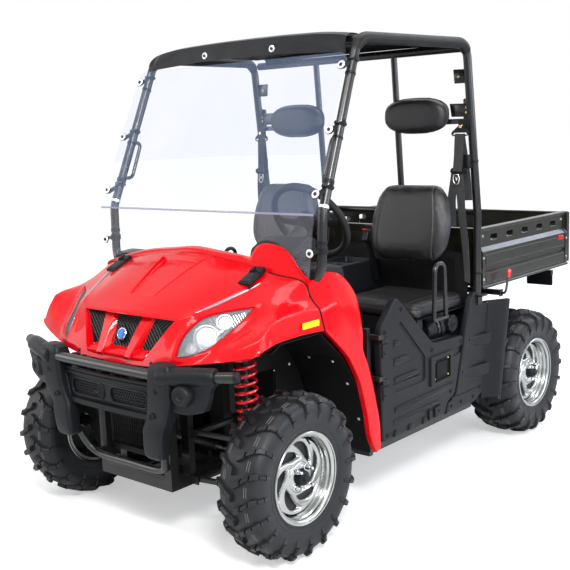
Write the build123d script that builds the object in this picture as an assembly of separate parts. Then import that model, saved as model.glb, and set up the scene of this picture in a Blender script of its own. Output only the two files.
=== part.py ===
from build123d import *
from math import cos, radians, sin
import os

os.makedirs("parts", exist_ok=True)

# A two-seat side-by-side utility vehicle with a tipping bed, in millimetres.
# While it is modelled, x points to the vehicle's left, y rearwards from the front axle
# and z up from the ground. The export moves y so that the origin lies under the middle.

# ---------------------------------------------------------------- clearances
FIT = 0.3                # radial or face clearance of a close fit

# ---------------------------------------------------------------- wheels
WHEELBASE = 1850.0
TYRE_OD = 635.0
LUG_HEIGHT = 17.0
RIM_BEAD_R = 152.0
RIM_FLANGE_R = 174.0
RIM_WALL = 5.0
DROP_R = 126.0
HUB_BORE_R = 16.0
HUB_R = 44.0
AXLE_Z = TYRE_OD / 2

DISC_SET = 50.0          # the wheel's face inboard of its outer flange

# name: (y station, tyre centre x, tyre width, flange half width, lugs a side)
AXLES = {
    "front": (0.0, 604.0, 206.0, 88.0, 20),
    "rear": (WHEELBASE, 578.5, 255.0, 112.0, 20),
}

# ---------------------------------------------------------------- chassis
RAIL_X = 190.0           # centre of the two main rails
RAIL = 40.0              # square tube size
RAIL_Z = 250.0
RAIL_FRONT_Y = -235.0
RAIL_REAR_Y = WHEELBASE + 390.0
UPPER_RAIL_Z = 720.0
BED_RAIL_Z = 770.0
BED_RAIL_FRONT_Y = 1330.0
BED_RAIL_REAR_Y = WHEELBASE + 440.0
REAR_BEAM_Y = WHEELBASE + 250.0     # front face of the cross beam behind the axle
MID_BEAM_Y = WHEELBASE + 140.0      # front face of the bed rails' middle beam
LAMP_ARM_Y = WHEELBASE + 400.0      # rear face of the arms that carry the rear lamps
SHOCK_POST = (105.0, 135.0)         # posts each side of an axle line
SILL_X = 596.0
SILL = 30.0
SILL_Z = 255.0
TUBE_D = 38.0            # roll cage tube
DASH_BAR_Y = 210.0
DASH_BAR_Z = 962.0

# ---------------------------------------------------------------- suspension and steering
KINGPIN_X = 505.0
LOWER_BALL_Z = 225.0
UPPER_BALL_Z = 412.0
PIVOT_X = 228.0
LOWER_PIVOT_Z = 250.0
UPPER_PIVOT_Z = 440.0
ARM_TUBE_D = 24.0
SLEEVE_D = 28.0
EYE_R = 18.0
EYE_HEIGHT = 28.0
PIN_R = 8.0
REAR_BALL_X = 440.0
RACK_Y = 85.0
RACK_Z = 312.0
ROD_R = 8.0
WHEEL_X = 330.0          # steering wheel centre
WHEEL_Y = 512.0
WHEEL_Z = 1212.0
COLUMN_TILT = 32.0       # column above horizontal, degrees
WHEEL_D = 385.0
WHEEL_RIM_D = 31.0


# ================================================================ small tools
def span(xs, ys, zs):
    """A box given by its low and high x, y and z."""
    size = [high - low for low, high in (xs, ys, zs)]
    middle = [(high + low) / 2 for low, high in (xs, ys, zs)]
    return Pos(*middle) * Box(*size)


def merge(*shapes):
    """One fused shape."""
    first, rest = shapes[0], list(shapes[1:])
    return (first + rest) if rest else first


def both(shape):
    """The shape and its mirror image on the vehicle's other side."""
    return Part() + [shape, mirror(shape, about=Plane.YZ)]


def prism_x(outline, x_low, x_high, radius=0):
    """An outline of (y, z) points, extruded across the vehicle."""
    face = rounded(make_face(Polyline(*outline, close=True)), radius)
    return extrude(Plane(origin=(x_low, 0, 0), x_dir=(0, 1, 0), z_dir=(1, 0, 0)) * face,
                   amount=x_high - x_low)


def prism_y(outline, y_low, y_high, radius=0):
    """An outline of (x, z) points, extruded rearwards."""
    face = rounded(make_face(Polyline(*outline, close=True)), radius)
    return extrude(Plane(origin=(0, y_high, 0), x_dir=(1, 0, 0), z_dir=(0, -1, 0)) * face,
                   amount=y_high - y_low)


def prism_z(outline, z_low, z_high, radius=0):
    """An outline of (x, y) points, extruded upwards."""
    face = rounded(make_face(Polyline(*outline, close=True)), radius)
    return extrude(Pos(0, 0, z_low) * face, amount=z_high - z_low)


def rounded(face, radius):
    return fillet(face.vertices(), radius) if radius else face


def rod(start, end, diameter):
    """A round bar from one point to another."""
    path = Line(start, end)
    return sweep(Plane(origin=path @ 0, z_dir=path % 0) * Circle(diameter / 2), path=path)


def tube(points, radii, diameter):
    """A round bar bent along a route of points, with one bend radius for each corner."""
    path = FilletPolyline(*points, radius=radii)
    return sweep(Plane(origin=path @ 0, z_dir=path % 0) * Circle(diameter / 2), path=path)


def axle_pin(radius, x_low, x_high, y, z):
    """A round bar that lies across the vehicle."""
    return Pos((x_low + x_high) / 2, y, z) * Rot(0, 90, 0) * Cylinder(radius, x_high - x_low)


def long_pin(radius, y_low, y_high, x, z):
    """A round bar that lies along the vehicle."""
    return Pos(x, (y_low + y_high) / 2, z) * Rot(90, 0, 0) * Cylinder(radius, y_high - y_low)


def post(radius, z_low, z_high, x, y):
    return Pos(x, y, (z_low + z_high) / 2) * Cylinder(radius, z_high - z_low)


def skin(rows, wall):
    """A closed shell whose outer face runs through a grid of points.

    Each row is a line of (x, y, z) points, and its inner face lies one wall below."""
    grid = [[Vector(*point) for point in row] for row in rows]
    last_row, last_column = len(grid) - 1, len(grid[0]) - 1

    def inner(i, j):
        along = grid[min(i + 1, last_row)][j] - grid[max(i - 1, 0)][j]
        across = grid[i][min(j + 1, last_column)] - grid[i][max(j - 1, 0)]
        return grid[i][j] + along.cross(across).normalized() * wall

    under = [[inner(i, j) for j in range(last_column + 1)] for i in range(last_row + 1)]

    def patch(a, b, c, d):
        return Face.make_surface_from_curves(Edge.make_line(a, b), Edge.make_line(d, c))

    faces = []
    for i in range(last_row):
        for j in range(last_column):
            for sheet in (grid, under):
                corners = (sheet[i][j], sheet[i][j + 1], sheet[i + 1][j + 1], sheet[i + 1][j])
                faces.append(patch(*corners))
    for i in range(last_row):
        for j in (0, last_column):
            faces.append(patch(grid[i][j], grid[i + 1][j], under[i + 1][j], under[i][j]))
    for j in range(last_column):
        for i in (0, last_row):
            faces.append(patch(grid[i][j], grid[i][j + 1], under[i][j + 1], under[i][j]))
    return Part() + Solid(Shell(faces))


def mirrored_rows(half):
    """Rows given from the centre line outwards, completed to the other side."""
    return [[(-x, y, z) for x, y, z in reversed(row[1:])] + list(row) for row in half]


# ================================================================ wheels
def tyre(axle):
    """A hollow tyre with two staggered rows of shoulder lugs, centred on the origin."""
    _, _, width, flange, lugs = AXLES[axle]
    crown = TYRE_OD / 2 - LUG_HEIGHT
    half = width / 2
    bead = flange - RIM_WALL
    wall = 11.0
    outer = [(bead - 2, RIM_BEAD_R + FIT), (bead - 2, RIM_FLANGE_R + 3), (half - 5, 208),
             (half, 238), (half - 7, 268), (half - 26, crown - 10), (half * 0.45, crown - 2)]
    inner = [(half * 0.45, crown - 2 - wall), (half - 34, crown - 20), (half - 19, 262),
             (half - 12, 238), (half - 17, 212), (bead - 16, RIM_FLANGE_R + 3),
             (bead - 16, RIM_BEAD_R + FIT)]
    right = [(-x, r) for x, r in outer]
    right_inner = [(-x, r) for x, r in inner]
    outline = outer + right[::-1] + right_inner[::-1] + inner
    profile = make_face(Polyline(*outline, close=True))
    carcass = revolve(profile, axis=Axis.X)
    bars = []
    lug_long, lug_wide = half * 0.92, 30.0
    lug_base = crown - 16
    lug_top = TYRE_OD / 2
    bar = Pos(0, 0, (lug_base + lug_top) / 2) * Box(lug_long, lug_wide, lug_top - lug_base)
    for side in (1, -1):
        for index in range(lugs):
            turn = 360 / lugs * (index + (0 if side > 0 else 0.5))
            place = Rot(turn, 0, 0) * Pos(side * (half * 0.06 + lug_long / 2), 0, 0)
            bars.append(place * Rot(0, 0, side * 12) * bar)
    return merge(carcass, *bars)


def rim(axle):
    """A dished light-alloy wheel with curved windows, outer face towards +x."""
    flange = AXLES[axle][3]
    disc = flange - DISC_SET
    bead = RIM_BEAD_R
    outer = [(flange, RIM_FLANGE_R), (flange, RIM_FLANGE_R - 8), (flange - 6, bead - 6),
             (flange - 40, bead - 8), (flange - 58, DROP_R), (-flange + 58, DROP_R),
             (-flange + 40, bead - 8), (-flange + 6, bead - 6), (-flange, RIM_FLANGE_R - 8),
             (-flange, RIM_FLANGE_R)]
    inner = [(-flange + RIM_WALL, RIM_FLANGE_R), (-flange + RIM_WALL, bead),
             (-flange + 42, bead - 1), (-flange + 60, DROP_R + RIM_WALL),
             (flange - 60, DROP_R + RIM_WALL), (flange - 42, bead - 1),
             (flange - RIM_WALL, bead), (flange - RIM_WALL, RIM_FLANGE_R)]
    barrel = revolve(make_face(Polyline(*(outer + inner), close=True)), axis=Axis.X)
    face_outline = [(disc + 2, HUB_BORE_R + FIT), (disc + 14, HUB_BORE_R + FIT), (disc + 14, HUB_R),
                    (disc + 4, HUB_R + 8), (disc + 12, DROP_R + 21), (disc - 1, DROP_R + 11),
                    (disc - 6, HUB_R + 8), (disc - 10, HUB_R), (disc - 10, HUB_BORE_R + FIT)]
    face = revolve(make_face(Polyline(*face_outline, close=True)), axis=Axis.X)
    window = Plane(origin=(disc - 20, 0, 0), x_dir=(0, 1, 0), z_dir=(1, 0, 0)) * (
        Pos(88, 0, 0) * Rot(0, 0, 24) * SlotOverall(54, 26))
    cutter = extrude(window, amount=50)
    for index in range(8):
        face = face - Rot(360 / 8 * index, 0, 0) * cutter
    return merge(barrel, face)


def wheel_nodes():
    nodes = {}
    for axle, (y, x, _, _, _) in AXLES.items():
        left_tyre, left_rim = tyre(axle), rim(axle)
        for side, sign in (("left", 1), ("right", -1)):
            turn = Rot(0, 0, 0 if sign > 0 else 180)
            place = Pos(sign * x, y, AXLE_Z) * turn
            nodes[f"tyre_{axle}_{side}"] = place * left_tyre
            nodes[f"rim_{axle}_{side}"] = place * left_rim
    return nodes


# ================================================================ chassis
ENGINE_Y = (WHEELBASE - 450.0, WHEELBASE - 160.0)
FINAL_CASE_R = 62.0
PIVOT_SPREAD = 122.0     # lug to axle line
LUG_WALL = 6.0
SHOCK_TOP_Z = 765.0
REAR_SHOCK_TOP_Z = 735.0
REAR_SHOCK_Y = WHEELBASE - 90.0
REAR_SHOCK_LOW_Z = 280.0
FRONT_SHOCK_LOW_Z = 250.0
DOOR_HINGE_Z = (560.0, 735.0)
DOOR_AXIS_X = 657.0
DOOR_AXIS_Y = 549.0
BARREL_R = 6.0
BARREL_LENGTH = 20.0
BED_HINGE_Y = WHEELBASE + 425.0
BED_HINGE_Z = 808.0
BED_PIN_R = 8.0
HITCH_R = 9.5
HITCH_WALL = 10.0


def pivot_lug(y, z):
    """A plate that holds one end of a suspension arm's pivot sleeve."""
    away = 1 if y in (PIVOT_SPREAD, WHEELBASE + PIVOT_SPREAD) else -1
    low, high = sorted((y, y + away * LUG_WALL))
    return span((RAIL_X, PIVOT_X + 16), (low, high), (z - 17, z + 17))


def hinge_arm(z):
    """Fixed half of a door hinge: an arm from the hinge post and its barrel."""
    arm = span((600, DOOR_AXIS_X + 3), (522, 538), (z + 1, z + BARREL_LENGTH))
    link = span((651, DOOR_AXIS_X + 3), (526, DOOR_AXIS_Y), (z + 1, z + BARREL_LENGTH))
    barrel = post(BARREL_R, z + 1, z + BARREL_LENGTH, DOOR_AXIS_X, DOOR_AXIS_Y)
    pin = post(3, z - BARREL_LENGTH, z + 1, DOOR_AXIS_X, DOOR_AXIS_Y)
    return merge(arm, link, barrel, pin)


def bed_ear():
    """Ear on a rail's rear end with the outboard pin that the bed tips on."""
    ear = merge(span((200, 210), (BED_HINGE_Y - 14, BED_HINGE_Y + 14), (770, BED_HINGE_Z)),
                axle_pin(14, 200, 210, BED_HINGE_Y, BED_HINGE_Z))
    return merge(ear, axle_pin(BED_PIN_R, 205, 262, BED_HINGE_Y, BED_HINGE_Z))


def rack_housing():
    """Round housing of the steering rack on two feet, bored for the rack bar."""
    body = axle_pin(20, -150, 150, RACK_Y, RACK_Z)
    feet = [span((x - 10, x + 10), (RACK_Y - 12, RACK_Y + 12), (RAIL_Z + 15, RACK_Z))
            for x in (-110, 110)]
    bore = axle_pin(ROD_R + FIT, -160, 160, RACK_Y, RACK_Z)
    return merge(body, *feet) - bore


def hitch_plate():
    """Rear drawbar tongue with a ball hole."""
    tongue = span((-45, 45), (RAIL_REAR_Y - 10, RAIL_REAR_Y + 70), (262, 262 + HITCH_WALL))
    hole = post(HITCH_R, 250, 280, 0, RAIL_REAR_Y + 40)
    return tongue - hole


def chassis_frame(fenders):
    half = RAIL / 2
    rail_z = (RAIL_Z - half, RAIL_Z + half)
    rail_x = (RAIL_X - half, RAIL_X + half)
    upper_z = (UPPER_RAIL_Z - half, UPPER_RAIL_Z + half)
    bed_z = (BED_RAIL_Z - half, BED_RAIL_Z + half)
    pieces = [
        span(rail_x, (RAIL_FRONT_Y, RAIL_REAR_Y), rail_z),
        span(rail_x, (RAIL_FRONT_Y, RAIL_FRONT_Y + RAIL), (RAIL_Z, UPPER_RAIL_Z + half)),
        span(rail_x, (RAIL_FRONT_Y, 230), upper_z),
        span(rail_x, (190, 230), (RAIL_Z, DASH_BAR_Z)),
        span(rail_x, (-SHOCK_POST[1], -SHOCK_POST[0]), (RAIL_Z, UPPER_RAIL_Z)),
        span(rail_x, SHOCK_POST, (RAIL_Z, UPPER_RAIL_Z)),
        span(rail_x, (BED_RAIL_FRONT_Y, BED_RAIL_REAR_Y), bed_z),
        span(rail_x, (BED_RAIL_FRONT_Y, BED_RAIL_FRONT_Y + RAIL), (RAIL_Z, BED_RAIL_Z)),
        span(rail_x, (REAR_BEAM_Y, REAR_BEAM_Y + RAIL), (RAIL_Z, BED_RAIL_Z)),
        span(rail_x, (WHEELBASE - SHOCK_POST[1], WHEELBASE - SHOCK_POST[0]), (RAIL_Z, BED_RAIL_Z)),
        span(rail_x, (WHEELBASE + SHOCK_POST[0], WHEELBASE + SHOCK_POST[1]), (RAIL_Z, BED_RAIL_Z)),
        span((rail_x[0], SILL_X), (506, 506 + SILL), (SILL_Z - 15, SILL_Z + 15)),
        span((rail_x[0], SILL_X), (950, 950 + SILL), (SILL_Z - 15, SILL_Z + 15)),
        span((rail_x[0], SILL_X), (1335, 1335 + SILL), (SILL_Z - 15, SILL_Z + 15)),
        span((SILL_X - SILL, SILL_X), (506, 1365), (SILL_Z - 15, SILL_Z + 15)),
        span((588, 612), (506, 530), (SILL_Z - 15, 780)),
        span((RAIL_X, 398 + 14), (-14, 14), (SHOCK_TOP_Z + 14, SHOCK_TOP_Z + 22)),
        span(rail_x, (-40, 40), (UPPER_RAIL_Z, SHOCK_TOP_Z + 22)),
        span((RAIL_X, 350), (REAR_SHOCK_Y - 14, REAR_SHOCK_Y + 14),
             (REAR_SHOCK_TOP_Z + 14, REAR_SHOCK_TOP_Z + 22)),
        *[pivot_lug(y, z) for y in (-PIVOT_SPREAD, PIVOT_SPREAD)
          for z in (LOWER_PIVOT_Z, UPPER_PIVOT_Z)],
        *[pivot_lug(WHEELBASE + y, z) for y in (-PIVOT_SPREAD, PIVOT_SPREAD)
          for z in (LOWER_PIVOT_Z, UPPER_PIVOT_Z)],
        *[hinge_arm(z) for z in DOOR_HINGE_Z],
        span((612, 637), (507, 514), (522, 534)) - fenders,
        bed_ear(),
        span((RAIL_X, 596), (LAMP_ARM_Y - 24, LAMP_ARM_Y), (762, 786)),
        span((RAIL_X, 662), (1525, 1549), (766, 790)),
    ]
    left = merge(*pieces)
    across = [
        span((-RAIL_X, RAIL_X), (y, y + RAIL), rail_z)
        for y in (RAIL_FRONT_Y, 70, 506, 950, 1330, ENGINE_Y[0] + 30, ENGINE_Y[1] - 50,
                  REAR_BEAM_Y, RAIL_REAR_Y - RAIL)
    ]
    across += [
        span((-RAIL_X, RAIL_X), (y, y + RAIL), upper_z) for y in (RAIL_FRONT_Y, 190)
    ]
    across.append(axle_pin(TUBE_D / 2, -440 + FIT, 440 - FIT, DASH_BAR_Y, DASH_BAR_Z))
    across.append(rack_housing())
    across.append(hitch_plate())
    across.append(span((-RAIL_X, RAIL_X), (REAR_BEAM_Y, REAR_BEAM_Y + RAIL), bed_z))
    across.append(span((-RAIL_X, RAIL_X), (MID_BEAM_Y, MID_BEAM_Y + RAIL), bed_z))
    across.append(span((-RAIL_X, RAIL_X), (WHEELBASE - 20, WHEELBASE + 20),
                       (rail_z[0], AXLE_Z - FINAL_CASE_R - FIT)))
    across.append(span((-658, 658), (BED_RAIL_FRONT_Y, BED_RAIL_FRONT_Y + RAIL), bed_z))
    return merge(left, mirror(left, about=Plane.YZ), *across)


# ================================================================ front bodywork
# Half of the bonnet moulding: each row runs from the centre line out to the wheel arch.
# Columns: centre, vent edge, grille edge, upper crease, lamp edge, shoulder, crest, arch edge.
HOOD_ROWS = [
    [(0, -302, 734), (110, -306, 738), (215, -310, 746), (312, -297, 756),
     (432, -256, 772), (545, -212, 790), (618, -176, 806), (632, -163, 800)],
    [(0, -290, 780), (110, -291, 782), (215, -292, 790), (302, -280, 806),
     (428, -222, 806), (552, -180, 836), (628, -146, 862), (643, -132, 828)],
    [(0, -247, 922), (118, -240, 920), (262, -220, 914), (321, -187, 934),
     (470, -132, 868), (572, -105, 892), (636, -100, 914), (648, -90, 840)],
    [(0, -130, 984), (118, -128, 984), (255, -115, 980), (370, -66, 976),
     (512, -30, 950), (590, -25, 938), (637, -35, 928), (650, -25, 844)],
    [(0, 0, 1054), (121, 2, 1052), (275, 12, 1040), (414, 38, 1012),
     (542, 70, 990), (600, 70, 952), (637, 72, 929), (650, 72, 844)],
    [(0, 115, 1114), (123, 120, 1104), (292, 127, 1082), (454, 137, 1046),
     (572, 163, 1022), (602, 168, 962), (637, 176, 920), (650, 187, 838)],
]
PANEL_WALL = 4.0
ARCH_LIP = 26.0          # the moulding's edge turned in round the wheel arch
# The lamp's plane: its low inner tip, the way to its rear tip and its outward normal.
LAMP_TIP = (331.0, -285.0, 798.0)
LAMP_ALONG = (0.504, 0.727, 0.466)
LAMP_OUT = (0.491, -0.685, 0.537)
LAMP_LENGTH = 332.0
LAMP_UPPER = 67.0
LAMP_LOWER = 46.0
LAMP_GAP = 0.5
LAMP_DEPTH = 70.0
# Grille openings as (x, z) corners on the nose.
GRILLE_MIDDLE = [(-50, 790), (50, 790), (100, 902), (-100, 902)]
GRILLE_SIDE = [(136, 790), (160, 792), (268, 896), (172, 900)]
GRILLE_PLATE = 3.0
GRILLE_SET = 5.2         # mesh panel behind the nose's outer face
HINGE_X = 355.0
HINGE_HALF = 22.0
HOOD_HINGE_Y = 124.0
HOOD_HINGE_Z = 1122.0
HINGE_PIN_R = 4.0
HINGE_BARREL_R = 8.0
HINGE_PAD = [(56, 1030), (56, 1062), (118, 1085), (118, 1050)]


def with_lip(row, inward=ARCH_LIP):
    x, y, z = row[-1]
    return list(row) + [(x - inward, y, z + 3)]


def lamp_outline(grow=0.0):
    """The teardrop of the headlamp in its own plane, larger all round by a clearance."""
    plane = Plane(origin=LAMP_TIP, x_dir=LAMP_ALONG, z_dir=LAMP_OUT)
    start, end = (-grow * 2, 0), (LAMP_LENGTH + grow * 2, 0)
    upper = ThreePointArc(start, (LAMP_LENGTH * 0.42, LAMP_UPPER + grow), end)
    lower = ThreePointArc(end, (LAMP_LENGTH * 0.36, -LAMP_LOWER - grow), start)
    face = make_face(Curve() + [upper, lower])
    face = fillet(face.vertices().sort_by(Axis.X)[0], 16)
    return plane * face


def lamp_prism(low, high, grow=0.0):
    """The lamp's outline from one height to another over its plane."""
    out = Vector(*LAMP_OUT).normalized()
    return extrude(Pos(*(out * low)) * lamp_outline(grow), amount=high - low, dir=out)


SCOOP = [                # along the sunken middle: half width, y, surface z, depth
    (71, -152, 970, 1), (92, -60, 1018, 12), (109, 0, 1050, 20), (123, 100, 1102, 30),
]


def scoop(grow, top):
    """The wedge of air over the bonnet's sunken middle, up to a height over its surface."""
    sections = []
    for index, (half, y, z, depth) in enumerate(SCOOP):
        y = y + (grow if index == len(SCOOP) - 1 else 0) - (grow if index == 0 else 0)
        low, high, wide = z - depth - grow, z + top, half + grow
        corners = [(-wide, y, low), (wide, y, low), (wide, y, high), (-wide, y, high)]
        sections.append(make_face(Polyline(*corners, close=True)))
    pieces = [loft([sections[i], sections[i + 1]], ruled=True) for i in range(len(sections) - 1)]
    return merge(*pieces)


def grille_openings(y_low=-400, y_high=-200):
    left = prism_y(GRILLE_SIDE, y_low, y_high)
    return [prism_y(GRILLE_MIDDLE, y_low, y_high), left, mirror(left, about=Plane.YZ)]


def hood():
    """Bonnet, nose, lamp surrounds and front wings in one moulding."""
    rows = mirrored_rows([with_lip(row) for row in HOOD_ROWS])
    shell = skin(rows, PANEL_WALL)
    pads = both(prism_x(HINGE_PAD, HINGE_X - HINGE_HALF, HINGE_X + HINGE_HALF))
    shell = merge(shell, scoop(PANEL_WALL, -3), pads) - scoop(0, 60)
    for opening in grille_openings():
        shell = shell - opening
    lamp_hole = lamp_prism(-60, 60, LAMP_GAP)
    return shell - lamp_hole - mirror(lamp_hole, about=Plane.YZ)


def grille_mesh():
    """The panel behind the three openings, parallel to the nose."""
    rows = []
    for row in (HOOD_ROWS[1], HOOD_ROWS[2]):
        (x0, y0, z0), (x1, y1, z1) = row[2], row[3]
        past = (x0 + 0.3 * (x1 - x0), y0 + 0.3 * (y1 - y0), z0 + 0.3 * (z1 - z0))
        rows.append([(x, y + GRILLE_SET, z) for x, y, z in row[:3] + [past]])
    rows[1] = [tuple(a + 0.92 * (b - a) for a, b in zip(*pair)) for pair in zip(*rows)]
    return skin(mirrored_rows(rows), GRILLE_PLATE)


def lamp_lenses():
    lens = lamp_prism(-9, -5, -FIT)
    return both(lens)


def lamp_bowls():
    """Bowl of each headlamp, open towards its lens."""
    outside = lamp_prism(-LAMP_DEPTH, -9 - FIT, -FIT)
    inside = lamp_prism(-LAMP_DEPTH + 4, 0, -5)
    return both(outside - inside)


def hood_hinges():
    """Two strap hinges on the bonnet's rear edge, bored for the cowl's pins."""
    low, high = HINGE_X - HINGE_HALF, HINGE_X + HINGE_HALF
    (_, _), (y0, z0), (y1, z1), _ = HINGE_PAD
    strap = prism_x([(y0, z0 + FIT), (y1, z1 + FIT), (HOOD_HINGE_Y + 4, HOOD_HINGE_Z - 5),
                     (HOOD_HINGE_Y - 6, HOOD_HINGE_Z + 4), (y1 - 14, z1 + 10), (y0, z0 + 9)],
                    low, high)
    barrel = axle_pin(HINGE_BARREL_R, low, high, HOOD_HINGE_Y, HOOD_HINGE_Z)
    bore = axle_pin(HINGE_PIN_R + FIT, low - 1, high + 1, HOOD_HINGE_Y, HOOD_HINGE_Z)
    return both(merge(strap, barrel) - bore)


def hinge_ears():
    """The cowl's two ears and the pin of each bonnet hinge."""
    outline = [(142, 1066), (156, 1066), (156, 1116), (134, 1132), (116, 1132), (114, 1114),
               (126, 1108), (142, 1090)]
    pin = axle_pin(HINGE_PIN_R, HINGE_X - 28, HINGE_X + 28, HOOD_HINGE_Y, HOOD_HINGE_Z)
    ears = [prism_x(outline, x, x + 6) for x in (HINGE_X - 28 - FIT, HINGE_X + 22 + FIT)]
    return both(merge(pin, *ears))


COWL_TOP = [             # half or full width rows: (x, seam y, seam z, ridge z, rear z)
    (-596, 172, 1012, 1018, 1016), (-572, 167, 1026, 1036, 1034), (-454, 141, 1050, 1070, 1068),
    (-292, 131, 1086, 1104, 1102), (-123, 124, 1108, 1122, 1120), (0, 119, 1118, 1130, 1128),
    (123, 124, 1108, 1122, 1120), (292, 131, 1086, 1106, 1106), (330, 134, 1078, 1142, 1146),
    (380, 136, 1066, 1156, 1158), (440, 140, 1054, 1146, 1150), (505, 152, 1040, 1098, 1104),
    (572, 167, 1026, 1040, 1040), (596, 172, 1012, 1018, 1016),
]
WINDSHIELD_Y = 174.0
GLASS = 4.0


def cowl():
    """The strip between bonnet and windshield, raised over the driver's instruments."""
    rear_y = WINDSHIELD_Y - 2
    rows = [
        [(x, y, seam - 22) for x, y, seam, _, _ in COWL_TOP],
        [(x, y, seam) for x, y, seam, _, _ in COWL_TOP],
        [(x, (y + rear_y) / 2 + 2, ridge) for x, y, _, ridge, _ in COWL_TOP],
        [(x, rear_y, rear) for x, _, _, _, rear in COWL_TOP],
        [(x, rear_y, rear - 26) for x, _, _, _, rear in COWL_TOP],
    ]
    return merge(skin(rows, 3.0), hinge_ears())


# Left wing panel from the shut line down behind the wheel to its tip.
# Columns: cowl side or door side, upper face, crest, arch edge.
FENDER_ROWS = [
    [(576, 170, 1018), (603, 172, 960), (637, 180, 920), (650, 191, 838)],
    [(594, 275, 1050), (619, 275, 985), (643, 278, 926), (652, 285, 752)],
    [(602, 358, 1030), (628, 350, 960), (646, 312, 888), (652, 336, 698)],
    [(614, 437, 937), (638, 415, 860), (648, 360, 816), (652, 372, 642)],
    [(640, 442, 790), (646, 422, 770), (650, 405, 740), (652, 394, 604)],
    [(642, 438, 715), (648, 434, 705), (651, 430, 695), (652, 408, 572)],
    [(640, 468, 655), (646, 464, 648), (651, 458, 640), (652, 424, 520)],
    [(636, 518, 528), (643, 508, 528), (650, 494, 526), (652, 445, 446)],
    [(634, 540, 395), (642, 537, 395), (650, 530, 395), (652, 468, 332)],
    [(632, 545, 272), (641, 543, 272), (648, 538, 274), (650, 506, 264)],
]


def side_fenders():
    shell = skin([with_lip(row) for row in FENDER_ROWS], PANEL_WALL)
    pillar_hole = tube(SIDE_TUBE[:4], SIDE_BENDS[:2], TUBE_D + 2 * PILLAR_GAP)
    return both(shell - pillar_hole)


LINER_WALL = 3.0
PILLAR_GAP = 6.0         # open ring round the pillar's foot


LINER_X = (335.0, 623.5)
LINER_OUTER = [(-90, 800), (-40, 826), (190, 826), (330, 700), (400, 590), (455, 430),
               (492, 300), (500, 262)]
LINER_INNER = [(497, 262), (489, 300), (452, 429), (397, 589), (328, 698), (189, 823),
               (-39, 823), (-88, 798)]


def arch_liners():
    """Inner wheel arches: a wall round the tyre's top and rear and a flat inner side."""
    strip = prism_x(LINER_OUTER + LINER_INNER, *LINER_X)
    wall = prism_x([(60, 826)] + LINER_OUTER[2:] + [(244, 262), (244, 640), (60, 640)],
                   LINER_X[0], LINER_X[0] + LINER_WALL)
    return both(merge(strip, wall))


# ================================================================ bumper
BAR_Y = -362.0
BAR_Z = 733.0
BAR_D = 42.0
SLEEVE_OD = 60.0
PAD_FRONT = -378.0
PAD_BACK = -318.0
PAD = [(262, 778), (350, 778), (386, 742), (374, 650), (322, 560), (300, 470), (288, 414),
       (214, 414), (222, 545), (250, 650)]
LOWER_BAR_D = 32.0


def front_bumper_bar():
    """Main bar with ends swept back, and the lower bar that carries the pads' feet."""
    main = tube([(-609, -259, 747), (-400, -350, 738), (-330, BAR_Y, BAR_Z), (330, BAR_Y, BAR_Z),
                 (400, -350, 738), (609, -259, 747)], [60, 60, 60, 60], BAR_D)
    lower = tube([(-252, -300, 408), (-222, -262, 328), (222, -262, 328), (252, -300, 408)],
                 [50, 50], LOWER_BAR_D)
    stays = [span((x - 12, x + 12), (-352, RAIL_FRONT_Y - FIT), (700, 724)) for x in (-190, 190)]
    feet = [span((x - 12, x + 12), (-262, RAIL_FRONT_Y - FIT), (316, 340)) for x in (-190, 190)]
    return merge(main, *stays), merge(lower, *feet)


def bumper_pads(bar, lower):
    """Moulded uprights over the bar, each with an outboard sleeve and a wing."""
    pad = prism_y(PAD, PAD_FRONT, PAD_BACK, 10)
    sleeve = rod((340, -359, 734.5), (520, -298, 743), SLEEVE_OD)
    wing = prism_y([(350, 735), (500, 735), (486, 650), (430, 612), (360, 640)],
                   -352, -322, 8)
    boss = long_pin(32, -378, -330, 438, 676)
    holes = [long_pin(8, -380, -310, x, z) for x, z in ((300, 690), (276, 560))]
    solid = merge(pad, sleeve, wing, boss)
    for hole in holes:
        solid = solid - hole
    return both(solid) - bar - lower


PANEL_Y = (-350.0, -338.0)
PANEL_RIM = 8.0          # the rims stand this far in front of the panel
PANEL_WINDOW = [(24, 592), (24, 654), (226, 654), (220, 592)]
BAR_PITCH = 17.0
BAR_SIZE = 3.0


def bumper_panel():
    """Panel between the pads with two rounded windows, each filled with a lattice."""
    front, back = PANEL_Y
    outline = [(-268, 690), (268, 690), (238, 560), (-238, 560)]
    rims = [[(-268, 690), (268, 690), (266, 668), (-266, 668)],
            [(-242, 578), (242, 578), (238, 556), (-238, 556)]]
    panel = merge(prism_y(outline, front, back),
                  *[prism_y(rim_outline, front - PANEL_RIM, back) for rim_outline in rims])
    window = prism_y(PANEL_WINDOW, front - 1, back + 1, radius=18)
    low_x, high_x = PANEL_WINDOW[0][0], PANEL_WINDOW[2][0]
    low_z, high_z = PANEL_WINDOW[0][1], PANEL_WINDOW[1][1]
    depth = (front + 3, back - 3)
    bars = []
    x = low_x + BAR_PITCH
    while x < high_x:
        bars.append(span((x - BAR_SIZE / 2, x + BAR_SIZE / 2), depth, (low_z - 2, high_z + 2)))
        x += BAR_PITCH
    z = low_z + BAR_PITCH
    while z < high_z - BAR_SIZE:
        bars.append(span((low_x - 2, high_x + 2), depth, (z - BAR_SIZE / 2, z + BAR_SIZE / 2)))
        z += BAR_PITCH
    for side in (1, -1):
        hole = window if side > 0 else mirror(window, about=Plane.YZ)
        panel = panel - hole
    lattice = merge(*bars) & prism_y(PANEL_WINDOW, front, back)
    return merge(panel, lattice, mirror(lattice, about=Plane.YZ))


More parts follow.
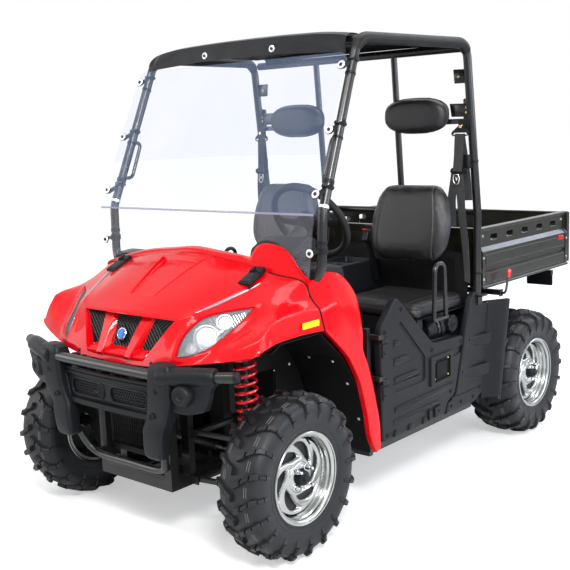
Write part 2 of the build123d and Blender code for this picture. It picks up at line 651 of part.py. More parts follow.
# ================================================================ cabin
SIDE_TUBE = [
    (440, DASH_BAR_Y, DASH_BAR_Z), (532, DASH_BAR_Y, DASH_BAR_Z), (606, 236, 1060),
    (611, 244, 1275), (588, 527, 1940),
    (640, 1270, 1942), (645, 1350, 1183), (640, 1350, 790 + FIT),
]
SIDE_BENDS = [50, 70, 160, 90, 70, 200]
HOOP_X = 236.0
HOOP_D = 30.0


def on_route(points, z, part):
    """The point at a height on one stretch of the side tube's route."""
    (x0, y0, z0), (x1, y1, z1) = points[part], points[part + 1]
    share = (z - z0) / (z1 - z0)
    return (x0 + share * (x1 - x0), y0 + share * (y1 - y0), z)


def middle_hoop(diameter):
    return tube([(HOOP_X, 1292, 1925), (HOOP_X, 1345, 1183), (HOOP_X, 1352, 790 + FIT)],
                [200], diameter)


def roll_cage():
    side = tube(SIDE_TUBE, SIDE_BENDS, TUBE_D)
    plate = span((600, 680), (1320, 1380), (790 + FIT, 798))
    front = axle_pin(TUBE_D / 2, -590, 590, 548, 1932)
    rear = axle_pin(TUBE_D / 2, -620, 620, 1292, 1925)
    hoop = middle_hoop(HOOP_D)
    cross = axle_pin(15, -640, 640, 1350, 1180)
    grab = tube([(606, 298, 1400), (560, 318, 1400), (560, 384, 1558), (600, 365, 1560)],
                [22, 22], 16)
    rail = span((HOOP_X, 644), (HEADREST_BACK_Y + FIT, 1326), (1588, 1612))
    bracket = span((SEAT_X - 30, SEAT_X + 30), (1150, 1350), (1168, 1192))
    bracket = bracket - extrude(back_plane(BACK_THICK / 2 + FIT) * Rectangle(600, 600), amount=200)
    left = merge(side, plate, hoop, rail, grab, bracket)
    return merge(left, mirror(left, about=Plane.YZ), front, rear, cross)


# ================================================================ windshield and roof
SPLIT_Z = 1277.0
LOWER_GLASS = [(-589, 1036), (-572, 1048), (-454, 1082), (-292, 1116), (0, 1142), (292, 1120),
               (330, 1160), (380, 1172), (440, 1164), (505, 1118), (572, 1054), (589, 1036),
               (622, SPLIT_Z - 2), (-622, SPLIT_Z - 2)]
UPPER_TILT = 23.9        # the upper pane's lean from upright, degrees
UPPER_LENGTH = 660.0
UPPER_WIDTHS = (624.0, 600.0)
CLAMP_HEIGHTS = (1134.0, 1352.0, 1588.0, 1833.0)
CLAMP_WIDE = 24.0


def upper_plane(raised=0.0):
    """Plane on the upper pane's front face, with local y up the glass."""
    lean = radians(UPPER_TILT)
    out = Vector(0, -cos(lean), sin(lean))
    base = Vector(0, WINDSHIELD_Y + 4, SPLIT_Z + 2) + out * raised
    return Plane(origin=base, x_dir=(1, 0, 0), z_dir=out)


def windshield_upper():
    low, high = UPPER_WIDTHS
    face = make_face(Polyline((-low, 0), (low, 0), (high, UPPER_LENGTH), (-high, UPPER_LENGTH),
                              close=True))
    face = fillet(face.vertices().group_by(Axis.Y)[-1], 40)
    return extrude(upper_plane() * face, amount=-GLASS)


def windshield_lower():
    return prism_y(LOWER_GLASS, WINDSHIELD_Y, WINDSHIELD_Y + GLASS)


def windshield_clamps():
    """Saddle clamps from the pillars to the back of the two panes."""
    clamps = []
    lean = radians(UPPER_TILT)
    for height in CLAMP_HEIGHTS:
        lower = height < SPLIT_Z
        part = 2 if lower else 3
        x, y, z = on_route(SIDE_TUBE, height if lower else height + 22, part)
        ring = Pos(x, y, z) * Rot(0 if lower else UPPER_TILT, 0, 0) * Cylinder(
            TUBE_D / 2 + 4, CLAMP_WIDE)
        reach = y - WINDSHIELD_Y - GLASS if lower else 80
        arm = Pos(x, y, z) * Rot(0 if lower else UPPER_TILT, 0, 0) * Pos(
            0, -reach / 2, 0) * Box(14, reach, 14)
        clamp = merge(ring, arm)
        if not lower:
            clamp = clamp - extrude(upper_plane(-GLASS - FIT) * Rectangle(2000, 2000), amount=90)
        else:
            clamp = clamp - span((-900, 900), (0, WINDSHIELD_Y + GLASS + FIT), (900, 1500))
        clamps.append(clamp)
    bore = tube(SIDE_TUBE, SIDE_BENDS, TUBE_D + 2 * FIT)
    return both(merge(*clamps) - bore)


ROOF_ROWS = [            # half rows from the centre line out, front to rear
    [(0, 462, 1904), (200, 462, 1902), (420, 466, 1892), (540, 467, 1886), (574, 466, 1880)],
    [(0, 466, 1952), (200, 466, 1950), (420, 470, 1942), (520, 476, 1932), (556, 484, 1914)],
    [(0, 520, 1984), (200, 520, 1983), (420, 522, 1977), (520, 530, 1966), (548, 540, 1962)],
    [(0, 900, 1985), (200, 900, 1985), (420, 900, 1979), (540, 900, 1968), (568, 900, 1964)],
    [(0, 1300, 1982), (200, 1300, 1982), (420, 1300, 1976), (560, 1300, 1966),
     (590, 1300, 1962)],
    [(0, 1320, 1950), (200, 1320, 1950), (420, 1320, 1948), (560, 1320, 1946),
     (590, 1320, 1944)],
]


def roof():
    """Moulded roof over four feet on the cage's front and rear bars."""
    feet = [span((x - 20, x + 20), (y - 10, y + 10), (z + TUBE_D / 2 + FIT, 1978))
            for x in (-300, 300) for y, z in ((548, 1932), (1292, 1925))]
    return merge(skin(mirrored_rows(ROOF_ROWS), 5.0), *feet)


# ================================================================ seats
SEAT_X = 385.0
CUSHION = ((160.0, 615.0), (872.0, 1318.0), (746.3, 828.0))
BACK_TILT = 12.0
BACK_THICK = 84.0
BACK_MIDDLE_Z = 1144.0
PAD_ROUND = 22.0         # rounding of the pads' front edges
BACK_OUTLINE = [(-175, 962), (175, 962), (222, 1060), (225, 1160), (196, 1270), (110, 1326),
                (-110, 1326), (-196, 1270), (-225, 1160), (-222, 1060)]
BACK_Y = 1178.0
HEADREST_BACK_Y = 1295.7
HEADREST_SIZE = (380.0, 59.0, 188.0)
HEADREST = (363.0, HEADREST_BACK_Y - HEADREST_SIZE[1] / 2, 1633.0)


def seat_cushions():
    cushion = span(*CUSHION)
    return both(fillet(cushion.edges().group_by(Axis.Z)[-1], 24))


def back_plane(offset):
    """Plane parallel to the seat backs, an offset behind their middle."""
    lean = radians(BACK_TILT)
    behind = Vector(0, cos(lean), sin(lean) * -1)
    return Plane(origin=Vector(SEAT_X, BACK_Y, BACK_MIDDLE_Z) + behind * offset,
                 x_dir=(1, 0, 0), z_dir=behind * -1)


def seat_backs():
    outline = [(x, z - BACK_MIDDLE_Z) for x, z in BACK_OUTLINE]
    face = rounded(make_face(Polyline(*outline, close=True)), 30)
    pad = extrude(back_plane(-BACK_THICK / 2) * face, amount=-BACK_THICK)
    front = pad.faces().sort_by(Axis.Y)[0]
    return both(fillet(front.edges(), PAD_ROUND))


def headrests():
    x, y, z = HEADREST
    wide, thick, high = HEADREST_SIZE
    face = Ellipse(wide / 2, high / 2)
    plane = Plane(origin=(x, y - thick / 2, z), x_dir=(1, 0, 0), z_dir=(0, -1, 0))
    pad = extrude(plane * face, amount=-thick)
    pad = fillet(pad.faces().sort_by(Axis.Y)[0].edges(), PAD_ROUND)
    return both(pad - middle_hoop(HOOP_D + 2 * FIT))


def hip_loops():
    """A tube loop beside each seat."""
    loop = tube([(640, 972, 736), (640, 986, 985), (640, 1062, 985), (640, 1072, 736)],
                [36, 36], 20)
    foot = span((600 + FIT, 650), (960, 1084), (732, 744))
    return both(merge(loop, foot))


# ================================================================ cabin floor and interior
FLOOR_Z = 270.0 + FIT
FLOOR_WALL = 4.0
BOX_FRONT_Y = 900.0
BOX_REAR_Y = 1322.0
BOX_TOP_Z = 746.0
DASH_OUTLINE = [(186, 1096), (300, 1100), (418, 1058), (436, 1000), (400, 868), (330, 846),
                (236, 846)]
DASH_INNER = [(236, 850), (328, 850), (396, 871), (432, 1000), (415, 1054), (299, 1096),
              (186, 1092)]
DASH_HALF = 572.0


def floor_pan():
    """Floor with a footwell between the wheel arches and the toe board in front."""
    half = LINER_X[0] - FIT
    floor = prism_z([(-580, 548), (-580, BOX_REAR_Y), (580, BOX_REAR_Y), (580, 548), (half, 506),
                     (half, 236), (-half, 236), (-half, 506)], FLOOR_Z, FLOOR_Z + FLOOR_WALL)
    toe = span((-half, half), (236, 240), (FLOOR_Z, 844))
    return merge(floor, toe)


def seat_box():
    """Black moulding that carries the cushions, notched on the left for the tank."""
    outline = [(BOX_FRONT_Y + 66, FLOOR_Z + FLOOR_WALL + FIT), (BOX_REAR_Y, 274.9),
               (BOX_REAR_Y, BOX_TOP_Z), (BOX_FRONT_Y, BOX_TOP_Z), (BOX_FRONT_Y, BOX_TOP_Z - 60)]
    outline[1] = (BOX_REAR_Y, outline[0][1])
    body = prism_x(outline, -600, 600)
    room = prism_x([(outline[0][0] + 5, 200), (BOX_REAR_Y - 5, 200),
                    (BOX_REAR_Y - 5, BOX_TOP_Z - 5), (BOX_FRONT_Y + 5, BOX_TOP_Z - 5),
                    (BOX_FRONT_Y + 5, BOX_TOP_Z - 61)], -595, 595)
    notch = span((430, 700), (940, BOX_REAR_Y + 1), (200, BOX_TOP_Z - 5))
    inner_wall = span((425, 430), (930, BOX_REAR_Y), (274.6 + FIT, BOX_TOP_Z - 5))
    return merge(body - room - notch, inner_wall)


def fuel_tank():
    """Tank beside the seat box with its round neck, strap and ribbed cap."""
    body = span((434, 590), (1000, 1316), (274.6 + FIT, 640))
    body = fillet(body.edges().filter_by(Axis.Y), 24)
    neck = axle_pin(46, 500, 596, 1176, 676)
    drum = long_pin(54, 1000, 1100, 548, 672)
    strap = long_pin(58, 1070, 1084, 548, 672)
    cap = axle_pin(34, 596, 618, 1176, 690)
    ribs = [Pos(607, 1176, 690) * Rot(45 * i, 0, 0) * Pos(0, 33, 0) * Box(22, 9, 11)
            for i in range(8)]
    return merge(body, neck, drum, strap, cap, *ribs)


def dashboard():
    """Hollow dash over the dash bar, open towards the windshield, on three ribs."""
    shell = prism_x(DASH_OUTLINE + DASH_INNER, -DASH_HALF, DASH_HALF)
    ribs = [prism_x([(186, 1093), (299, 1097), (416, 1055), (433, 1000), (397, 870),
                     (328, 849), (236, 849)], x, x + 6) for x in (-255, 20, 232)]
    bar = axle_pin(TUBE_D / 2 + FIT, -600, 600, DASH_BAR_Y, DASH_BAR_Z)
    dash = merge(shell, *ribs) - bar
    return dash - column_rod(COLUMN_R + 2, -400, 0)


def console():
    """Box between the seats with two cup holders."""
    body = span((-105, 105), (962, 1322), (BOX_TOP_Z + FIT, 942))
    body = fillet(body.edges().filter_by(Axis.Z), 14)
    cups = [post(40, 880, 950, x, 1040) for x in (-50, 50)]
    for cup in cups:
        body = body - cup
    tray = span((-80, 80), (1110, 1290), (915, 950))
    return body - tray


COLUMN_R = 20.0


def column_rod(radius, start, end):
    """A round bar on the steering axis, between two distances from the wheel's centre."""
    lean = radians(COLUMN_TILT)
    ends = [(WHEEL_X, WHEEL_Y + s * cos(lean), WHEEL_Z + s * sin(lean)) for s in (start, end)]
    return rod(ends[0], ends[1], 2 * radius)


def steering_column():
    body = column_rod(COLUMN_R, -352, -61 - FIT)
    shroud = column_rod(34, -190, -70)
    saddle = span((WHEEL_X - 18, WHEEL_X + 18), (190, 236), (966, 1026))
    bar = axle_pin(TUBE_D / 2 + FIT, -600, 600, DASH_BAR_Y, DASH_BAR_Z)
    return merge(body, shroud, saddle) - bar


def steering_wheel():
    """Thick-rimmed wheel with three spokes and a padded hub."""
    lean = radians(COLUMN_TILT)
    plane = Plane(origin=(WHEEL_X, WHEEL_Y, WHEEL_Z), x_dir=(1, 0, 0),
                  z_dir=(0, cos(lean), sin(lean)))
    centre_r = (WHEEL_D - WHEEL_RIM_D) / 2
    rim_ring = Torus(centre_r, WHEEL_RIM_D / 2)
    hub = Pos(0, 0, -32) * Cylinder(46, 34)
    boss = Pos(0, 0, -50) * Cylinder(22, 22)
    spokes = [Rot(0, 0, angle) * Pos(centre_r / 2, 0, -22) * Rot(0, -9, 0) *
              Box(centre_r, 30, 8) for angle in (0, 180, 270)]
    return plane * merge(rim_ring, hub, boss, *spokes)


# ================================================================ doors and side panels
DOOR_X = (620.0, 650.0)
DOOR = [(546, 774), (672, 898), (952, 636), (1212, 630), (1128, 362), (1062, 345),
        (1042, 292), (546, 292)]
SIDE_PANEL = [(1049, 286), (1069, 339), (1135, 356), (1220, 632), (1292, 792), (1318, 812),
              (1352, 806), (1362, 744), (1444, 740), (1384, 318), (1300, 286)]
FLARE = [                # rear edge of the side panel, thrown out round the tyre
    [(650, 1372, 318), (698, 1462, 316), (700, 1476, 316), (640, 1490, 316)],
    [(650, 1432, 738), (698, 1552, 734), (700, 1568, 734), (640, 1584, 734)],
]
DOOR_RADIUS = 18.0
DOOR_RECESS = [(636, 484), (636, 712), (694, 784), (882, 594), (882, 486)]
RECESS_DEPTH = 6.0
STEPS = [                # raised steps in the recess: front y, top rear y, foot rear y, z
    (646, 684, 704, 678, 704), (646, 745, 777, 597, 628), (646, 824, 834, 520, 546),
]
LONG_RIB = [(641, 398), (641, 424), (1104, 424), (1098, 398)]
RIB_RISE = 3.5
DOOR_SCREWS = [(703, 838), (576, 757), (938, 612), (1186, 606), (1092, 388), (583, 318)]
SCREW_R = 8.0
BUMPS = (647, 757, 869)  # y of the half-round bumps along the lower edge
BUMP_R = 15.0
BUMP_Z = 300.0
BLOCKS = [(900, 918, 306, 340), (955, 992, 304, 340)]
PLATE = (1010.0, 514.0, 94.0, 66.0)      # y, z and half sizes of the square frame
WINDOW = (52.0, 43.0)                    # half sizes of its pocket
LATCH = (1122.0, 1180.0, 544.0, 584.0)   # y and z ends of the latch recess
SIDE_RIBS = [            # z low, z high, front y, rear y of the rear panel's wedge ribs
    (416, 458, 1200, 1388), (556, 598, 1262, 1408),
]
SIDE_RIB_RISE = 20.0


def door():
    """Left half door: moulded panel with steps, ribs and a latch, and two hinge leaves."""
    face = DOOR_X[1]
    panel = prism_x(DOOR, *DOOR_X, radius=DOOR_RADIUS)
    recess = prism_x(DOOR_RECESS, face - RECESS_DEPTH, face + 1, radius=8)
    latch = span((face - RECESS_DEPTH, face + 1), LATCH[:2], LATCH[2:])
    steps = [prism_x([(front, low), (front, high), (top, high), (foot, low)],
                     face - RECESS_DEPTH - 1, face - RECESS_DEPTH + RIB_RISE)
             for front, top, foot, low, high in STEPS]
    rib = prism_x(LONG_RIB, face - 1, face + RIB_RISE, radius=6)
    screws = [axle_pin(SCREW_R, face - 1, face + 2, y, z) for y, z in DOOR_SCREWS]
    bumps = [axle_pin(BUMP_R, face - 1, face + RIB_RISE, y, BUMP_Z + BUMP_R) for y in BUMPS]
    blocks = [span((face - 1, face + 2 * RIB_RISE), (front, rear), (low, high))
              for front, rear, low, high in BLOCKS]
    leaves = []
    for z in DOOR_HINGE_Z:
        leaf = span((face - 1, face + 4), (552, 600), (z - 22, z - FIT))
        knuckle = post(BARREL_R, z - BARREL_LENGTH, z + 1 - FIT, DOOR_AXIS_X, DOOR_AXIS_Y)
        link = span((face - 1, DOOR_AXIS_X), (DOOR_AXIS_Y, 560), (z - BARREL_LENGTH, z - FIT))
        bore = post(3 + FIT, z - BARREL_LENGTH - 1, z + 2, DOOR_AXIS_X, DOOR_AXIS_Y)
        leaves.append(merge(leaf, knuckle, link) - bore)
    y, z, half_y, half_z = PLATE
    frame = span((face - 1, face + 6), (y - half_y, y + half_y), (z - half_z, z + half_z))
    pocket = span((face - RECESS_DEPTH, face + 7), (y - WINDOW[0], y + WINDOW[0]),
                  (z - WINDOW[1], z + WINDOW[1]))
    moulding = merge(panel - recess - latch, frame, rib, *steps, *screws, *bumps, *blocks)
    return merge(moulding - pocket, *leaves)


def side_panels():
    """Fixed panels behind the doors, thrown out to clear the rear tyres."""
    plate = prism_x(SIDE_PANEL, *DOOR_X)
    flare = skin(FLARE, 4.0)
    bar_room = span((600, 700), (BED_RAIL_FRONT_Y - 12, 1400), (BED_RAIL_Z - RAIL / 2 - FIT, 900))
    ribs = [prism_z([(DOOR_X[1] - 4, front), (DOOR_X[1], front),
                     (DOOR_X[1] + SIDE_RIB_RISE, rear), (DOOR_X[1] - 4, rear)], low, high)
            for low, high, front, rear in SIDE_RIBS]
    return both(merge(plate - bar_room, flare, *ribs))


# ================================================================ bed
BED_HALF = 648.0
BED_FRONT_Y = 1387.0
BED_REAR_Y = WHEELBASE + 454.0
BED_FLOOR_Z = 830.0
BED_TOP_Z = 1096.0
BED_WALL = 25.0
SIDE_SECTION = [         # (x, z) through the left side wall
    (632, BED_TOP_Z), (632, 1010), (BED_HALF, 990), (BED_HALF, 912), (640, 908), (640, 896),
    (BED_HALF, 892), (BED_HALF, BED_FLOOR_Z - 10), (607, BED_FLOOR_Z - 10), (607, BED_TOP_Z),
]
SLOTS = 5
BED_SKID_X = (232.0, 258.0)


def bed_tub():
    """Tipping bed: floor, front wall, ribbed sides, rear posts and two skids below."""
    floor = span((-610, 610), (BED_FRONT_Y, BED_REAR_Y), (BED_FLOOR_Z - 4, BED_FLOOR_Z))
    front = span((-632, 632), (BED_FRONT_Y, BED_FRONT_Y + BED_WALL),
                 (BED_FLOOR_Z - 4, BED_TOP_Z))
    side = prism_y(SIDE_SECTION, BED_FRONT_Y, BED_REAR_Y)
    pitch = (BED_REAR_Y - BED_FRONT_Y - 120) / SLOTS
    for index in range(SLOTS):
        y = BED_FRONT_Y + 60 + pitch * (index + 0.5)
        side = side - span((600, 660), (y - 34, y + 34), (1036, 1064))
    rear_post = span((604, BED_HALF), (BED_REAR_Y, BED_REAR_Y + 29), (BED_FLOOR_Z, BED_TOP_Z))
    rear_post = rear_post - span((600, 612), (BED_REAR_Y - 1, BED_REAR_Y + 40), (800, 1100))
    skid = prism_x([(BED_FRONT_Y + 10, 790 + FIT), (BED_HINGE_Y + 12, 790 + FIT),
                    (BED_HINGE_Y + 17, 800), (BED_HINGE_Y + 17, BED_FLOOR_Z - 4),
                    (BED_FRONT_Y + 10, BED_FLOOR_Z - 4)], *BED_SKID_X)
    skid = skid - axle_pin(BED_PIN_R + FIT, 220, 270, BED_HINGE_Y, BED_HINGE_Z)
    left = merge(side, rear_post, skid)
    return merge(floor, front, left, mirror(left, about=Plane.YZ))


TAILGATE_X = 596.0
TAILGATE_Y = (2308.0, 2332.0)
TAILGATE_HINGE_Y = 2326.0
TAILGATE_HINGE_Z = 838.0
TAILGATE_KNUCKLE_R = 8.0


def tailgate():
    panel = span((-TAILGATE_X, TAILGATE_X), TAILGATE_Y, (850, BED_TOP_Z - 4))
    press = span((-TAILGATE_X + 60, TAILGATE_X - 60), (TAILGATE_Y[1] - 5, TAILGATE_Y[1] + 1),
                 (900, 1040))
    knuckles = [merge(axle_pin(TAILGATE_KNUCKLE_R, x - 30, x + 30, TAILGATE_HINGE_Y, TAILGATE_HINGE_Z),
                      span((x - 30, x + 30), (2320, 2332), (838, 852))) for x in (-420, 420)]
    bore = axle_pin(4 + FIT, -600, 600, TAILGATE_HINGE_Y, TAILGATE_HINGE_Z)
    return merge(panel - press, *knuckles) - bore


def tailgate_hinges():
    """Pins between the bed's sill ears, one at each end of the tailgate."""
    pieces = []
    for x in (420,):
        pin = axle_pin(4, x - 40, x + 40, TAILGATE_HINGE_Y, TAILGATE_HINGE_Z)
        ears = [span((x + s, x + s + 8), (BED_REAR_Y - 10, TAILGATE_HINGE_Y + 6),
                     (BED_FLOOR_Z - 4, TAILGATE_HINGE_Z + 6)) for s in (-40, 32)]
        pieces.append(merge(pin, *ears))
    return both(merge(*pieces))


LAMP_PLATE = 8.0
REAR_LAMP_R = 34.0


def rear_lamps():
    """Plate with a round lamp on each end of the frame's rear outrigger."""
    face = LAMP_ARM_Y + LAMP_PLATE
    plate = span((440, 590), (LAMP_ARM_Y + FIT, face), (700, 786))
    lamp = long_pin(REAR_LAMP_R, face, face + 24, 515, 742)
    shade = long_pin(REAR_LAMP_R + 4, face, face + 8, 515, 742)
    return both(merge(plate, lamp, shade))


def bed_lever():
    """Release lever on the frame's outrigger beside the bed."""
    foot = span((662 + FIT, 668), (1525, 1549), (762, 792))
    arm = tube([(668, 1537, 778), (690, 1537, 778), (690, 1562, 850)], [14], 12)
    knob = rod((690, 1560, 846), (690, 1575, 890), 22)
    return merge(foot, arm, knob)


# ================================================================ power train and suspension
def engine():
    """The engine and gearbox as one plain block."""
    return span((-150, 150), ENGINE_Y, (RAIL_Z + RAIL / 2 + FIT, 640))


SHAFT_R = 13.0
CASE_HALF = (90.0, 60.0)     # x and y from the axle's middle
BOOTS = [                    # inner x, outer x, inner radius, outer radius
    (CASE_HALF[0] + 20, CASE_HALF[0] + 80, 44, 22),
    (REAR_BALL_X - 80, REAR_BALL_X - 23, 22, 40),
]
SILENCER_Y = WHEELBASE + 160.0
SILENCER_Z = 560.0
SILENCER_R = 62.0
PIPE_Z = 520.0


def driveline():
    """Final drive case and the two half shafts with their boots."""
    half_x, half_y = CASE_HALF
    case = merge(span((-half_x, half_x), (WHEELBASE - half_y, WHEELBASE + half_y),
                      (AXLE_Z - FINAL_CASE_R, AXLE_Z + half_y - 5)),
                 axle_pin(FINAL_CASE_R, -half_x - 20, half_x + 20, WHEELBASE, AXLE_Z))
    shaft = axle_pin(SHAFT_R, half_x + 10, REAR_BALL_X - 22 - FIT, WHEELBASE, AXLE_Z)
    boots = []
    for x_low, x_high, r_low, r_high in BOOTS:
        cone = loft([Plane(origin=(x_low, WHEELBASE, AXLE_Z), z_dir=(1, 0, 0)) * Circle(r_low),
                     Plane(origin=(x_high, WHEELBASE, AXLE_Z), z_dir=(1, 0, 0)) * Circle(r_high)])
        boots.append(cone)
    side = merge(shaft, *boots)
    return merge(case, side, mirror(side, about=Plane.YZ))


def exhaust():
    """Silencer across the frame behind the engine, with its pipe."""
    body = axle_pin(SILENCER_R, -150, 150, SILENCER_Y, SILENCER_Z)
    pipe = tube([(60, ENGINE_Y[1] + FIT, PIPE_Z), (60, SILENCER_Y - 210, PIPE_Z),
                 (60, SILENCER_Y - 55, SILENCER_Z - 5)], [60], 32)
    tail = tube([(-110, SILENCER_Y + 50, SILENCER_Z), (-110, SILENCER_Y + 190, SILENCER_Z),
                 (-110, SILENCER_Y + 250, SILENCER_Z - 30)], [40], 30)
    hanger = span((100, 112), (SILENCER_Y - 20, SILENCER_Y + 20),
                  (SILENCER_Z + 40, BED_RAIL_Z - RAIL / 2 - FIT))
    return merge(body, pipe, tail, hanger, mirror(hanger, about=Plane.YZ))


def arm(ball, sleeve_y, sleeve_z, spread, wheel_y):
    """One A-arm: eye on the kingpin, two tubes and a pivot sleeve."""
    x, z = ball
    eye = post(EYE_R, z - EYE_HEIGHT / 2, z + EYE_HEIGHT / 2, x, wheel_y)
    sleeve = long_pin(SLEEVE_D / 2, wheel_y - PIVOT_SPREAD + FIT, wheel_y + PIVOT_SPREAD - FIT,
                      PIVOT_X, sleeve_z)
    legs = [rod((x, wheel_y, z), (PIVOT_X, wheel_y + side * spread, sleeve_z), ARM_TUBE_D)
            for side in (1, -1)]
    bore = post(PIN_R + FIT, z - 30, z + 30, x, wheel_y)
    return merge(eye, sleeve, *legs) - bore


def suspension_arms():
    """Front and rear A-arms, the rear pair with the fixed hub carriers."""
    lower = arm((KINGPIN_X, LOWER_BALL_Z), 0, LOWER_PIVOT_Z, 108, 0)
    saddle = span((404, 440), (-52, 52), (232, 250))
    upper = arm((KINGPIN_X, UPPER_BALL_Z), 0, UPPER_PIVOT_Z, 108, 0)
    rear_lower = arm((REAR_BALL_X, LOWER_BALL_Z), 0, LOWER_PIVOT_Z, 108, WHEELBASE)
    rear_upper = arm((REAR_BALL_X, UPPER_BALL_Z), 0, UPPER_PIVOT_Z, 108, WHEELBASE)
    carrier = merge(span((REAR_BALL_X - 22, REAR_BALL_X + 22), (WHEELBASE - 30, WHEELBASE + 30),
                         (LOWER_BALL_Z - 10, UPPER_BALL_Z + 10)),
                    axle_pin(HUB_BORE_R, REAR_BALL_X, 648, WHEELBASE, AXLE_Z))
    shock_seat = span((REAR_BALL_X - 60, REAR_BALL_X), (REAR_SHOCK_Y - 22, WHEELBASE - 25),
                      (REAR_SHOCK_LOW_Z - 16, REAR_SHOCK_LOW_Z))
    rear = merge(rear_lower, rear_upper, carrier, shock_seat)
    return both(Part() + [merge(lower, saddle), upper, rear])


def knuckle():
    """Left front knuckle: kingpin between the arms, wheel spindle and steering arm."""
    low, high = LOWER_BALL_Z - EYE_HEIGHT / 2, UPPER_BALL_Z + EYE_HEIGHT / 2
    body = span((KINGPIN_X - 16, KINGPIN_X + 18), (-24, 24),
                (LOWER_BALL_Z + EYE_HEIGHT / 2 + FIT, UPPER_BALL_Z - EYE_HEIGHT / 2 - FIT))
    kingpin = post(PIN_R, low - 4, high + 4, KINGPIN_X, 0)
    spindle = axle_pin(HUB_BORE_R, KINGPIN_X, 652, 0, AXLE_Z)
    flange = axle_pin(40, KINGPIN_X + 10, 530, 0, AXLE_Z)
    steering_arm = prism_z([(KINGPIN_X - 14, 0), (KINGPIN_X + 14, 0), (KINGPIN_X - 4, RACK_Y + 12),
                            (KINGPIN_X - 28, RACK_Y + 12)], 282, 294)
    return merge(body, kingpin, spindle, flange, steering_arm)


def tie_rods():
    """Rack bar and tie rods as they slide, each rod's end resting over its steering arm."""
    end = KINGPIN_X - 15
    bar = axle_pin(ROD_R, -end, end, RACK_Y, RACK_Z)
    ends = [post(13, 300, 324, x, RACK_Y) for x in (-end, end)]
    studs = [post(7, 294 + FIT, 312, x, RACK_Y) for x in (-end, end)]
    return merge(bar, *ends, *studs)


def shock_parts(lower, upper):
    """A damper between two points, cut level at both, and the coil round its upper end."""
    start, end = Vector(*lower), Vector(*upper)
    way = (end - start).normalized()
    length = (end - start).length

    def at(share):
        return start + way * (length * share)

    body = merge(rod(at(-0.03), at(0.55), 38), rod(at(0.5), end, 16),
                 rod(at(0.36), at(0.375), 86), rod(at(0.95), at(1.03), 84))
    level = span((lower[0] - 300, lower[0] + 300), (lower[1] - 100, lower[1] + 100),
                 (lower[2], upper[2]))
    coil = rod(at(0.3755), at(0.9495), 84) - rod(at(0.37), at(0.96), 62)
    return body & level, coil


def dampers_and_springs():
    front = shock_parts((424, 0, FRONT_SHOCK_LOW_Z + FIT), (398, 0, SHOCK_TOP_Z + 14 - FIT))
    rear = shock_parts((REAR_BALL_X - 40, REAR_SHOCK_Y, REAR_SHOCK_LOW_Z + FIT),
                       (306, REAR_SHOCK_Y, REAR_SHOCK_TOP_Z + 14 - FIT))
    return both(Part() + [front[0], rear[0]]), both(Part() + [front[1], rear[1]])


def radiator():
    """Radiator core in its frame between the front uprights."""
    core = span((-165, 165), (-205, -175), (336, 640))
    tabs = [span((x - 20, x + 20), (-205, -197), (640, 700 - FIT)) for x in (-120, 120)]
    return merge(core, *tabs)


NODES = {}
NODES.update(wheel_nodes())
NODES["hood"] = hood()
NODES["grille_mesh"] = grille_mesh()
NODES["lamp_lenses"] = lamp_lenses()
NODES["lamp_bowls"] = lamp_bowls()
NODES["hood_hinges"] = hood_hinges()
NODES["cowl"] = cowl()
NODES["side_fenders"] = side_fenders()
NODES["chassis_frame"] = chassis_frame(NODES["side_fenders"])
NODES["arch_liners"] = arch_liners()
bar, lower = front_bumper_bar()
NODES["bumper_pads"] = bumper_pads(bar, lower)
NODES["front_bumper_bar"] = Part() + [bar, lower]
NODES["bumper_panel"] = bumper_panel() - NODES["bumper_pads"]
NODES["roll_cage"] = roll_cage()
NODES["windshield_upper"] = windshield_upper()
NODES["windshield_lower"] = windshield_lower()
NODES["windshield_clamps"] = windshield_clamps()
NODES["roof"] = roof()
NODES["seat_cushions"] = seat_cushions()
NODES["seat_backs"] = seat_backs()
NODES["headrests"] = headrests()
NODES["hip_loops"] = hip_loops()
NODES["floor_pan"] = floor_pan()
NODES["seat_box"] = seat_box()
NODES["fuel_tank"] = fuel_tank()
NODES["dashboard"] = dashboard()
NODES["console"] = console()
NODES["steering_column"] = steering_column()
NODES["steering_wheel"] = steering_wheel()
NODES["door_left"] = door()
NODES["door_right"] = mirror(NODES["door_left"], about=Plane.YZ)
NODES["side_panels"] = side_panels()
NODES["bed_tub"] = merge(bed_tub(), tailgate_hinges())
NODES["tailgate"] = tailgate()
NODES["rear_lamps"] = rear_lamps()
NODES["bed_lever"] = bed_lever()
NODES["engine"] = engine()
NODES["driveline"] = driveline()
NODES["exhaust"] = exhaust()
NODES["suspension_arms"] = suspension_arms()
NODES["knuckle_left"] = knuckle()
NODES["knuckle_right"] = mirror(NODES["knuckle_left"], about=Plane.YZ)
NODES["tie_rods"] = tie_rods()
NODES["dampers"], NODES["springs"] = dampers_and_springs()
NODES["radiator"] = radiator()

# ================================================================ export
FRONT_Y = BAR_Y - BAR_D / 2
REAR_Y = TAILGATE_HINGE_Y + TAILGATE_KNUCKLE_R
ORIGIN_Y = (FRONT_Y + REAR_Y) / 2

if __name__ == "__main__":
    for name, shape in NODES.items():
        moved = Pos(0, -ORIGIN_Y, 0) * shape
        print(name, len(moved.solids()), round(moved.volume), moved.is_valid)
        export_step(moved, f"parts/{name}.step")
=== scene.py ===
import bpy
import bmesh
from math import atan2, ceil, cos, exp, hypot, pi, radians, sin, tau
from mathutils import Matrix, Vector, geometry, noise
from mathutils.bvhtree import BVHTree


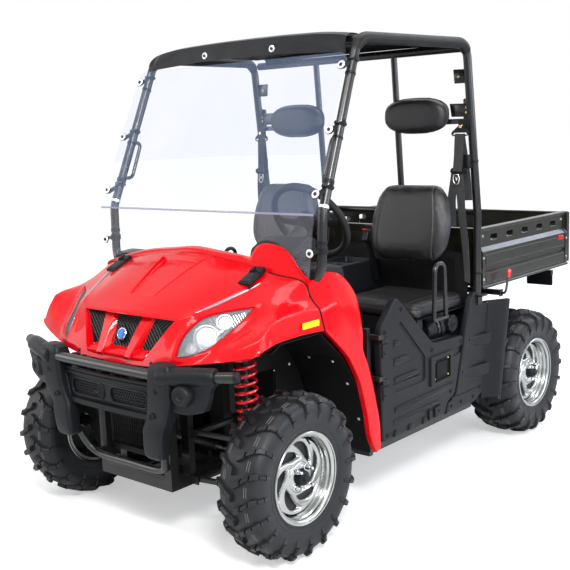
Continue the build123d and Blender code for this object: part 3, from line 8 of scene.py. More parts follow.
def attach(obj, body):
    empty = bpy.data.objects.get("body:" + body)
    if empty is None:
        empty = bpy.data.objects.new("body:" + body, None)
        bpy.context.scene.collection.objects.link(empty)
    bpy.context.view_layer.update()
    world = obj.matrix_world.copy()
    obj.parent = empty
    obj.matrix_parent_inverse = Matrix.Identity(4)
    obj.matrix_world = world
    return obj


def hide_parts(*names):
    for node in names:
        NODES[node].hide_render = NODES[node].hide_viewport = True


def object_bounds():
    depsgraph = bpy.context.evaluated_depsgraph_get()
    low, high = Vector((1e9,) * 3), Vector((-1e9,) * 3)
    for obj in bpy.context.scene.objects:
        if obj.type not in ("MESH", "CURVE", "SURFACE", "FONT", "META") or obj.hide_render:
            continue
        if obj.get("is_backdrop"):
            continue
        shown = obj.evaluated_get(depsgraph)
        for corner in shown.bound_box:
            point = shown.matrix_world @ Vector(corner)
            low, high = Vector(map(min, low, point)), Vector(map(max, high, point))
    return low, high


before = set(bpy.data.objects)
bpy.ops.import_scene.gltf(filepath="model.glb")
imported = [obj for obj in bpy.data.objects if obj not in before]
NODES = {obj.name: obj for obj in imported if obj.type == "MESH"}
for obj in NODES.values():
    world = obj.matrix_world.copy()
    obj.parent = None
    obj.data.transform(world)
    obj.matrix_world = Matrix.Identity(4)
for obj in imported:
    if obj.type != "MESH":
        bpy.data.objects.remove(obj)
CAD_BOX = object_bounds()
ORIGIN_Y = 0.9755        # y of the row frame's origin, from the front axle


def at(x, y, z):
    """A station in mm (y from the front axle) as a point of the row frame in metres."""
    return Vector((x / 1000, y / 1000 - ORIGIN_Y, z / 1000))


# ---------------------------------------------------------------- camera
YAW, LIFT, ROLL = 0.7163, 0.1613, -0.0383      # radians, fitted to the photograph
CAMERA_AT = at(2888.9, -2615.9, 1602.5)
LENS_MM, SENSOR_MM = 61.07, 36
SHIFT_X = 0.0035         # keeps the tail of the bed inside the picture

cam = bpy.data.objects.new("camera", bpy.data.cameras.new("camera"))
bpy.context.collection.objects.link(cam)
back = Vector((sin(YAW) * cos(LIFT), -cos(YAW) * cos(LIFT), sin(LIFT)))
right = (-back).cross(Vector((0, 0, 1))).normalized()
up = right.cross(-back)
right, up = cos(ROLL) * right + sin(ROLL) * up, cos(ROLL) * up - sin(ROLL) * right
cam.matrix_world = Matrix.Translation(CAMERA_AT) @ Matrix((right, up, back)).transposed().to_4x4()
cam.data.sensor_width = SENSOR_MM
cam.data.lens = LENS_MM
cam.data.shift_x = SHIFT_X
cam.data.clip_start, cam.data.clip_end = 0.05, 100
bpy.context.scene.camera = cam
bpy.context.scene.view_settings.view_transform = "Standard"


# ---------------------------------------------------------------- shader nodes
def node(tree, kind, **settings):
    """A new shader node with its own settings."""
    made = tree.nodes.new("ShaderNode" + kind)
    for key, value in settings.items():
        setattr(made, key, value)
    return made


def ray_is(tree, *kinds):
    """1 for a ray of any of the named kinds, else 0."""
    path = node(tree, "LightPath")
    got = path.outputs[f"Is {kinds[0]} Ray"]
    for kind in kinds[1:]:
        either = node(tree, "Math", operation="MAXIMUM")
        tree.links.new(got, either.inputs[0])
        tree.links.new(path.outputs[f"Is {kind} Ray"], either.inputs[1])
        got = either.outputs[0]
    return got


def blend_shaders(tree, share, one, other, out):
    """Sends a mix of two shaders to an output, all of the other where share is 1."""
    mix = node(tree, "MixShader")
    for k, source in enumerate((share, one, other)):
        tree.links.new(source, mix.inputs[k])
    tree.links.new(mix.outputs[0], out)


# ---------------------------------------------------------------- stage and lights
def studio():
    """A dim cool light all round that the camera, glass and reflections see as white."""
    world = bpy.data.worlds.new("studio")
    world.use_nodes = True
    tree = world.node_tree
    tree.nodes.clear()
    shades = []
    for color, strength in (((0.93, 0.96, 1.0, 1), 0.24), ((1, 1, 1, 1), 1.0)):
        shade = node(tree, "Background")
        shade.inputs["Color"].default_value = color
        shade.inputs["Strength"].default_value = strength
        shades.append(shade.outputs[0])
    out = node(tree, "OutputWorld").inputs["Surface"]
    blend_shaders(tree, ray_is(tree, "Camera", "Transmission", "Glossy"), *shades, out)
    return world


bpy.context.scene.world = studio()


def lamp(name, place, size, power, color=(1, 1, 1), target=(0, -0.2, 0.9)):
    """An area light turned to the vehicle."""
    data = bpy.data.lights.new(name, "AREA")
    data.shape = "RECTANGLE"
    data.size, data.size_y = size
    data.energy = power
    data.color = color
    obj = bpy.data.objects.new(name, data)
    bpy.context.collection.objects.link(obj)
    obj.location = place
    obj.rotation_euler = (Vector(place) - Vector(target)).to_track_quat("Z", "Y").to_euler()


lamp("key", (4.6, -4.4, 5.2), (1.5, 1.5), 350)
lamp("top", (0.6, 1.4, 5.2), (2.4, 4.4), 140)
lamp("top_front", (0.2, -3.6, 4.6), (3.6, 0.5), 70)
lamp("fill", (-4.8, -4.6, 2.6), (2.6, 3.4), 80)
lamp("flank", (4.6, -1.8, 2.2), (2.6, 2.2), 66, (0.9, 0.95, 1.0))
lamp("side", (5.2, 2.2, 1.9), (3.2, 1.2), 85, (0.78, 0.87, 1.0))
lamp("rear", (2.1, 5.5, 3.7), (3.6, 2.0), 86, (0.74, 0.82, 1.0))


# ---------------------------------------------------------------- materials
def shader(name, color, rough=0.5, **sockets):
    """A Principled material, with its constant values set on the shader's own sockets."""
    m = bpy.data.materials.new(name)
    m.use_nodes = True
    b = m.node_tree.nodes["Principled BSDF"]
    b.inputs["Base Color"].default_value = (*color, 1)
    b.inputs["Roughness"].default_value = rough
    for key, value in sockets.items():
        b.inputs[key.replace("_", " ")].default_value = value
    return m, m.node_tree, b


def noise_node(t, scale, detail=3.0, rough=0.55, stretch=(1, 1, 1)):
    """A noise in the object's own coordinates, stretched along its axes."""
    mapping = node(t, "Mapping")
    mapping.inputs["Scale"].default_value = stretch
    n = node(t, "TexNoise")
    n.inputs["Scale"].default_value = scale
    n.inputs["Detail"].default_value = detail
    n.inputs["Roughness"].default_value = rough
    t.links.new(node(t, "TexCoord").outputs["Object"], mapping.inputs["Vector"])
    t.links.new(mapping.outputs[0], n.inputs["Vector"])
    return n


def pattern(t, kind, scale, **settings):
    """A texture node in the object's own coordinates."""
    n = node(t, kind, **settings)
    n.inputs["Scale"].default_value = scale
    t.links.new(node(t, "TexCoord").outputs["Object"], n.inputs["Vector"])
    return n


def colour_mix(t, share, one, other):
    """A colour between two, each of them a socket or a constant."""
    mix = node(t, "Mix", data_type="RGBA")
    t.links.new(share, mix.inputs["Factor"])
    for name, colour in (("A", one), ("B", other)):
        if isinstance(colour, bpy.types.NodeSocket):
            t.links.new(colour, mix.inputs[name])
        else:
            mix.inputs[name].default_value = (*colour, 1)
    return mix.outputs["Result"]


def ramp(t, source, low, high, at_low, at_high):
    """Maps a value between two limits to two other values."""
    m = node(t, "MapRange")
    m.inputs["From Min"].default_value, m.inputs["From Max"].default_value = low, high
    m.inputs["To Min"].default_value, m.inputs["To Max"].default_value = at_low, at_high
    t.links.new(source, m.inputs["Value"])
    return m.outputs[0]


def uneven(t, n, low, high, limits=(0.3, 0.7)):
    """A noise's value between its usual limits, mapped to two other values."""
    return ramp(t, n.outputs["Fac"], *limits, low, high)


def vary(t, b, color, amount, scale=6.0):
    """Colour that wanders slightly lighter and darker over the surface."""
    n = noise_node(t, scale, 5)
    darker, lighter = [c * (1 - amount) for c in color], [min(1, c * (1 + amount)) for c in color]
    mix = colour_mix(t, uneven(t, n, 0, 1), darker, lighter)
    t.links.new(mix, b.inputs["Base Color"])
    return mix


def rough_between(t, b, low, high, scale=9.0, stretch=(1, 1, 1)):
    """Roughness that wanders between two values."""
    n = noise_node(t, scale, 4, 0.6, stretch)
    t.links.new(uneven(t, n, low, high), b.inputs["Roughness"])


def bump(t, b, height, strength, distance, under=None):
    """A bump on the shader's normal, laid over another bump if one is given."""
    relief = node(t, "Bump")
    relief.inputs["Strength"].default_value = strength
    relief.inputs["Distance"].default_value = distance
    t.links.new(height, relief.inputs["Height"])
    if under is not None:
        t.links.new(under, relief.inputs["Normal"])
    t.links.new(relief.outputs[0], b.inputs["Normal"])
    return relief.outputs[0]


def worn(t, b, colour, scale, amount, dust):
    """Dusty or worn patches: a high-contrast noise mixed over the colour."""
    share = uneven(t, noise_node(t, scale, 8, 0.7), 0, amount, (0.56, 0.74))
    t.links.new(colour_mix(t, share, colour, dust), b.inputs["Base Color"])


def gloss_plastic(name, color):
    """Glossy moulded plastic under a thin clear coat."""
    m, t, b = shader(name, color, 0.12, Coat_Weight=0.4, Coat_Roughness=0.06,
                     Specular_IOR_Level=0.06)
    vary(t, b, color, 0.05, 2.2)
    rough_between(t, b, 0.22, 0.32, 14)
    bump(t, b, noise_node(t, 34, 2).outputs["Fac"], 0.05, 0.002)
    return m


def grained(name, color, rough=(0.45, 0.6), grain=900, strength=0.35, depth=0.0005):
    """Moulded plastic with the fine grain of its mould and slight dust."""
    m, t, b = shader(name, color, sum(rough) / 2, Specular_IOR_Level=0.2)
    worn(t, b, vary(t, b, color, 0.18, 7), 26, 0.12, [c * 2.2 + 0.01 for c in color])
    rough_between(t, b, *rough, 11)
    bump(t, b, pattern(t, "TexVoronoi", grain).outputs["Distance"], strength, depth)
    return m


def painted(name, color, rough=(0.2, 0.3), coat=0.5):
    """Painted steel, slightly worn and dusty."""
    m, t, b = shader(name, color, 0.25, Coat_Weight=coat, Coat_Roughness=0.08)
    worn(t, b, vary(t, b, color, 0.12, 5), 40, 0.05, [c * 1.6 + 0.01 for c in color])
    rough_between(t, b, *rough, 12)
    bump(t, b, noise_node(t, 60, 2).outputs["Fac"], 0.03, 0.0004)
    return m


def metal(name, color, rough=(0.12, 0.22), scale=30):
    """Bare or plated metal with fine brush marks."""
    m, t, b = shader(name, color, 0.2, Metallic=1.0)
    vary(t, b, color, 0.06, 8)
    rough_between(t, b, *rough, scale)
    bump(t, b, noise_node(t, scale * 6, 4, 0.6).outputs["Fac"], 0.06, 0.0004)
    return m


def glass(name, tint, rough=0.02, see=0.86):
    """A thin clear pane: mostly see-through, with a clear reflection over it."""
    m, t, b = shader(name, tint, rough, IOR=1.45)
    opaque = 1 - see
    t.links.new(uneven(t, noise_node(t, 2.2), opaque - 0.03, opaque + 0.03), b.inputs["Alpha"])
    return m


def tyre_rubber():
    """Dark rubber with dusty patches and a fine grain."""
    m, t, b = shader("tyre_rubber", (0.012, 0.0125, 0.014), 0.5, Specular_IOR_Level=0.35)
    colour = vary(t, b, (0.011, 0.0116, 0.0135), 0.22, 9)
    worn(t, b, colour, 18, 0.2, (0.024, 0.025, 0.028))
    rough_between(t, b, 0.36, 0.52, 16)
    bump(t, b, noise_node(t, 420, 4).outputs["Fac"], 0.18, 0.0008)
    return m


def vinyl():
    """Seat cover: fine leather cells over slight unevenness."""
    m, t, b = shader("vinyl", (0.012, 0.012, 0.013), 0.34)
    vary(t, b, (0.0125, 0.0125, 0.0135), 0.15, 8)
    rough_between(t, b, 0.27, 0.4, 13)
    cells = pattern(t, "TexVoronoi", 420, feature="DISTANCE_TO_EDGE")
    under = bump(t, b, noise_node(t, 28).outputs["Fac"], 0.1, 0.004)
    bump(t, b, ramp(t, cells.outputs["Distance"], 0, 0.16, 0, 1), 0.32, 0.0005, under)
    return m


def webbing():
    """Belt cloth with its weave."""
    m, t, b = shader("webbing", (0.013, 0.013, 0.014), 0.72, Sheen_Weight=0.25)
    vary(t, b, (0.014, 0.014, 0.015), 0.3, 30)
    weave = pattern(t, "TexWave", 260)
    weave.inputs["Distortion"].default_value = 1.0
    bump(t, b, weave.outputs["Fac"], 0.5, 0.0008)
    return m


def cast(name, color, rough=(0.4, 0.6)):
    """Rough cast metal with darker patches."""
    m, t, b = shader(name, color, 0.5, Metallic=0.9)
    worn(t, b, vary(t, b, color, 0.2, 12), 30, 0.3, [c * 0.5 for c in color])
    rough_between(t, b, *rough, 20)
    bump(t, b, noise_node(t, 260, 6, 0.7).outputs["Fac"], 0.4, 0.001)
    return m


RED = gloss_plastic("red_gloss", (0.7, 0.001, 0.006))
BLACK = grained("black_moulding", (0.0078, 0.0085, 0.0105), (0.32, 0.44))
LINER = grained("liner_moulding", (0.004, 0.004, 0.0045), (0.5, 0.65))
BLACK_GLOSS = painted("black_paint", (0.0062, 0.0064, 0.0072), (0.26, 0.34), 0.2)
BED = painted("bed_paint", (0.0105, 0.0104, 0.0066), (0.26, 0.38), 0.25)
CHASSIS = painted("chassis_paint", (0.006, 0.006, 0.006), (0.35, 0.5), 0.1)
RUBBER = tyre_rubber()
VINYL = vinyl()
WEBBING = webbing()
ALLOY = metal("polished_alloy", (0.46, 0.47, 0.46), (0.15, 0.25))
CHROME = metal("chrome", (0.72, 0.73, 0.75), (0.03, 0.07))
REFLECTOR = metal("lamp_reflector", (0.4, 0.41, 0.43), (0.08, 0.14))
STEEL = metal("zinc_steel", (0.6, 0.6, 0.6), (0.22, 0.36))
WASHER = metal("bright_washer", (0.92, 0.93, 0.95), (0.3, 0.42))
TRIM = metal("bright_trim", (0.42, 0.44, 0.47), (0.16, 0.26))
# very dark grained black: the colour of real seals and seams, and also painted shade on the sheet
# behind the nose mesh and on the discs in the bumper's bolt holes
SEAL_AND_SHADE = grained("black_seal_and_painted_shade", (0.002, 0.002, 0.002), (0.6, 0.7))
CAST = cast("cast_alloy", (0.3, 0.3, 0.29))
DARK_CAST = cast("dark_casting", (0.05, 0.05, 0.05))
SPRING_RED = painted("spring_red", (0.78, 0.01, 0.016), (0.18, 0.26), 0.8)
GRIP = grained("soft_grip", (0.012, 0.012, 0.012), (0.4, 0.55), 1300, 0.25)
UPPER_PANE = glass("upper_pane", (0.36, 0.47, 0.72), see=0.91)
LOWER_PANE = glass("lower_pane", (0.62, 0.68, 0.78), see=0.95)
LENS = glass("lamp_lens", (0.9, 0.94, 1.0), 0.02, see=0.9)
YELLOW = gloss_plastic("yellow_reflector", (0.95, 0.72, 0.01))
TAIL_RED = gloss_plastic("red_reflector", (0.6, 0.012, 0.01))
BLUE = gloss_plastic("blue_enamel", (0.02, 0.16, 0.62))
SEAM_GREY = grained("mould_seam", (0.16, 0.15, 0.14), (0.5, 0.6))

COVER = {
    "tyre": RUBBER, "rim": ALLOY, "hood": RED, "cowl": RED, "side_fenders": RED,
    "chassis_frame": CHASSIS, "grille_mesh": BLACK, "lamp_lenses": LENS, "lamp_bowls": CHROME,
    "hood_hinges": BLACK, "arch_liners": LINER, "bumper_pads": BLACK,
    "front_bumper_bar": BLACK_GLOSS, "bumper_panel": BLACK, "roll_cage": BLACK_GLOSS,
    "windshield_upper": UPPER_PANE, "windshield_lower": LOWER_PANE,
    "windshield_clamps": BLACK, "roof": BLACK, "seat_cushions": VINYL, "seat_backs": VINYL,
    "headrests": VINYL, "hip_loops": BLACK_GLOSS, "floor_pan": LINER, "seat_box": BLACK,
    "fuel_tank": BLACK, "dashboard": BLACK, "console": BLACK, "steering_column": CHASSIS,
    "steering_wheel": GRIP, "door_left": BLACK, "door_right": BLACK, "side_panels": BLACK,
    "bed_tub": BED, "tailgate": BED, "rear_lamps": BLACK, "bed_lever": BLACK_GLOSS,
    "engine": CAST, "driveline": DARK_CAST, "exhaust": STEEL, "suspension_arms": CHASSIS,
    "knuckle_left": DARK_CAST, "knuckle_right": DARK_CAST, "tie_rods": STEEL,
    "dampers": CHASSIS, "springs": SPRING_RED, "radiator": DARK_CAST,
}
for name, cad in NODES.items():
    cover = COVER.get(name) or COVER.get(name.split("_")[0])
    if not cad.material_slots:
        cad.data.materials.append(cover)
    for slot in cad.material_slots:
        slot.link = "OBJECT"
        slot.material = cover


# ---------------------------------------------------------------- floor
def paper_floor():
    """White paper that glows to the camera and through glass, more so further out."""
    m, t, b = shader("floor_paper", (0.9, 0.9, 0.9), 0.85)
    glow = node(t, "Emission")
    glow.inputs["Color"].default_value = (1, 1, 1, 1)
    far = node(t, "VectorMath", operation="LENGTH")
    t.links.new(node(t, "NewGeometry").outputs["Position"], far.inputs[0])
    t.links.new(ramp(t, far.outputs["Value"], 1.6, 9.0, 0.44, 0.79), glow.inputs["Strength"])
    both = node(t, "AddShader")
    t.links.new(b.outputs[0], both.inputs[0])
    t.links.new(glow.outputs[0], both.inputs[1])
    blend_shaders(t, ray_is(t, "Camera", "Transmission"), b.outputs[0], both.outputs[0],
                  t.nodes["Material Output"].inputs["Surface"])
    return m


floor_mesh = bpy.data.meshes.new("floor")
floor_mesh.from_pydata([(-40, -40, 0), (40, -40, 0), (40, 40, 0), (-40, 40, 0)], [],
                       [(0, 1, 2, 3)])
floor = bpy.data.objects.new("floor", floor_mesh)
bpy.context.collection.objects.link(floor)
floor_mesh.materials.append(paper_floor())
floor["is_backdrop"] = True


# ---------------------------------------------------------------- mesh tools
MIRROR_X = Matrix.Scale(-1, 4, (1, 0, 0))
SAME = Matrix.Identity(4)
STATION_MM = Matrix.Translation((0, -ORIGIN_Y, 0)) @ Matrix.Scale(0.001, 4)


class Kit(list):
    """The parts of one shown piece: (mesh, matrix, material slot) triples."""

    def __init__(self, *meshes):
        super().__init__((mesh, SAME, 0) for mesh in meshes)

    def add(self, mesh, slot=0, matrix=SAME):
        """Puts in one more mesh."""
        self.append((mesh, matrix, slot))


def as_mesh(name, bm):
    """Turns a bmesh into a mesh and frees it."""
    mesh = bpy.data.meshes.new(name)
    bm.to_mesh(mesh)
    bm.free()
    return mesh


def mm(mesh):
    """Brings a mesh drawn in station mm to the row frame."""
    mesh.transform(STATION_MM)
    return mesh


def merged(name, parts):
    """One mesh out of a kit; a slot of None leaves a mesh's own slots as they are."""
    bm = bmesh.new()
    for mesh, matrix, slot in parts:
        piece = mesh.copy()
        piece.transform(matrix)
        if matrix.determinant() < 0:
            piece.flip_normals()
        start = len(bm.faces)
        bm.from_mesh(piece)
        bm.faces.ensure_lookup_table()
        for f in bm.faces[start:]:
            if slot is not None:
                f.material_index = slot
        bpy.data.meshes.remove(piece)
    return as_mesh(name, bm)


def mirrored(shape):
    """A mesh or a kit together with its mirror image on the other side."""
    half = merged("half", shape) if isinstance(shape, Kit) else shape
    return merged("pair", [(half, SAME, None), (half, MIRROR_X, None)])


def new_piece(name, shape, cover, body, replace=(), crease=35):
    """A shown piece from a mesh or a kit in the row frame, riding on a body."""
    mesh = merged(name, shape) if isinstance(shape, Kit) else shape
    obj = bpy.data.objects.new(name, mesh)
    bpy.context.collection.objects.link(obj)
    for c in cover if isinstance(cover, (list, tuple)) else [cover]:
        mesh.materials.append(c)
    if crease is not None:
        mesh.shade_smooth()
        mesh.set_sharp_from_angle(angle=radians(crease))
    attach(obj, body)
    if replace:
        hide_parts(*replace)
    return obj


def raw_mesh(name, verts, faces, slots=None, weld=1e-5):
    """A mesh from points and faces: near points welded, folded faces dropped."""
    bm = bmesh.new()
    made = [bm.verts.new(v) for v in verts]
    for i, face in enumerate(faces):
        corners = list(dict.fromkeys(face))
        if len(corners) < 3:
            continue
        try:
            f = bm.faces.new([made[k] for k in corners])
        except ValueError:
            continue
        if slots:
            f.material_index = slots[i]
    bmesh.ops.remove_doubles(bm, verts=bm.verts, dist=weld)
    bmesh.ops.recalc_face_normals(bm, faces=bm.faces)
    return as_mesh(name, bm)


def cubic(a, b, c, d, t):
    """Catmull-Rom between b and c."""
    return 0.5 * (2 * b + (c - a) * t + (2 * a - 5 * b + 4 * c - d) * t * t
                  + (3 * b - a - 3 * c + d) * t ** 3)


def spline(points, steps):
    """A smooth line through the given points."""
    pts = [Vector(p) for p in points]
    pts = [2 * pts[0] - pts[1]] + pts + [2 * pts[-1] - pts[-2]]
    out = [cubic(*pts[i - 1:i + 3], k / steps) for i in range(1, len(pts) - 2)
           for k in range(steps)]
    return out + [pts[-2]]


def flat_spline(points, steps):
    """The same in a plane, as (x, y) pairs."""
    return [(p.x, p.y) for p in spline([(x, y, 0) for x, y in points], steps)]


def quads(rows, n, ring=True, wheel=False, first=0):
    """Faces between rows of n points: rings close on themselves, a wheel's rows also go round."""
    faces = []
    for i in range(rows if wheel else rows - 1):
        a, b = first + i * n, first + (i + 1) % rows * n
        for k in range(n if ring else n - 1):
            m = (k + 1) % n
            faces.append((a + k, a + m, b + m, b + k))
    return faces


def revolve(name, outline, segments):
    """An (axial, radius) outline turned round the local x axis."""
    turns = [tau * i / segments for i in range(segments)]
    verts = [(x, r * cos(a), r * sin(a)) for a in turns for x, r in outline]
    return raw_mesh(name, verts, quads(segments, len(outline), ring=False, wheel=True))


def loft(name, rings, cap=True):
    """Faces between rings of equally many points, closed at both ends by a cap."""
    n, count = len(rings[0]), len(rings)
    faces = quads(count, n)
    if cap:
        faces += [tuple(range(n)), tuple(range((count - 1) * n, count * n))]
    return raw_mesh(name, [v for ring in rings for v in ring], faces)


def ring_about(centre, axis, radius, count=16, start=None):
    """Points of a circle round an axis."""
    axis = Vector(axis).normalized()
    side = start or (Vector((0, 0, 1)) if abs(axis.z) < 0.9 else Vector((1, 0, 0)))
    u = (side - axis * side.dot(axis)).normalized()
    v = axis.cross(u)
    return [Vector(centre) + radius * (cos(tau * k / count) * u + sin(tau * k / count) * v)
            for k in range(count)]


def lathe_at(name, place, axis, outline, count=24):
    """A turned part: (distance along the axis, radius) outline at a place."""
    place, axis = Vector(place), Vector(axis).normalized()
    return loft(name, [ring_about(place + axis * d, axis, max(r, 1e-5), count) for d, r in outline])


def turned(name, place, axis, outline, count=24):
    """A turned part whose place and outline are in station mm."""
    return mm(lathe_at(name, place, axis, outline, count))


def bar(name, path, profile, normal=None, cap=True):
    """A profile of (u, v) offsets carried along a path without twisting."""
    path = [Vector(p) for p in path]
    rings = []
    n = Vector(normal) if normal else None
    for i, p in enumerate(path):
        way = (path[min(i + 1, len(path) - 1)] - path[max(i - 1, 0)]).normalized()
        if n is None:
            n = Vector((0, 0, 1)) if abs(way.z) < 0.9 else Vector((1, 0, 0))
        u = (n - way * n.dot(way)).normalized()
        n = u if normal is None else Vector(normal)
        v = way.cross(u)
        rings.append([p + u * a + v * b for a, b in profile])
    return loft(name, rings, cap)


def circle_profile(radius, count=12):
    """The (u, v) offsets of a round bar."""
    return [(radius * cos(tau * k / count), radius * sin(tau * k / count)) for k in range(count)]


def round_edges(bm, radius, segments, **more):
    """Rounds every edge."""
    bmesh.ops.bevel(bm, geom=list(bm.edges), offset=radius, segments=segments, profile=0.5,
                    affect="EDGES", **more)


def rounded_block(name, size, radius, segments=3, place=(0, 0, 0), turn=SAME):
    """A block with every edge rounded, its centre at a place of the row frame."""
    bm = bmesh.new()
    bmesh.ops.create_cube(bm, size=1)
    bmesh.ops.scale(bm, vec=size, verts=bm.verts)
    round_edges(bm, radius, segments)
    mesh = as_mesh(name, bm)
    mesh.transform(Matrix.Translation(place) @ turn)
    return mesh


def slab(name, outline, thick, radius, segments=2):
    """A flat outline of 3-D points thickened one way along its normal, its edges rounded."""
    bm = bmesh.new()
    face = bm.faces.new([bm.verts.new(p) for p in outline])
    face.normal_update()
    out = face.normal * thick
    got = bmesh.ops.extrude_face_region(bm, geom=[face])["geom"]
    bmesh.ops.translate(bm, vec=out, verts=[v for v in got if isinstance(v, bmesh.types.BMVert)])
    bmesh.ops.recalc_face_normals(bm, faces=bm.faces)
    round_edges(bm, radius, segments, clamp_overlap=True)
    return as_mesh(name, bm)


# ---------------------------------------------------------------- tyres and rims
AXLES = {                # y station, centre x, tyre half width, rim flange half width, in mm
    "front": (0, 604, 103, 88), "rear": (1850, 578.5, 127.5, 112),
}
AXLE_Z = 317.5
LUGS = 20


def tyre_profile(half, flange):
    """(x, r) points from the crown to the bead, and a function for a place along them."""
    h = half - 6
    knots = [(0, 301), (half * 0.25, 300.6), (half * 0.5, 298), (half * 0.74, 290), (h - 7, 276),
             (h - 0.5, 256), (h, 236), (h - 3, 214), (flange + 1, 192), (flange - 1, 178)]
    line = spline([(x, r, 0) for x, r in knots], 5)
    reach = [0.0]
    for a, b in zip(line, line[1:]):
        reach.append(reach[-1] + (b - a).length)

    def place(s):
        """Width, radius and outward normal at a distance from the crown."""
        k = max(i for i in range(len(reach) - 1) if reach[i] <= s or i == 0)
        p = line[k].lerp(line[k + 1], (s - reach[k]) / (reach[k + 1] - reach[k]))
        way = (line[k + 1] - line[k]).normalized()
        return p.x, p.y, Vector((-way.y, way.x, 0))

    return line, place


def lug_block(place, side, turn, s0, s1, wide0, wide1, tall0, tall1, sweep):
    """One raised block of a lug, between two distances from the crown."""
    rings = []
    for k in range(5):
        t = k / 4
        s = s0 + (s1 - s0) * t
        x, r, n = place(s)
        wide, tall = wide0 + (wide1 - wide0) * t, tall0 + (tall1 - tall0) * t
        mid = turn + sweep(s)
        ring = []
        for u, h in ((-0.62, -3.0), (-0.5, tall - 2.2), (-0.38, tall), (0.38, tall),
                     (0.5, tall - 2.2), (0.62, -3.0)):
            px, pr = x + n.x * h, r + n.y * h
            if h > 0 and k in (0, 4):         # the block's ends lean in
                lean = (1.6 if k == 0 else -1.6) * (h / tall)
                px += n.y * lean
                pr -= n.x * lean
            a = mid + u * wide / pr
            ring.append((side * px, pr * cos(a), pr * sin(a)))
        rings.append(ring)
    return loft("lug", rings)


def tyre_mesh(axle):
    """Carcass, both shoulders' rows of segmented lugs, mould seams and bead lines."""
    _, _, half, flange = AXLES[axle]
    line, place = tyre_profile(half, flange)
    outer = [(p.x, p.y) for p in line] + [(flange - 4, 170), (flange - 16, 158)]
    full = [(-x, r) for x, r in reversed(outer)] + outer[1:]
    parts = Kit(revolve("carcass", full, 180))
    scale = half / AXLES["front"][2]
    blocks = [           # start and end from the crown, widths there, heights there
        (3, 34 * scale, 24, 22, 16.5, 16.5),
        (34 * scale + 2.5, 66 * scale, 15, 17, 14, 15),
        (66 * scale + 2, 94 * scale, 21, 19, 16.5, 14),
        (94 * scale + 1, 122 * scale, 13, 13, 12, 9),
        (122 * scale + 2, 150 * scale, 17, 9, 7.5, 2.2),
    ]
    seam_at = 52 * scale

    def sweep(s):
        """How far the lug's curve has turned at a distance from the crown."""
        t = min(s / (105 * scale), 1)
        return 0.155 * (1 - t) ** 1.6 + 0.012 * sin(6 * t)

    for side in (1, -1):
        for i in range(LUGS):
            turn = tau * (i + (0.5 if side < 0 else 0)) / LUGS
            for block in blocks:
                parts.add(lug_block(place, side, turn, *block, sweep))
            for off in (-4.5, 4.5):
                rings = []
                for k in range(5):
                    x, r, n = place(seam_at + off)
                    a = turn + sweep(seam_at) + tau / LUGS * (0.3 + 0.1 * k)
                    rings.append([(side * (x + n.x * h + n.y * w), (r + n.y * h - n.x * w) * cos(a),
                                   (r + n.y * h - n.x * w) * sin(a))
                                  for w, h in ((-1.2, -1), (-1.2, 0.9), (1.2, 0.9), (1.2, -1))])
                parts.add(loft("seam", rings), 1)
    for r, rise in ((204, 1.6), (183, 1.4)):
        x = next(p.x for p in line if p.y <= r)
        foot, crest = x - 3, x + rise
        for side in (1, -1):
            parts.add(revolve("bead_line", [(side * foot, r + 3), (side * crest, r + 1.2),
                                            (side * crest, r - 1.2), (side * foot, r - 3)], 180))
    return merged("tyre_" + axle, parts)


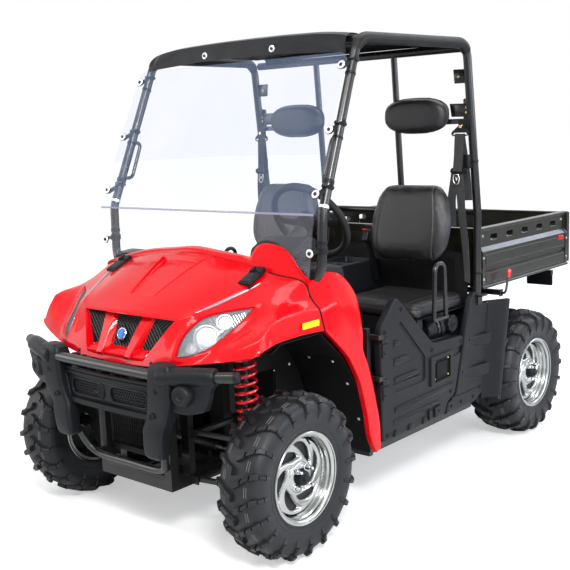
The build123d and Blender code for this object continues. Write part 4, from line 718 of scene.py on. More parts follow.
def rim_mesh(axle):
    """Dished alloy wheel: turned barrel, six windows cut between twisted spokes."""
    f = AXLES[axle][3]
    barrel = [(-f, 174), (-f + 3, 177), (-f + 8, 171), (-f + 6, 154), (-f + 50, 146),
              (-f + 62, 128), (f - 70, 128), (f - 66, 140), (f - 62, 143), (f - 46, 146),
              (f - 42, 150), (f - 30, 152), (f - 24, 153), (f - 20, 157), (f - 8, 160),
              (f - 4, 165), (f - 3, 171), (f - 1, 174.5), (f + 1.5, 176), (f + 3, 174.5),
              (f + 2, 170.5), (f - 2, 177), (f - 6, 174), (f - 9, 158), (f - 40, 156),
              (f - 60, 150), (f - 74, 133), (-f + 64, 133), (-f + 48, 151), (-f + 2, 158)]
    parts = Kit(revolve("barrel", barrel, 120))
    disc = f - 50
    windows, ring_points = 6, 40

    def dish(r):
        """Height of the spokes' face over the wheel's centre plane."""
        if r < 62:
            return disc + 15
        t = (r - 62) / 80
        return disc + 15 - 11 * sin(min(t, 1) * pi * 0.62) + 6 * max(0, t - 0.7)

    def twist(r):
        return radians(34) * ((r - 100) / 42)

    def window_point(w, k, share, drop):
        """A point from window w's edge (share 0) to its spokes' middle lines (share 1)."""
        q = 4 * k / ring_points
        t = q - int(q)
        box = [(-1 + 2 * t, -1), (1, -1 + 2 * t), (1 - 2 * t, 1), (-1, 1 - 2 * t)][int(q)]
        ang = atan2(box[1], box[0])
        edge = (0.56 * abs(cos(ang)) ** 0.6 * (1 if cos(ang) > 0 else -1),
                0.66 * abs(sin(ang)) ** 0.7 * (1 if sin(ang) > 0 else -1))
        u, v = (e + (b - e) * share for e, b in zip(edge, box))
        r = 101 + 41 * v
        bend = 1 - 0.22 * v if share < 0.99 else 1
        a = tau * w / windows + (pi / windows) * u * bend + twist(r)
        return dish(r) + drop, r * cos(a), r * sin(a)

    verts, faces = [], []
    levels = [(1.0, 0), (0.8, 0), (0.55, 0.2), (0.3, -1.2), (0.12, -4.5), (0.0, -10), (0.0, -24)]
    for w in range(windows):
        faces += quads(len(levels), ring_points, first=len(verts))
        verts += [window_point(w, k, share, drop) for share, drop in levels
                  for k in range(ring_points)]
    parts.add(raw_mesh("spokes", verts, faces, weld=0.02))
    hub = [(disc + 12, 61), (disc + 15, 60), (disc + 19, 56), (disc + 21, 50), (disc + 21, 34),
           (disc + 17, 30), (disc - 20, 30)]
    parts.add(revolve("hub", hub, 72))
    parts.add(revolve("disc_back", [(disc - 10, 142), (disc - 12, 132), (disc - 14, 66),
                                    (disc - 14, 30)], 72), 2)
    cap = [(disc + 10, 29), (disc + 40, 28), (disc + 44, 25), (disc + 46, 17), (disc + 54, 15),
           (disc + 57, 12), (disc + 57, 0.01)]
    parts.add(revolve("cap", cap, 48), 1)
    for i in range(4):
        turn = Matrix.Rotation(tau * (i + 0.5) / 4, 4, "X")
        nut = [(0, 12.5), (2, 12.5), (3, 9.6), (20, 9.6), (24, 6.5), (26, 6.2), (34, 6.0),
               (36, 4.5), (36, 0.01)]
        rings = []
        for d, r in nut:
            ring = []
            for k in range(24):
                a = tau * k / 24
                flat = 1 / max(cos(a % (pi / 3) - pi / 6), 0.86) * 0.95 if 2 < d < 21 else 1
                ring.append((disc + 20 + d, 45 + r * flat * cos(a), r * sin(a)))
            rings.append(ring)
        parts.add(loft("nut", rings), 3, turn)
    valve = lathe_at("valve", (f - 26, 146, 0), (0.7, -0.7, 0),
                     [(0, 4.5), (14, 4), (16, 3.2), (26, 3.2), (27, 0.01)], 12)
    parts.add(valve, 1, Matrix.Rotation(radians(75), 4, "X"))
    return merged("rim_" + axle, parts)


for axle, (y, x, _, _) in AXLES.items():
    tyre_data, rim_data = tyre_mesh(axle), rim_mesh(axle)
    for side, sign in (("left", 1), ("right", -1)):
        facing = Matrix.Rotation(0 if sign > 0 else pi, 4, "Z") @ Matrix.Scale(0.001, 4)
        place = Matrix.Translation(at(sign * x, y, AXLE_Z)) @ facing
        for kind, data, covers in (("tyre", tyre_data, [RUBBER, SEAM_GREY]),
                                   ("rim", rim_data, [ALLOY, BLACK, DARK_CAST, CHROME])):
            mesh = data.copy()
            mesh.transform(place)
            piece = new_piece(f"{kind}_{axle}_{side}_detail", mesh, covers,
                              f"wheel_{axle}_{side}", (f"{kind}_{axle}_{side}",),
                              30 if kind == "tyre" else 40)


# ---------------------------------------------------------------- bonnet moulding
# Control rows from the centre line out to the arch, as in the CAD, in mm.
HOOD_ROWS = [
    [(0, -302, 734), (110, -306, 738), (215, -310, 746), (312, -297, 756),
     (432, -256, 772), (545, -214, 788), (612, -186, 803), (634, -172, 812)],
    [(0, -290, 780), (110, -291, 782), (215, -292, 790), (302, -280, 806),
     (428, -222, 806), (552, -180, 836), (628, -146, 862), (643, -132, 828)],
    [(0, -247, 922), (118, -240, 920), (262, -220, 914), (321, -187, 934),
     (470, -132, 868), (572, -105, 892), (636, -100, 914), (648, -90, 840)],
    [(0, -130, 984), (118, -128, 984), (255, -115, 980), (370, -66, 976),
     (512, -30, 950), (590, -25, 938), (637, -35, 928), (650, -25, 844)],
    [(0, 0, 1054), (121, 2, 1052), (275, 12, 1040), (414, 38, 1012),
     (542, 70, 990), (600, 70, 952), (637, 72, 929), (650, 72, 844)],
    [(0, 115, 1114), (123, 120, 1104), (292, 127, 1082), (454, 137, 1046),
     (572, 163, 1022), (602, 168, 962), (637, 176, 920), (650, 187, 838)],
]
LAMP_TIP, LAMP_OUT = Vector((331, -285, 798)), Vector((0.491, -0.685, 0.537)).normalized()
LAMP_U = Vector((0.504, 0.727, 0.466))
LAMP_U = (LAMP_U - LAMP_OUT * LAMP_U.dot(LAMP_OUT)).normalized()
LAMP_V = LAMP_OUT.cross(LAMP_U)
LAMP_LINE = [(-4, -1), (30, 30), (62, 49), (98, 61), (130, 66), (161, 67), (190, 62), (220, 53),
             (252, 40), (286, 24), (333, -2), (295, -15), (243, -28), (187, -38), (150, -43),
             (116, -46), (84, -43), (56, -36), (32, -26), (12, -14)]


class Panel:
    """A smooth panel through rows of points, with folds kept along numbered rows and columns."""

    def __init__(self, rows, row_folds=(), column_folds=(), mirrored=True, soft=0.05):
        self.p = [[Vector(q) for q in row] for row in rows]
        self.rf, self.cf, self.mirrored, self.soft = row_folds, column_folds, mirrored, soft
        self.m, self.n = len(rows) - 1, len(rows[0]) - 1

    def line(self, pts, folds, t):
        """A place on one row."""
        last = len(pts) - 1
        j = min(max(int(t), 0), last - 1)
        b, c = pts[j], pts[j + 1]
        if j == 0 and self.mirrored:
            a = Vector((-c.x, c.y, c.z))
        elif j == 0 or j in folds:
            a = 2 * b - c
        else:
            a = pts[j - 1]
        d = 2 * c - b if j + 1 == last or j + 1 in folds else pts[j + 2]
        return cubic(a, b, c, d, t - j)

    def raw(self, s, t):
        """The point at row s and column t of the interpolated grid."""
        i = min(max(int(s), 0), self.m - 1)
        near = range(max(i - 1, 0), min(i + 2, self.m) + 1)
        column = {k: self.line(self.p[k], self.cf, t) for k in near}
        b, c = column[i], column[i + 1]
        a = 2 * b - c if i == 0 or i in self.rf else column[i - 1]
        d = 2 * c - b if i + 1 == self.m or i + 1 in self.rf else column[i + 2]
        return cubic(a, b, c, d, s - i)

    def __call__(self, s, t):
        """The point at row s and column t, averaged with its near ones so that folds are soft."""
        got = Vector()
        for ds in (-self.soft, 0, self.soft):
            for dt in (-self.soft, 0, self.soft):
                s1, t1 = s + ds, t + dt
                if s1 < 0 or s1 > self.m:
                    s1 = s
                if t1 > self.n:
                    t1 = t
                got += Vector((-1, 1, 1)) * self.raw(s1, -t1) if t1 < 0 else self.raw(s1, t1)
        return got / 9

    def normal(self, s, t, e=0.04):
        """The outward normal at row s and column t."""
        a = self(min(s + e, self.m), t) - self(max(s - e, 0), t)
        b = self(s, min(t + e, self.n)) - self(s, max(t - e, 0))
        return b.cross(a).normalized()

    def table(self):
        """Known places, eight to a cell, for find to start from."""
        if not hasattr(self, "_table"):
            k = 8
            self._table = [(i / k, j / k, self(i / k, j / k))
                           for i in range(self.m * k + 1) for j in range(self.n * k + 1)]
        return self._table

    def find(self, flat, target):
        """(s, t) where flat(point) is the 2-D target, by Newton's steps from the nearest known."""
        tx, ty = target

        def miss(row):
            x, y = flat(row[2])
            return (x - tx) ** 2 + (y - ty) ** 2

        s, t, _ = min(self.table(), key=miss)
        for _ in range(7):
            x, y = flat(self(s, t))
            e = 0.01
            s_e, t_e = (e if s < self.m - e else -e), (e if t < self.n - e else -e)
            xs, ys = flat(self(s + s_e, t))
            xt, yt = flat(self(s, t + t_e))
            a, b, c, d = (xs - x) / s_e, (xt - x) / t_e, (ys - y) / s_e, (yt - y) / t_e
            det = a * d - b * c
            if abs(det) < 1e-9:
                break
            ex, ey = tx - x, ty - y
            s = min(max(s + 0.8 * (d * ex - b * ey) / det, 0), self.m)
            t = min(max(t + 0.8 * (a * ey - c * ex) / det, 0), self.n)
        return s, t

    def grid(self, n_s, n_t):
        """Points and faces of an even grid over the panel."""
        verts = [self(self.m * i / n_s, self.n * j / n_t)
                 for i in range(n_s + 1) for j in range(n_t + 1)]
        return verts, quads(n_s + 1, n_t + 1, ring=False)


def inside(poly, x, y):
    """Whether a point lies in a closed outline."""
    hit = False
    for (x0, y0), (x1, y1) in zip(poly, poly[1:] + poly[:1]):
        if (y0 > y) != (y1 > y) and x < (x1 - x0) * (y - y0) / (y1 - y0) + x0:
            hit = not hit
    return hit


def away(poly, x, y):
    """Distance from a point to a closed outline."""
    best = 1e9
    for (x0, y0), (x1, y1) in zip(poly, poly[1:] + poly[:1]):
        dx, dy = x1 - x0, y1 - y0
        t = min(max(((x - x0) * dx + (y - y0) * dy) / (dx * dx + dy * dy or 1), 0), 1)
        best = min(best, hypot(x - x0 - t * dx, y - y0 - t * dy))
    return best


def grown(poly, by):
    """An outline moved outwards, its corners kept."""
    n, area = len(poly), sum(a[0] * b[1] - b[0] * a[1] for a, b in zip(poly, poly[1:] + poly[:1]))
    out = []
    for i in range(n):
        (x0, y0), (x1, y1), (x2, y2) = poly[i - 1], poly[i], poly[(i + 1) % n]
        a, b = Vector((y1 - y0, x0 - x1)).normalized(), Vector((y2 - y1, x1 - x2)).normalized()
        m = (a + b) / max(1 + a.dot(b), 0.35) * (by if area > 0 else -by)
        out.append((x1 + m.x, y1 + m.y))
    return out


def divided(poly, step, closed=True):
    """An outline with points added so that none are further apart than step."""
    out = []
    for a, b in zip(poly, poly[1:] + poly[:1] if closed else poly[1:]):
        k = max(1, ceil(hypot(b[0] - a[0], b[1] - a[1]) / step))
        out += [(a[0] + (b[0] - a[0]) * i / k, a[1] + (b[1] - a[1]) * i / k) for i in range(k)]
    return out if closed else out + [poly[-1]]


FINE = (0, .04, .1, .2, .34, .5, .66, .8, .9, .96)     # grid lines of a cell, closer at its folds


def panel_mesh(panel, outlines, holes, shape):
    """The panel's points and faces, with each outline's own edges, its holes cut, then shaped.

    outlines are closed lines of (s, t), holes are those cut out, and shape(point, s, t, tag)
    moves a point, where tag is the number of the outline that it is on, or None."""
    pts, tags, edges = [], [], []
    for number, line in enumerate(outlines):
        first = len(pts)
        pts += [Vector(p) for p in line]
        tags += [number] * len(line)
        edges += [(first + k, first + (k + 1) % len(line)) for k in range(len(line))]
    s_all = [i + f for i in range(panel.m) for f in FINE] + [panel.m]
    t_all = [j + f for j in range(panel.n) for f in FINE] + [panel.n]
    boxes = [(min(p[0] for p in o) - 0.1, max(p[0] for p in o) + 0.1,
              min(p[1] for p in o) - 0.1, max(p[1] for p in o) + 0.1) for o in outlines]
    for s in s_all:
        for t in t_all:
            on_edge = s in (0, panel.m) or t in (0, panel.n)
            if not on_edge and any(b[0] < s < b[1] and b[2] < t < b[3] and away(o, s, t) < 0.03
                                   for o, b in zip(outlines, boxes)):
                continue
            pts.append(Vector((s, t)))
            tags.append(None)
    out, _, faces, origin, _, _ = geometry.delaunay_2d_cdt(pts, edges, [], 0, 1e-5)
    verts = []
    for p, source in zip(out, origin):
        tag = next((tags[k] for k in source if tags[k] is not None), None)
        verts.append(shape(panel(p.x, p.y), p.x, p.y, tag))
    kept = []
    for f in faces:
        cx, cy = sum(out[k].x for k in f) / len(f), sum(out[k].y for k in f) / len(f)
        if not any(inside(h, cx, cy) for h in holes):
            kept.append(f)
    used = sorted({k for f in kept for k in f})
    index = {k: i for i, k in enumerate(used)}
    return [verts[k] for k in used], [tuple(index[k] for k in f) for f in kept]


def both_sides(name, verts, faces, thick=0.0):
    """Mirror a half to both sides, in mm, thicken it inwards and bring it to the row frame."""
    n = len(verts)
    all_verts = [tuple(v) for v in verts] + [(-v[0], v[1], v[2]) for v in verts]
    all_faces = list(faces) + [tuple(n + k for k in reversed(f)) for f in faces]
    return finish_shell(raw_mesh(name, all_verts, all_faces, weld=0.01), thick)


def applied(obj):
    """The object's mesh with its modifiers applied."""
    graph = bpy.context.evaluated_depsgraph_get()
    return bpy.data.meshes.new_from_object(obj.evaluated_get(graph), depsgraph=graph)


def finish_shell(mesh, thick):
    """A skin in station mm brought to the row frame and thickened inwards."""
    mm(mesh)
    if not thick:
        return mesh
    obj = bpy.data.objects.new("temp", mesh)
    bpy.context.collection.objects.link(obj)
    mod = obj.modifiers.new("thick", "SOLIDIFY")
    mod.thickness, mod.offset = thick / 1000, -1
    out = applied(obj)
    bpy.data.objects.remove(obj)
    return out


def turned_in(rows):
    """Rows with their outer edge folded inwards."""
    return [row + [(row[-1][0] - 26, row[-1][1], row[-1][2] + 3)] for row in rows]


HOOD = Panel(turned_in(HOOD_ROWS), (2,), (3, 6, 7))
GRILLE_EDGE = [(0, 915), (120, 914), (264, 909), (165, 757), (80, 756), (0, 755)]


def scoop_at(u, v, inset=0.0):
    """Place in the scoop's trapezoid, u from the middle out and v from front to rear."""
    wide = 71 - inset + (49 - inset * 0.6) * v
    return u * wide, -152 + inset + (236 + 4 * u - 2.4 * inset) * v


def lamp_flat(p):
    """A point's place along and up the headlamp."""
    d = p - LAMP_TIP
    return d.dot(LAMP_U), d.dot(LAMP_V)


def front_flat(p):
    """A point as the front view shows it."""
    return p.x, p.z


def top_flat(p):
    """A point as the top view shows it."""
    return p.x, p.y


def smooth(t):
    """An eased step from 0 to 1."""
    t = min(max(t, 0), 1)
    return t * t * (3 - 2 * t)


NOSE_LIP = 5             # how far the rim round the lamp stands out, in mm
SCOOP_WALL = [           # inwards from the scoop's edge, down from the panel
    (0, 0), (0.2, -1.6), (1.2, -2.6), (2.8, -2.4), (3.8, -0.6), (4.4, 2.2), (6.0, 6.4), (8.0, 7.6),
]


def hood_piece():
    """The bonnet's skin with its lamp and grille openings and its scoop, and the lamp's edge."""
    lamp = flat_spline(LAMP_LINE[:10], 3) + flat_spline(LAMP_LINE[10:] + LAMP_LINE[:1], 3)[:-1]
    rim_uv = ([(k / 6, 0) for k in range(7)] + [(1, k / 16) for k in range(1, 17)]
              + [(1 - k / 6, 1) for k in range(1, 7)])

    def placed(flat, line):
        """The line's places on the panel, those on the middle plane exactly there."""
        found = [HOOD.find(flat, p) for p in line]
        return [(s, 0.0 if p[0] < 0.5 else t) for p, (s, t) in zip(line, found)]

    lamp_edge = [HOOD.find(lamp_flat, p) for p in lamp]
    lamp_rim = [HOOD.find(lamp_flat, p) for p in grown(lamp, 5)]
    grille = placed(front_flat, divided(GRILLE_EDGE, 25))
    scoop = placed(top_flat, [scoop_at(u, v) for u, v in rim_uv])

    def shape(p, s, t, tag):
        """Draws the lamp's edge in and lets the panel rise to the rim round it."""
        if tag == 0:
            return p - LAMP_OUT * 3
        if tag == 1:
            return p + LAMP_OUT * NOSE_LIP
        u, v = lamp_flat(p)
        if -60 < u < 400 and -120 < v < 130 and s < 4.6:
            d = away(lamp, u, v)
            if d < 34 and not inside(lamp, u, v):
                p = p + LAMP_OUT * NOSE_LIP * (1 - smooth((d - 9) / 20))
        return p

    verts, faces = panel_mesh(HOOD, [lamp_edge, lamp_rim, grille, scoop],
                              [lamp_edge, grille, scoop], shape)

    def sunk(u, v, inset, depth):
        """A place in the scoop, which gets deeper towards its rear."""
        s, t = HOOD.find(top_flat, scoop_at(u, v, inset))
        return HOOD(s, 0.0 if u < 0.01 else t) - Vector((0, 0, depth * (0.8 + 1.1 * v)))

    walls = [[HOOD(*q) for q in scoop]]
    walls += [[sunk(u, v, inset, depth) for u, v in rim_uv] for inset, depth in SCOOP_WALL[1:]]
    floor_rows = [[sunk(u / 6, v / 16, *SCOOP_WALL[-1]) for u in range(7)] for v in range(17)]
    for rows in (walls, floor_rows):
        strip_verts, strip_faces = quad_strips([rows])
        faces += [tuple(len(verts) + k for k in f) for f in strip_faces]
        verts += strip_verts
    rim = [HOOD(s, t) - LAMP_OUT * 3 for s, t in lamp_edge]
    return both_sides("hood_shell", verts, faces, thick=3.0), rim


def quad_strips(strips):
    """Half of a folded sheet from lists of lines of points."""
    verts, faces = [], []
    for rows in strips:
        faces += quads(len(rows), len(rows[0]), ring=False, first=len(verts))
        verts += [Vector(p) for row in rows for p in row]
    return verts, faces


def behind_grille(x, z, out=0.0):
    """A place on the raked plane of the nose's mesh, so many mm in front of it."""
    return Vector((x, -212 - (900 - z) * 0.43 - out, z))


def grille_insert():
    """Ledge, wedge ribs, sills and side walls round the three mesh panels."""
    def on(points):
        return [HOOD(*HOOD.find(front_flat, p)) for p in divided(points, 20, False)]

    def mesh_y(z):
        return behind_grille(0, z).y

    def rib_line(ends, foot):
        """A rib's edge, bowed inwards, from its top to the end of its foot."""
        (x0, z0), (x1, z1) = ends
        line = []
        for k in range(7):
            t = k / 6
            bow = 3.0 * sin(pi * t)
            line.append(Vector((x0 + (x1 - x0) * t - bow, -213 - 98 * t ** 0.94,
                                z0 + (z1 - z0) * t)))
        return line + [Vector(foot)]

    def face_edge(line, inset):
        """The edge of a rib's front face."""
        return ([p + Vector((inset, -2.5, 0)) for p in line[:-1]]
                + [line[-1] + Vector((inset, -4, 0))])

    def down_to_mesh(line, out):
        return [Vector((p.x + out, mesh_y(p.z), p.z)) for p in line[:-1]] + [line[-1]]

    top, side = on(GRILLE_EDGE[:3]), on(GRILLE_EDGE[2:4])
    inner = rib_line(((82, 909), (66, 768)), (66, -303, 755))
    outer = rib_line(((140, 908), (99, 766)), (99, -304, 755))
    strips = [
        [top, [Vector((p.x * 0.985, -208, 906)) for p in top]],
        [side, [Vector((p.x - 7, mesh_y(p.z), p.z)) for p in side]],
        [inner, face_edge(inner, 2.5), face_edge(outer, -2.5), outer],
        [inner, down_to_mesh(inner, -11)],
        [outer, down_to_mesh(outer, 11)],
    ]
    back_y = mesh_y(789)
    for x0, x1, xb0, xb1 in ((0, 66, 0, 60), (99, 168, 106, 160)):
        rows = []
        for share, z in ((0, 789), (0.06, 788), (0.92, 771), (1.0, 767), (1.0, 754)):
            row = []
            for k in range(5):
                t = k / 4
                x_front, x_back, front_y = x0 + (x1 - x0) * t, xb0 + (xb1 - xb0) * t, -303 + t
                row.append((x_back + (x_front - x_back) * share,
                            back_y + (front_y - back_y) * share, z))
            rows.append(row)
        strips.append(rows)
    return both_sides("grille_insert", *quad_strips(strips))


def lattice():
    """Diamond mesh of crossed bars behind the openings, and a black sheet behind it as painted
    shade for the dark inside of the nose.
    """
    verts, faces = [], []
    pitch, foot, top, middle = 19.0, 784, 908, 846

    def strip(x0, x1, w, out):
        """A bar from the foot to the top, its back flat and its front a ridge."""
        base = len(verts)
        dx, dz = x1 - x0, top - foot
        k = w / 2 / hypot(dx, dz)
        for px, pz in ((x0 - dz * k, foot + dx * k), (x0 + dz * k, foot - dx * k),
                       (x1 + dz * k, top - dx * k), (x1 - dz * k, top + dx * k)):
            verts.append(behind_grille(px, pz, out))
        for px, pz in ((x0, foot), (x1, top)):
            verts.append(behind_grille(px, pz, out + 1.6))
        faces.extend([(base, base + 3, base + 5, base + 4),
                      (base + 1, base + 4, base + 5, base + 2)])

    for slope, out in ((0.85, 0.4), (-0.85, 1.0)):
        for n in range(-60, 60):
            x0, x1 = n * pitch + (foot - middle) / slope, n * pitch + (top - middle) / slope
            if max(abs(x0), abs(x1)) < 300:
                strip(x0, x1, 4.0, out)
    # the black sheet behind the bars is painted shade: it stands in for the dark inside of the nose
    base = len(verts)
    verts.extend(behind_grille(x, z, -2)
                 for x, z in ((-262, 782), (262, 782), (262, 909), (-262, 909)))
    faces.append((base, base + 1, base + 2, base + 3))
    return mm(raw_mesh("lattice", verts, faces, [0] * (len(faces) - 1) + [1], 1e-7))


hood_mesh, LAMP_EDGE = hood_piece()
hood = new_piece("bonnet_moulding", hood_mesh, RED, "hood_body", ("hood",), 32)
new_piece("nose_ribs", grille_insert(), RED, "hood_body", (), 30)
new_piece("nose_lattice", lattice(), [BLACK_GLOSS, SEAL_AND_SHADE], "hood_body", ("grille_mesh",), None)
NOSE_OUT = (0, -1, 0.42)
badge = Kit(lathe_at("ring", at(0, -256, 838), NOSE_OUT, [
    (0, 0.025), (0.004, 0.0245), (0.0062, 0.0225), (0.005, 0.021), (0.005, 0.0208)], 40))
badge.add(lathe_at("disc", at(0, -260, 839), NOSE_OUT, [
    (0, 0.0208), (0.0015, 0.0205), (0.003, 0.014), (0.0036, 0.00001)], 40), 1)
new_piece("nose_roundel", badge, [CHROME, BLUE], "hood_body")


# ---------------------------------------------------------------- headlamps
def lamp_rings(levels):
    """Rings inside the lamp's edge, from (share of the way out, outward bulge) levels."""
    mid = sum(LAMP_EDGE, Vector()) / len(LAMP_EDGE)
    return [[mid + (p - mid) * share + LAMP_OUT * out for p in LAMP_EDGE] for share, out in levels]


def lamp_point(u, v, out=0.0):
    """A place in the lamp: along it, up it and out of it."""
    return LAMP_TIP + LAMP_U * u + LAMP_V * v + LAMP_OUT * out


lens = loft("lens", lamp_rings([(0.985, -3), (0.99, 2), (0.95, 5), (0.85, 9), (0.7, 12.5),
                                (0.5, 15), (0.25, 16.5), (0.02, 17)]), True)
new_piece("headlamp_lenses", mirrored(mm(lens)), LENS, "hood_body", ("lamp_lenses",), 60)
housing = loft("housing", lamp_rings([(0.995, 1), (0.975, 1.5), (0.965, -2), (0.95, -12),
                                      (0.9, -26)]), False)
tray = loft("tray", lamp_rings([(0.93, -14), (0.9, -20), (0.84, -24), (0.78, -32), (0.6, -44),
                                (0.4, -50), (0.02, -52)]), False)
bowls = Kit(housing)
bowls.add(tray, 1)
for u, v, r, tall in ((128, 6, 43, 26), (216, 16, 27, 18), (62, -4, 17, 12)):
    ring = [(-tall, 0.01), (-tall, 3), (-tall * 0.86, r * 0.4), (-tall * 0.55, r * 0.72),
            (0, r * 0.98), (2.4, r), (2.4, r + 3), (-6, r + 4.5)]
    heart = lamp_point(u, v, -16)
    bowls.add(lathe_at("bowl", heart, LAMP_OUT, ring, 40), 1)
    bulb = [(-tall, 6), (-tall * 0.3, 6), (-tall * 0.2, 8), (-tall * 0.1, 7), (-tall * 0.05, 0.01)]
    bowls.add(lathe_at("bulb", heart, LAMP_OUT, bulb, 20), 2)
for k in range(7):
    u0 = 232 + 10 * k
    half = 26 - 3.2 * k
    fin = bar("fin", [lamp_point(u0, -half - 4, -22), lamp_point(u0 + 3, half, -22)],
              [(-9, -1.2), (7, -1.2), (7, 1.2), (-9, 1.2)], LAMP_OUT)
    bowls.add(fin, 1)
new_piece("headlamp_bowls", mirrored(mm(merged("lamp", bowls))), [BLACK, REFLECTOR, LENS],
          "hood_body", ("lamp_bowls",), 40)


# ---------------------------------------------------------------- trim on the bonnet
def surface_leaf(panel, start, end, widths, lift, bend=0.0):
    """A slim raised strip laid on a panel between two places, in top view."""
    rows = []
    dx, dy = end[1] - start[1], -(end[0] - start[0])
    length = hypot(dx, dy)
    for k, wide in enumerate(widths):
        t = k / (len(widths) - 1)
        x = start[0] + (end[0] - start[0]) * t + bend * sin(pi * t)
        y = start[1] + (end[1] - start[1]) * t
        row = []
        for share, up in ((-1, -1.5), (-0.92, lift * 0.7), (-0.35, lift), (0.35, lift),
                          (0.92, lift * 0.7), (1, -1.5)):
            s, q = panel.find(top_flat, (x + dx / length * wide * share,
                                         y + dy / length * wide * share))
            row.append(panel(s, q) + panel.normal(s, q) * up)
        rows.append(row)
    return raw_mesh("leaf", *quad_strips([rows]))


leaf = surface_leaf(HOOD, (327, -176), (436, 70),
                    [0.3, 2, 3.6, 5, 6, 6.6, 7, 7.2, 7.4, 7.4, 7.2, 6.8, 6, 3], 2.2, 6)
new_piece("crease_trim", mirrored(mm(leaf)), TRIM, "hood_body")
s, t = HOOD.find(front_flat, (214, 757))
hole_at, hole_n = HOOD(s, t), HOOD.normal(s, t)
clip = lathe_at("clip", hole_at - hole_n * 1, hole_n,
                [(0, 7.5), (2, 7.2), (3, 5.5), (3.4, 3), (2.2, 2.4), (2.2, 0.01)], 20)
new_piece("nose_clips", mirrored(mm(clip)), BLACK, "hood_body")


def reflector(name, x, ys, zs, cover, body):
    """A shallow reflector on both outer sides, rounded at its rim."""
    size = (0.004, (ys[1] - ys[0]) / 1000, (zs[1] - zs[0]) / 1000)
    block = rounded_block(name, size, 0.0016, place=at(x, sum(ys) / 2, sum(zs) / 2))
    return new_piece(name, mirrored(block), cover, body)


# ---------------------------------------------------------------- cowl and driver's hump
COWL = [                 # x, seam y, seam z, crest z
    (-594, 172, 1008, 1016), (-572, 167, 1024, 1034), (-454, 141, 1048, 1068),
    (-292, 131, 1084, 1102), (-123, 124, 1106, 1120), (0, 119, 1116, 1130), (123, 124, 1106, 1120),
    (240, 128, 1092, 1108), (300, 131, 1084, 1102), (322, 132, 1080, 1112), (340, 133, 1077, 1139),
    (362, 134, 1072, 1154), (400, 136, 1064, 1158), (440, 139, 1057, 1154), (478, 146, 1048, 1141),
    (508, 152, 1041, 1117), (530, 157, 1034, 1090), (548, 161, 1029, 1068), (566, 165, 1024, 1050),
    (582, 169, 1016, 1036), (594, 172, 1008, 1024),
]
rows = []
for x, y, seam, crest in COWL:
    rows.append([(x, y - 1, seam - 24), (x, y, seam),
                 (x, y + (crest - seam) * 0.1 + 2, (seam + crest) / 2),
                 (x, y + 7 + (crest - seam) * 0.16, crest - 2.5), (x, min(y + 26, 166), crest + 1),
                 (x, 171, crest), (x, 171.5, crest - 26)])
cowl_panel = Panel(rows, (), (), False, 0.0)
cowl_mesh = finish_shell(raw_mesh("cowl", *cowl_panel.grid(120, 24)), 2.5)
cowl_piece = new_piece("cowl_moulding", cowl_mesh, RED, "vehicle", ("cowl",), 50)


# ---------------------------------------------------------------- wings behind the wheels
# Control rows from the bonnet's rear edge down to the sill, each from inside out, in mm.
FENDER_ROWS = [
    [(576, 170, 1018), (603, 172, 960), (637, 180, 920), (650, 191, 838)],
    [(594, 275, 1050), (619, 275, 985), (643, 278, 926), (652, 285, 752)],
    [(602, 358, 1030), (628, 350, 960), (646, 312, 888), (652, 336, 698)],
    [(614, 437, 937), (638, 415, 860), (648, 360, 816), (652, 372, 642)],
    [(640, 442, 790), (646, 422, 770), (650, 405, 740), (652, 394, 604)],
    [(642, 438, 715), (648, 434, 705), (651, 430, 695), (652, 408, 572)],
    [(640, 468, 655), (646, 464, 648), (651, 458, 640), (652, 424, 520)],
    [(636, 518, 528), (643, 508, 528), (650, 494, 526), (652, 445, 446)],
    [(634, 540, 395), (642, 537, 395), (650, 530, 395), (652, 468, 332)],
    [(632, 545, 272), (641, 543, 272), (648, 538, 274), (650, 506, 264)],
]
WING = Panel(turned_in(FENDER_ROWS), (), (2, 3), False, 0.09)
wing_mesh = both_sides("wings", *WING.grid(WING.m * 8, WING.n * 9), thick=3.0)
wing = new_piece("wheel_wings", wing_mesh, RED, "vehicle", ("side_fenders",), 40)
reflector("amber_reflectors", 651.5, (55, 152), (865, 889), YELLOW, "hood_body")


# ---------------------------------------------------------------- springs
def coil(name, low, high, turns, radius, wire, end_radius):
    """A coil round the line from low to high, its lowest turns drawn in."""
    low, high = Vector(low), Vector(high)
    axis = high - low
    way = axis.normalized()
    u = way.orthogonal().normalized()
    v = way.cross(u)
    n = turns * 28
    path = []
    for k in range(n + 1):
        t = k / n
        a = tau * turns * t
        r = end_radius + (radius - end_radius) * smooth(t / 0.28) if t < 0.28 else radius
        path.append(low + axis * t + (u * cos(a) + v * sin(a)) * r)
    rings = []
    for i, p in enumerate(path):
        along = (path[min(i + 1, n)] - path[max(i - 1, 0)]).normalized()
        out = p - (low + axis * (i / n))
        out = (out - along * out.dot(along)).normalized()
        side = along.cross(out)
        rings.append([p + (out * cos(tau * k / 10) + side * sin(tau * k / 10)) * wire / 2
                      for k in range(10)])
    return loft(name, rings)


# lower and upper end of the front and the rear shock on the left
SHOCKS = (((424, 0, 250), (398, 0, 779)), ((400, 1760, 280), (306, 1760, 749)))
coils, shafts = Kit(), Kit()
for low_end, high_end in SHOCKS:
    a, b = Vector(low_end), Vector(high_end)
    coils.add(coil("coil", a.lerp(b, 0.385), a.lerp(b, 0.94), 9, 40, 13.5, 33))
    size = (b - a).length
    for name, slot, count, outline in (     # shares of the shock's length, radius
            ("shaft", 0, 28, [(0.53, 19.4), (0.55, 20), (0.62, 20), (0.63, 18), (0.632, 8)]),
            ("rod", 2, 20, [(0.63, 8), (0.9, 8)]),
            ("stop", 1, 28, [(0.86, 12.2), (0.87, 19), (0.94, 21), (0.945, 12.2)])):
        outline = [(size * d, r) for d, r in outline]
        shafts.add(lathe_at(name, a, (b - a).normalized(), outline, count), slot)
new_piece("coil_springs", mirrored(mm(merged("coils", coils))), SPRING_RED, "vehicle", ("springs",))
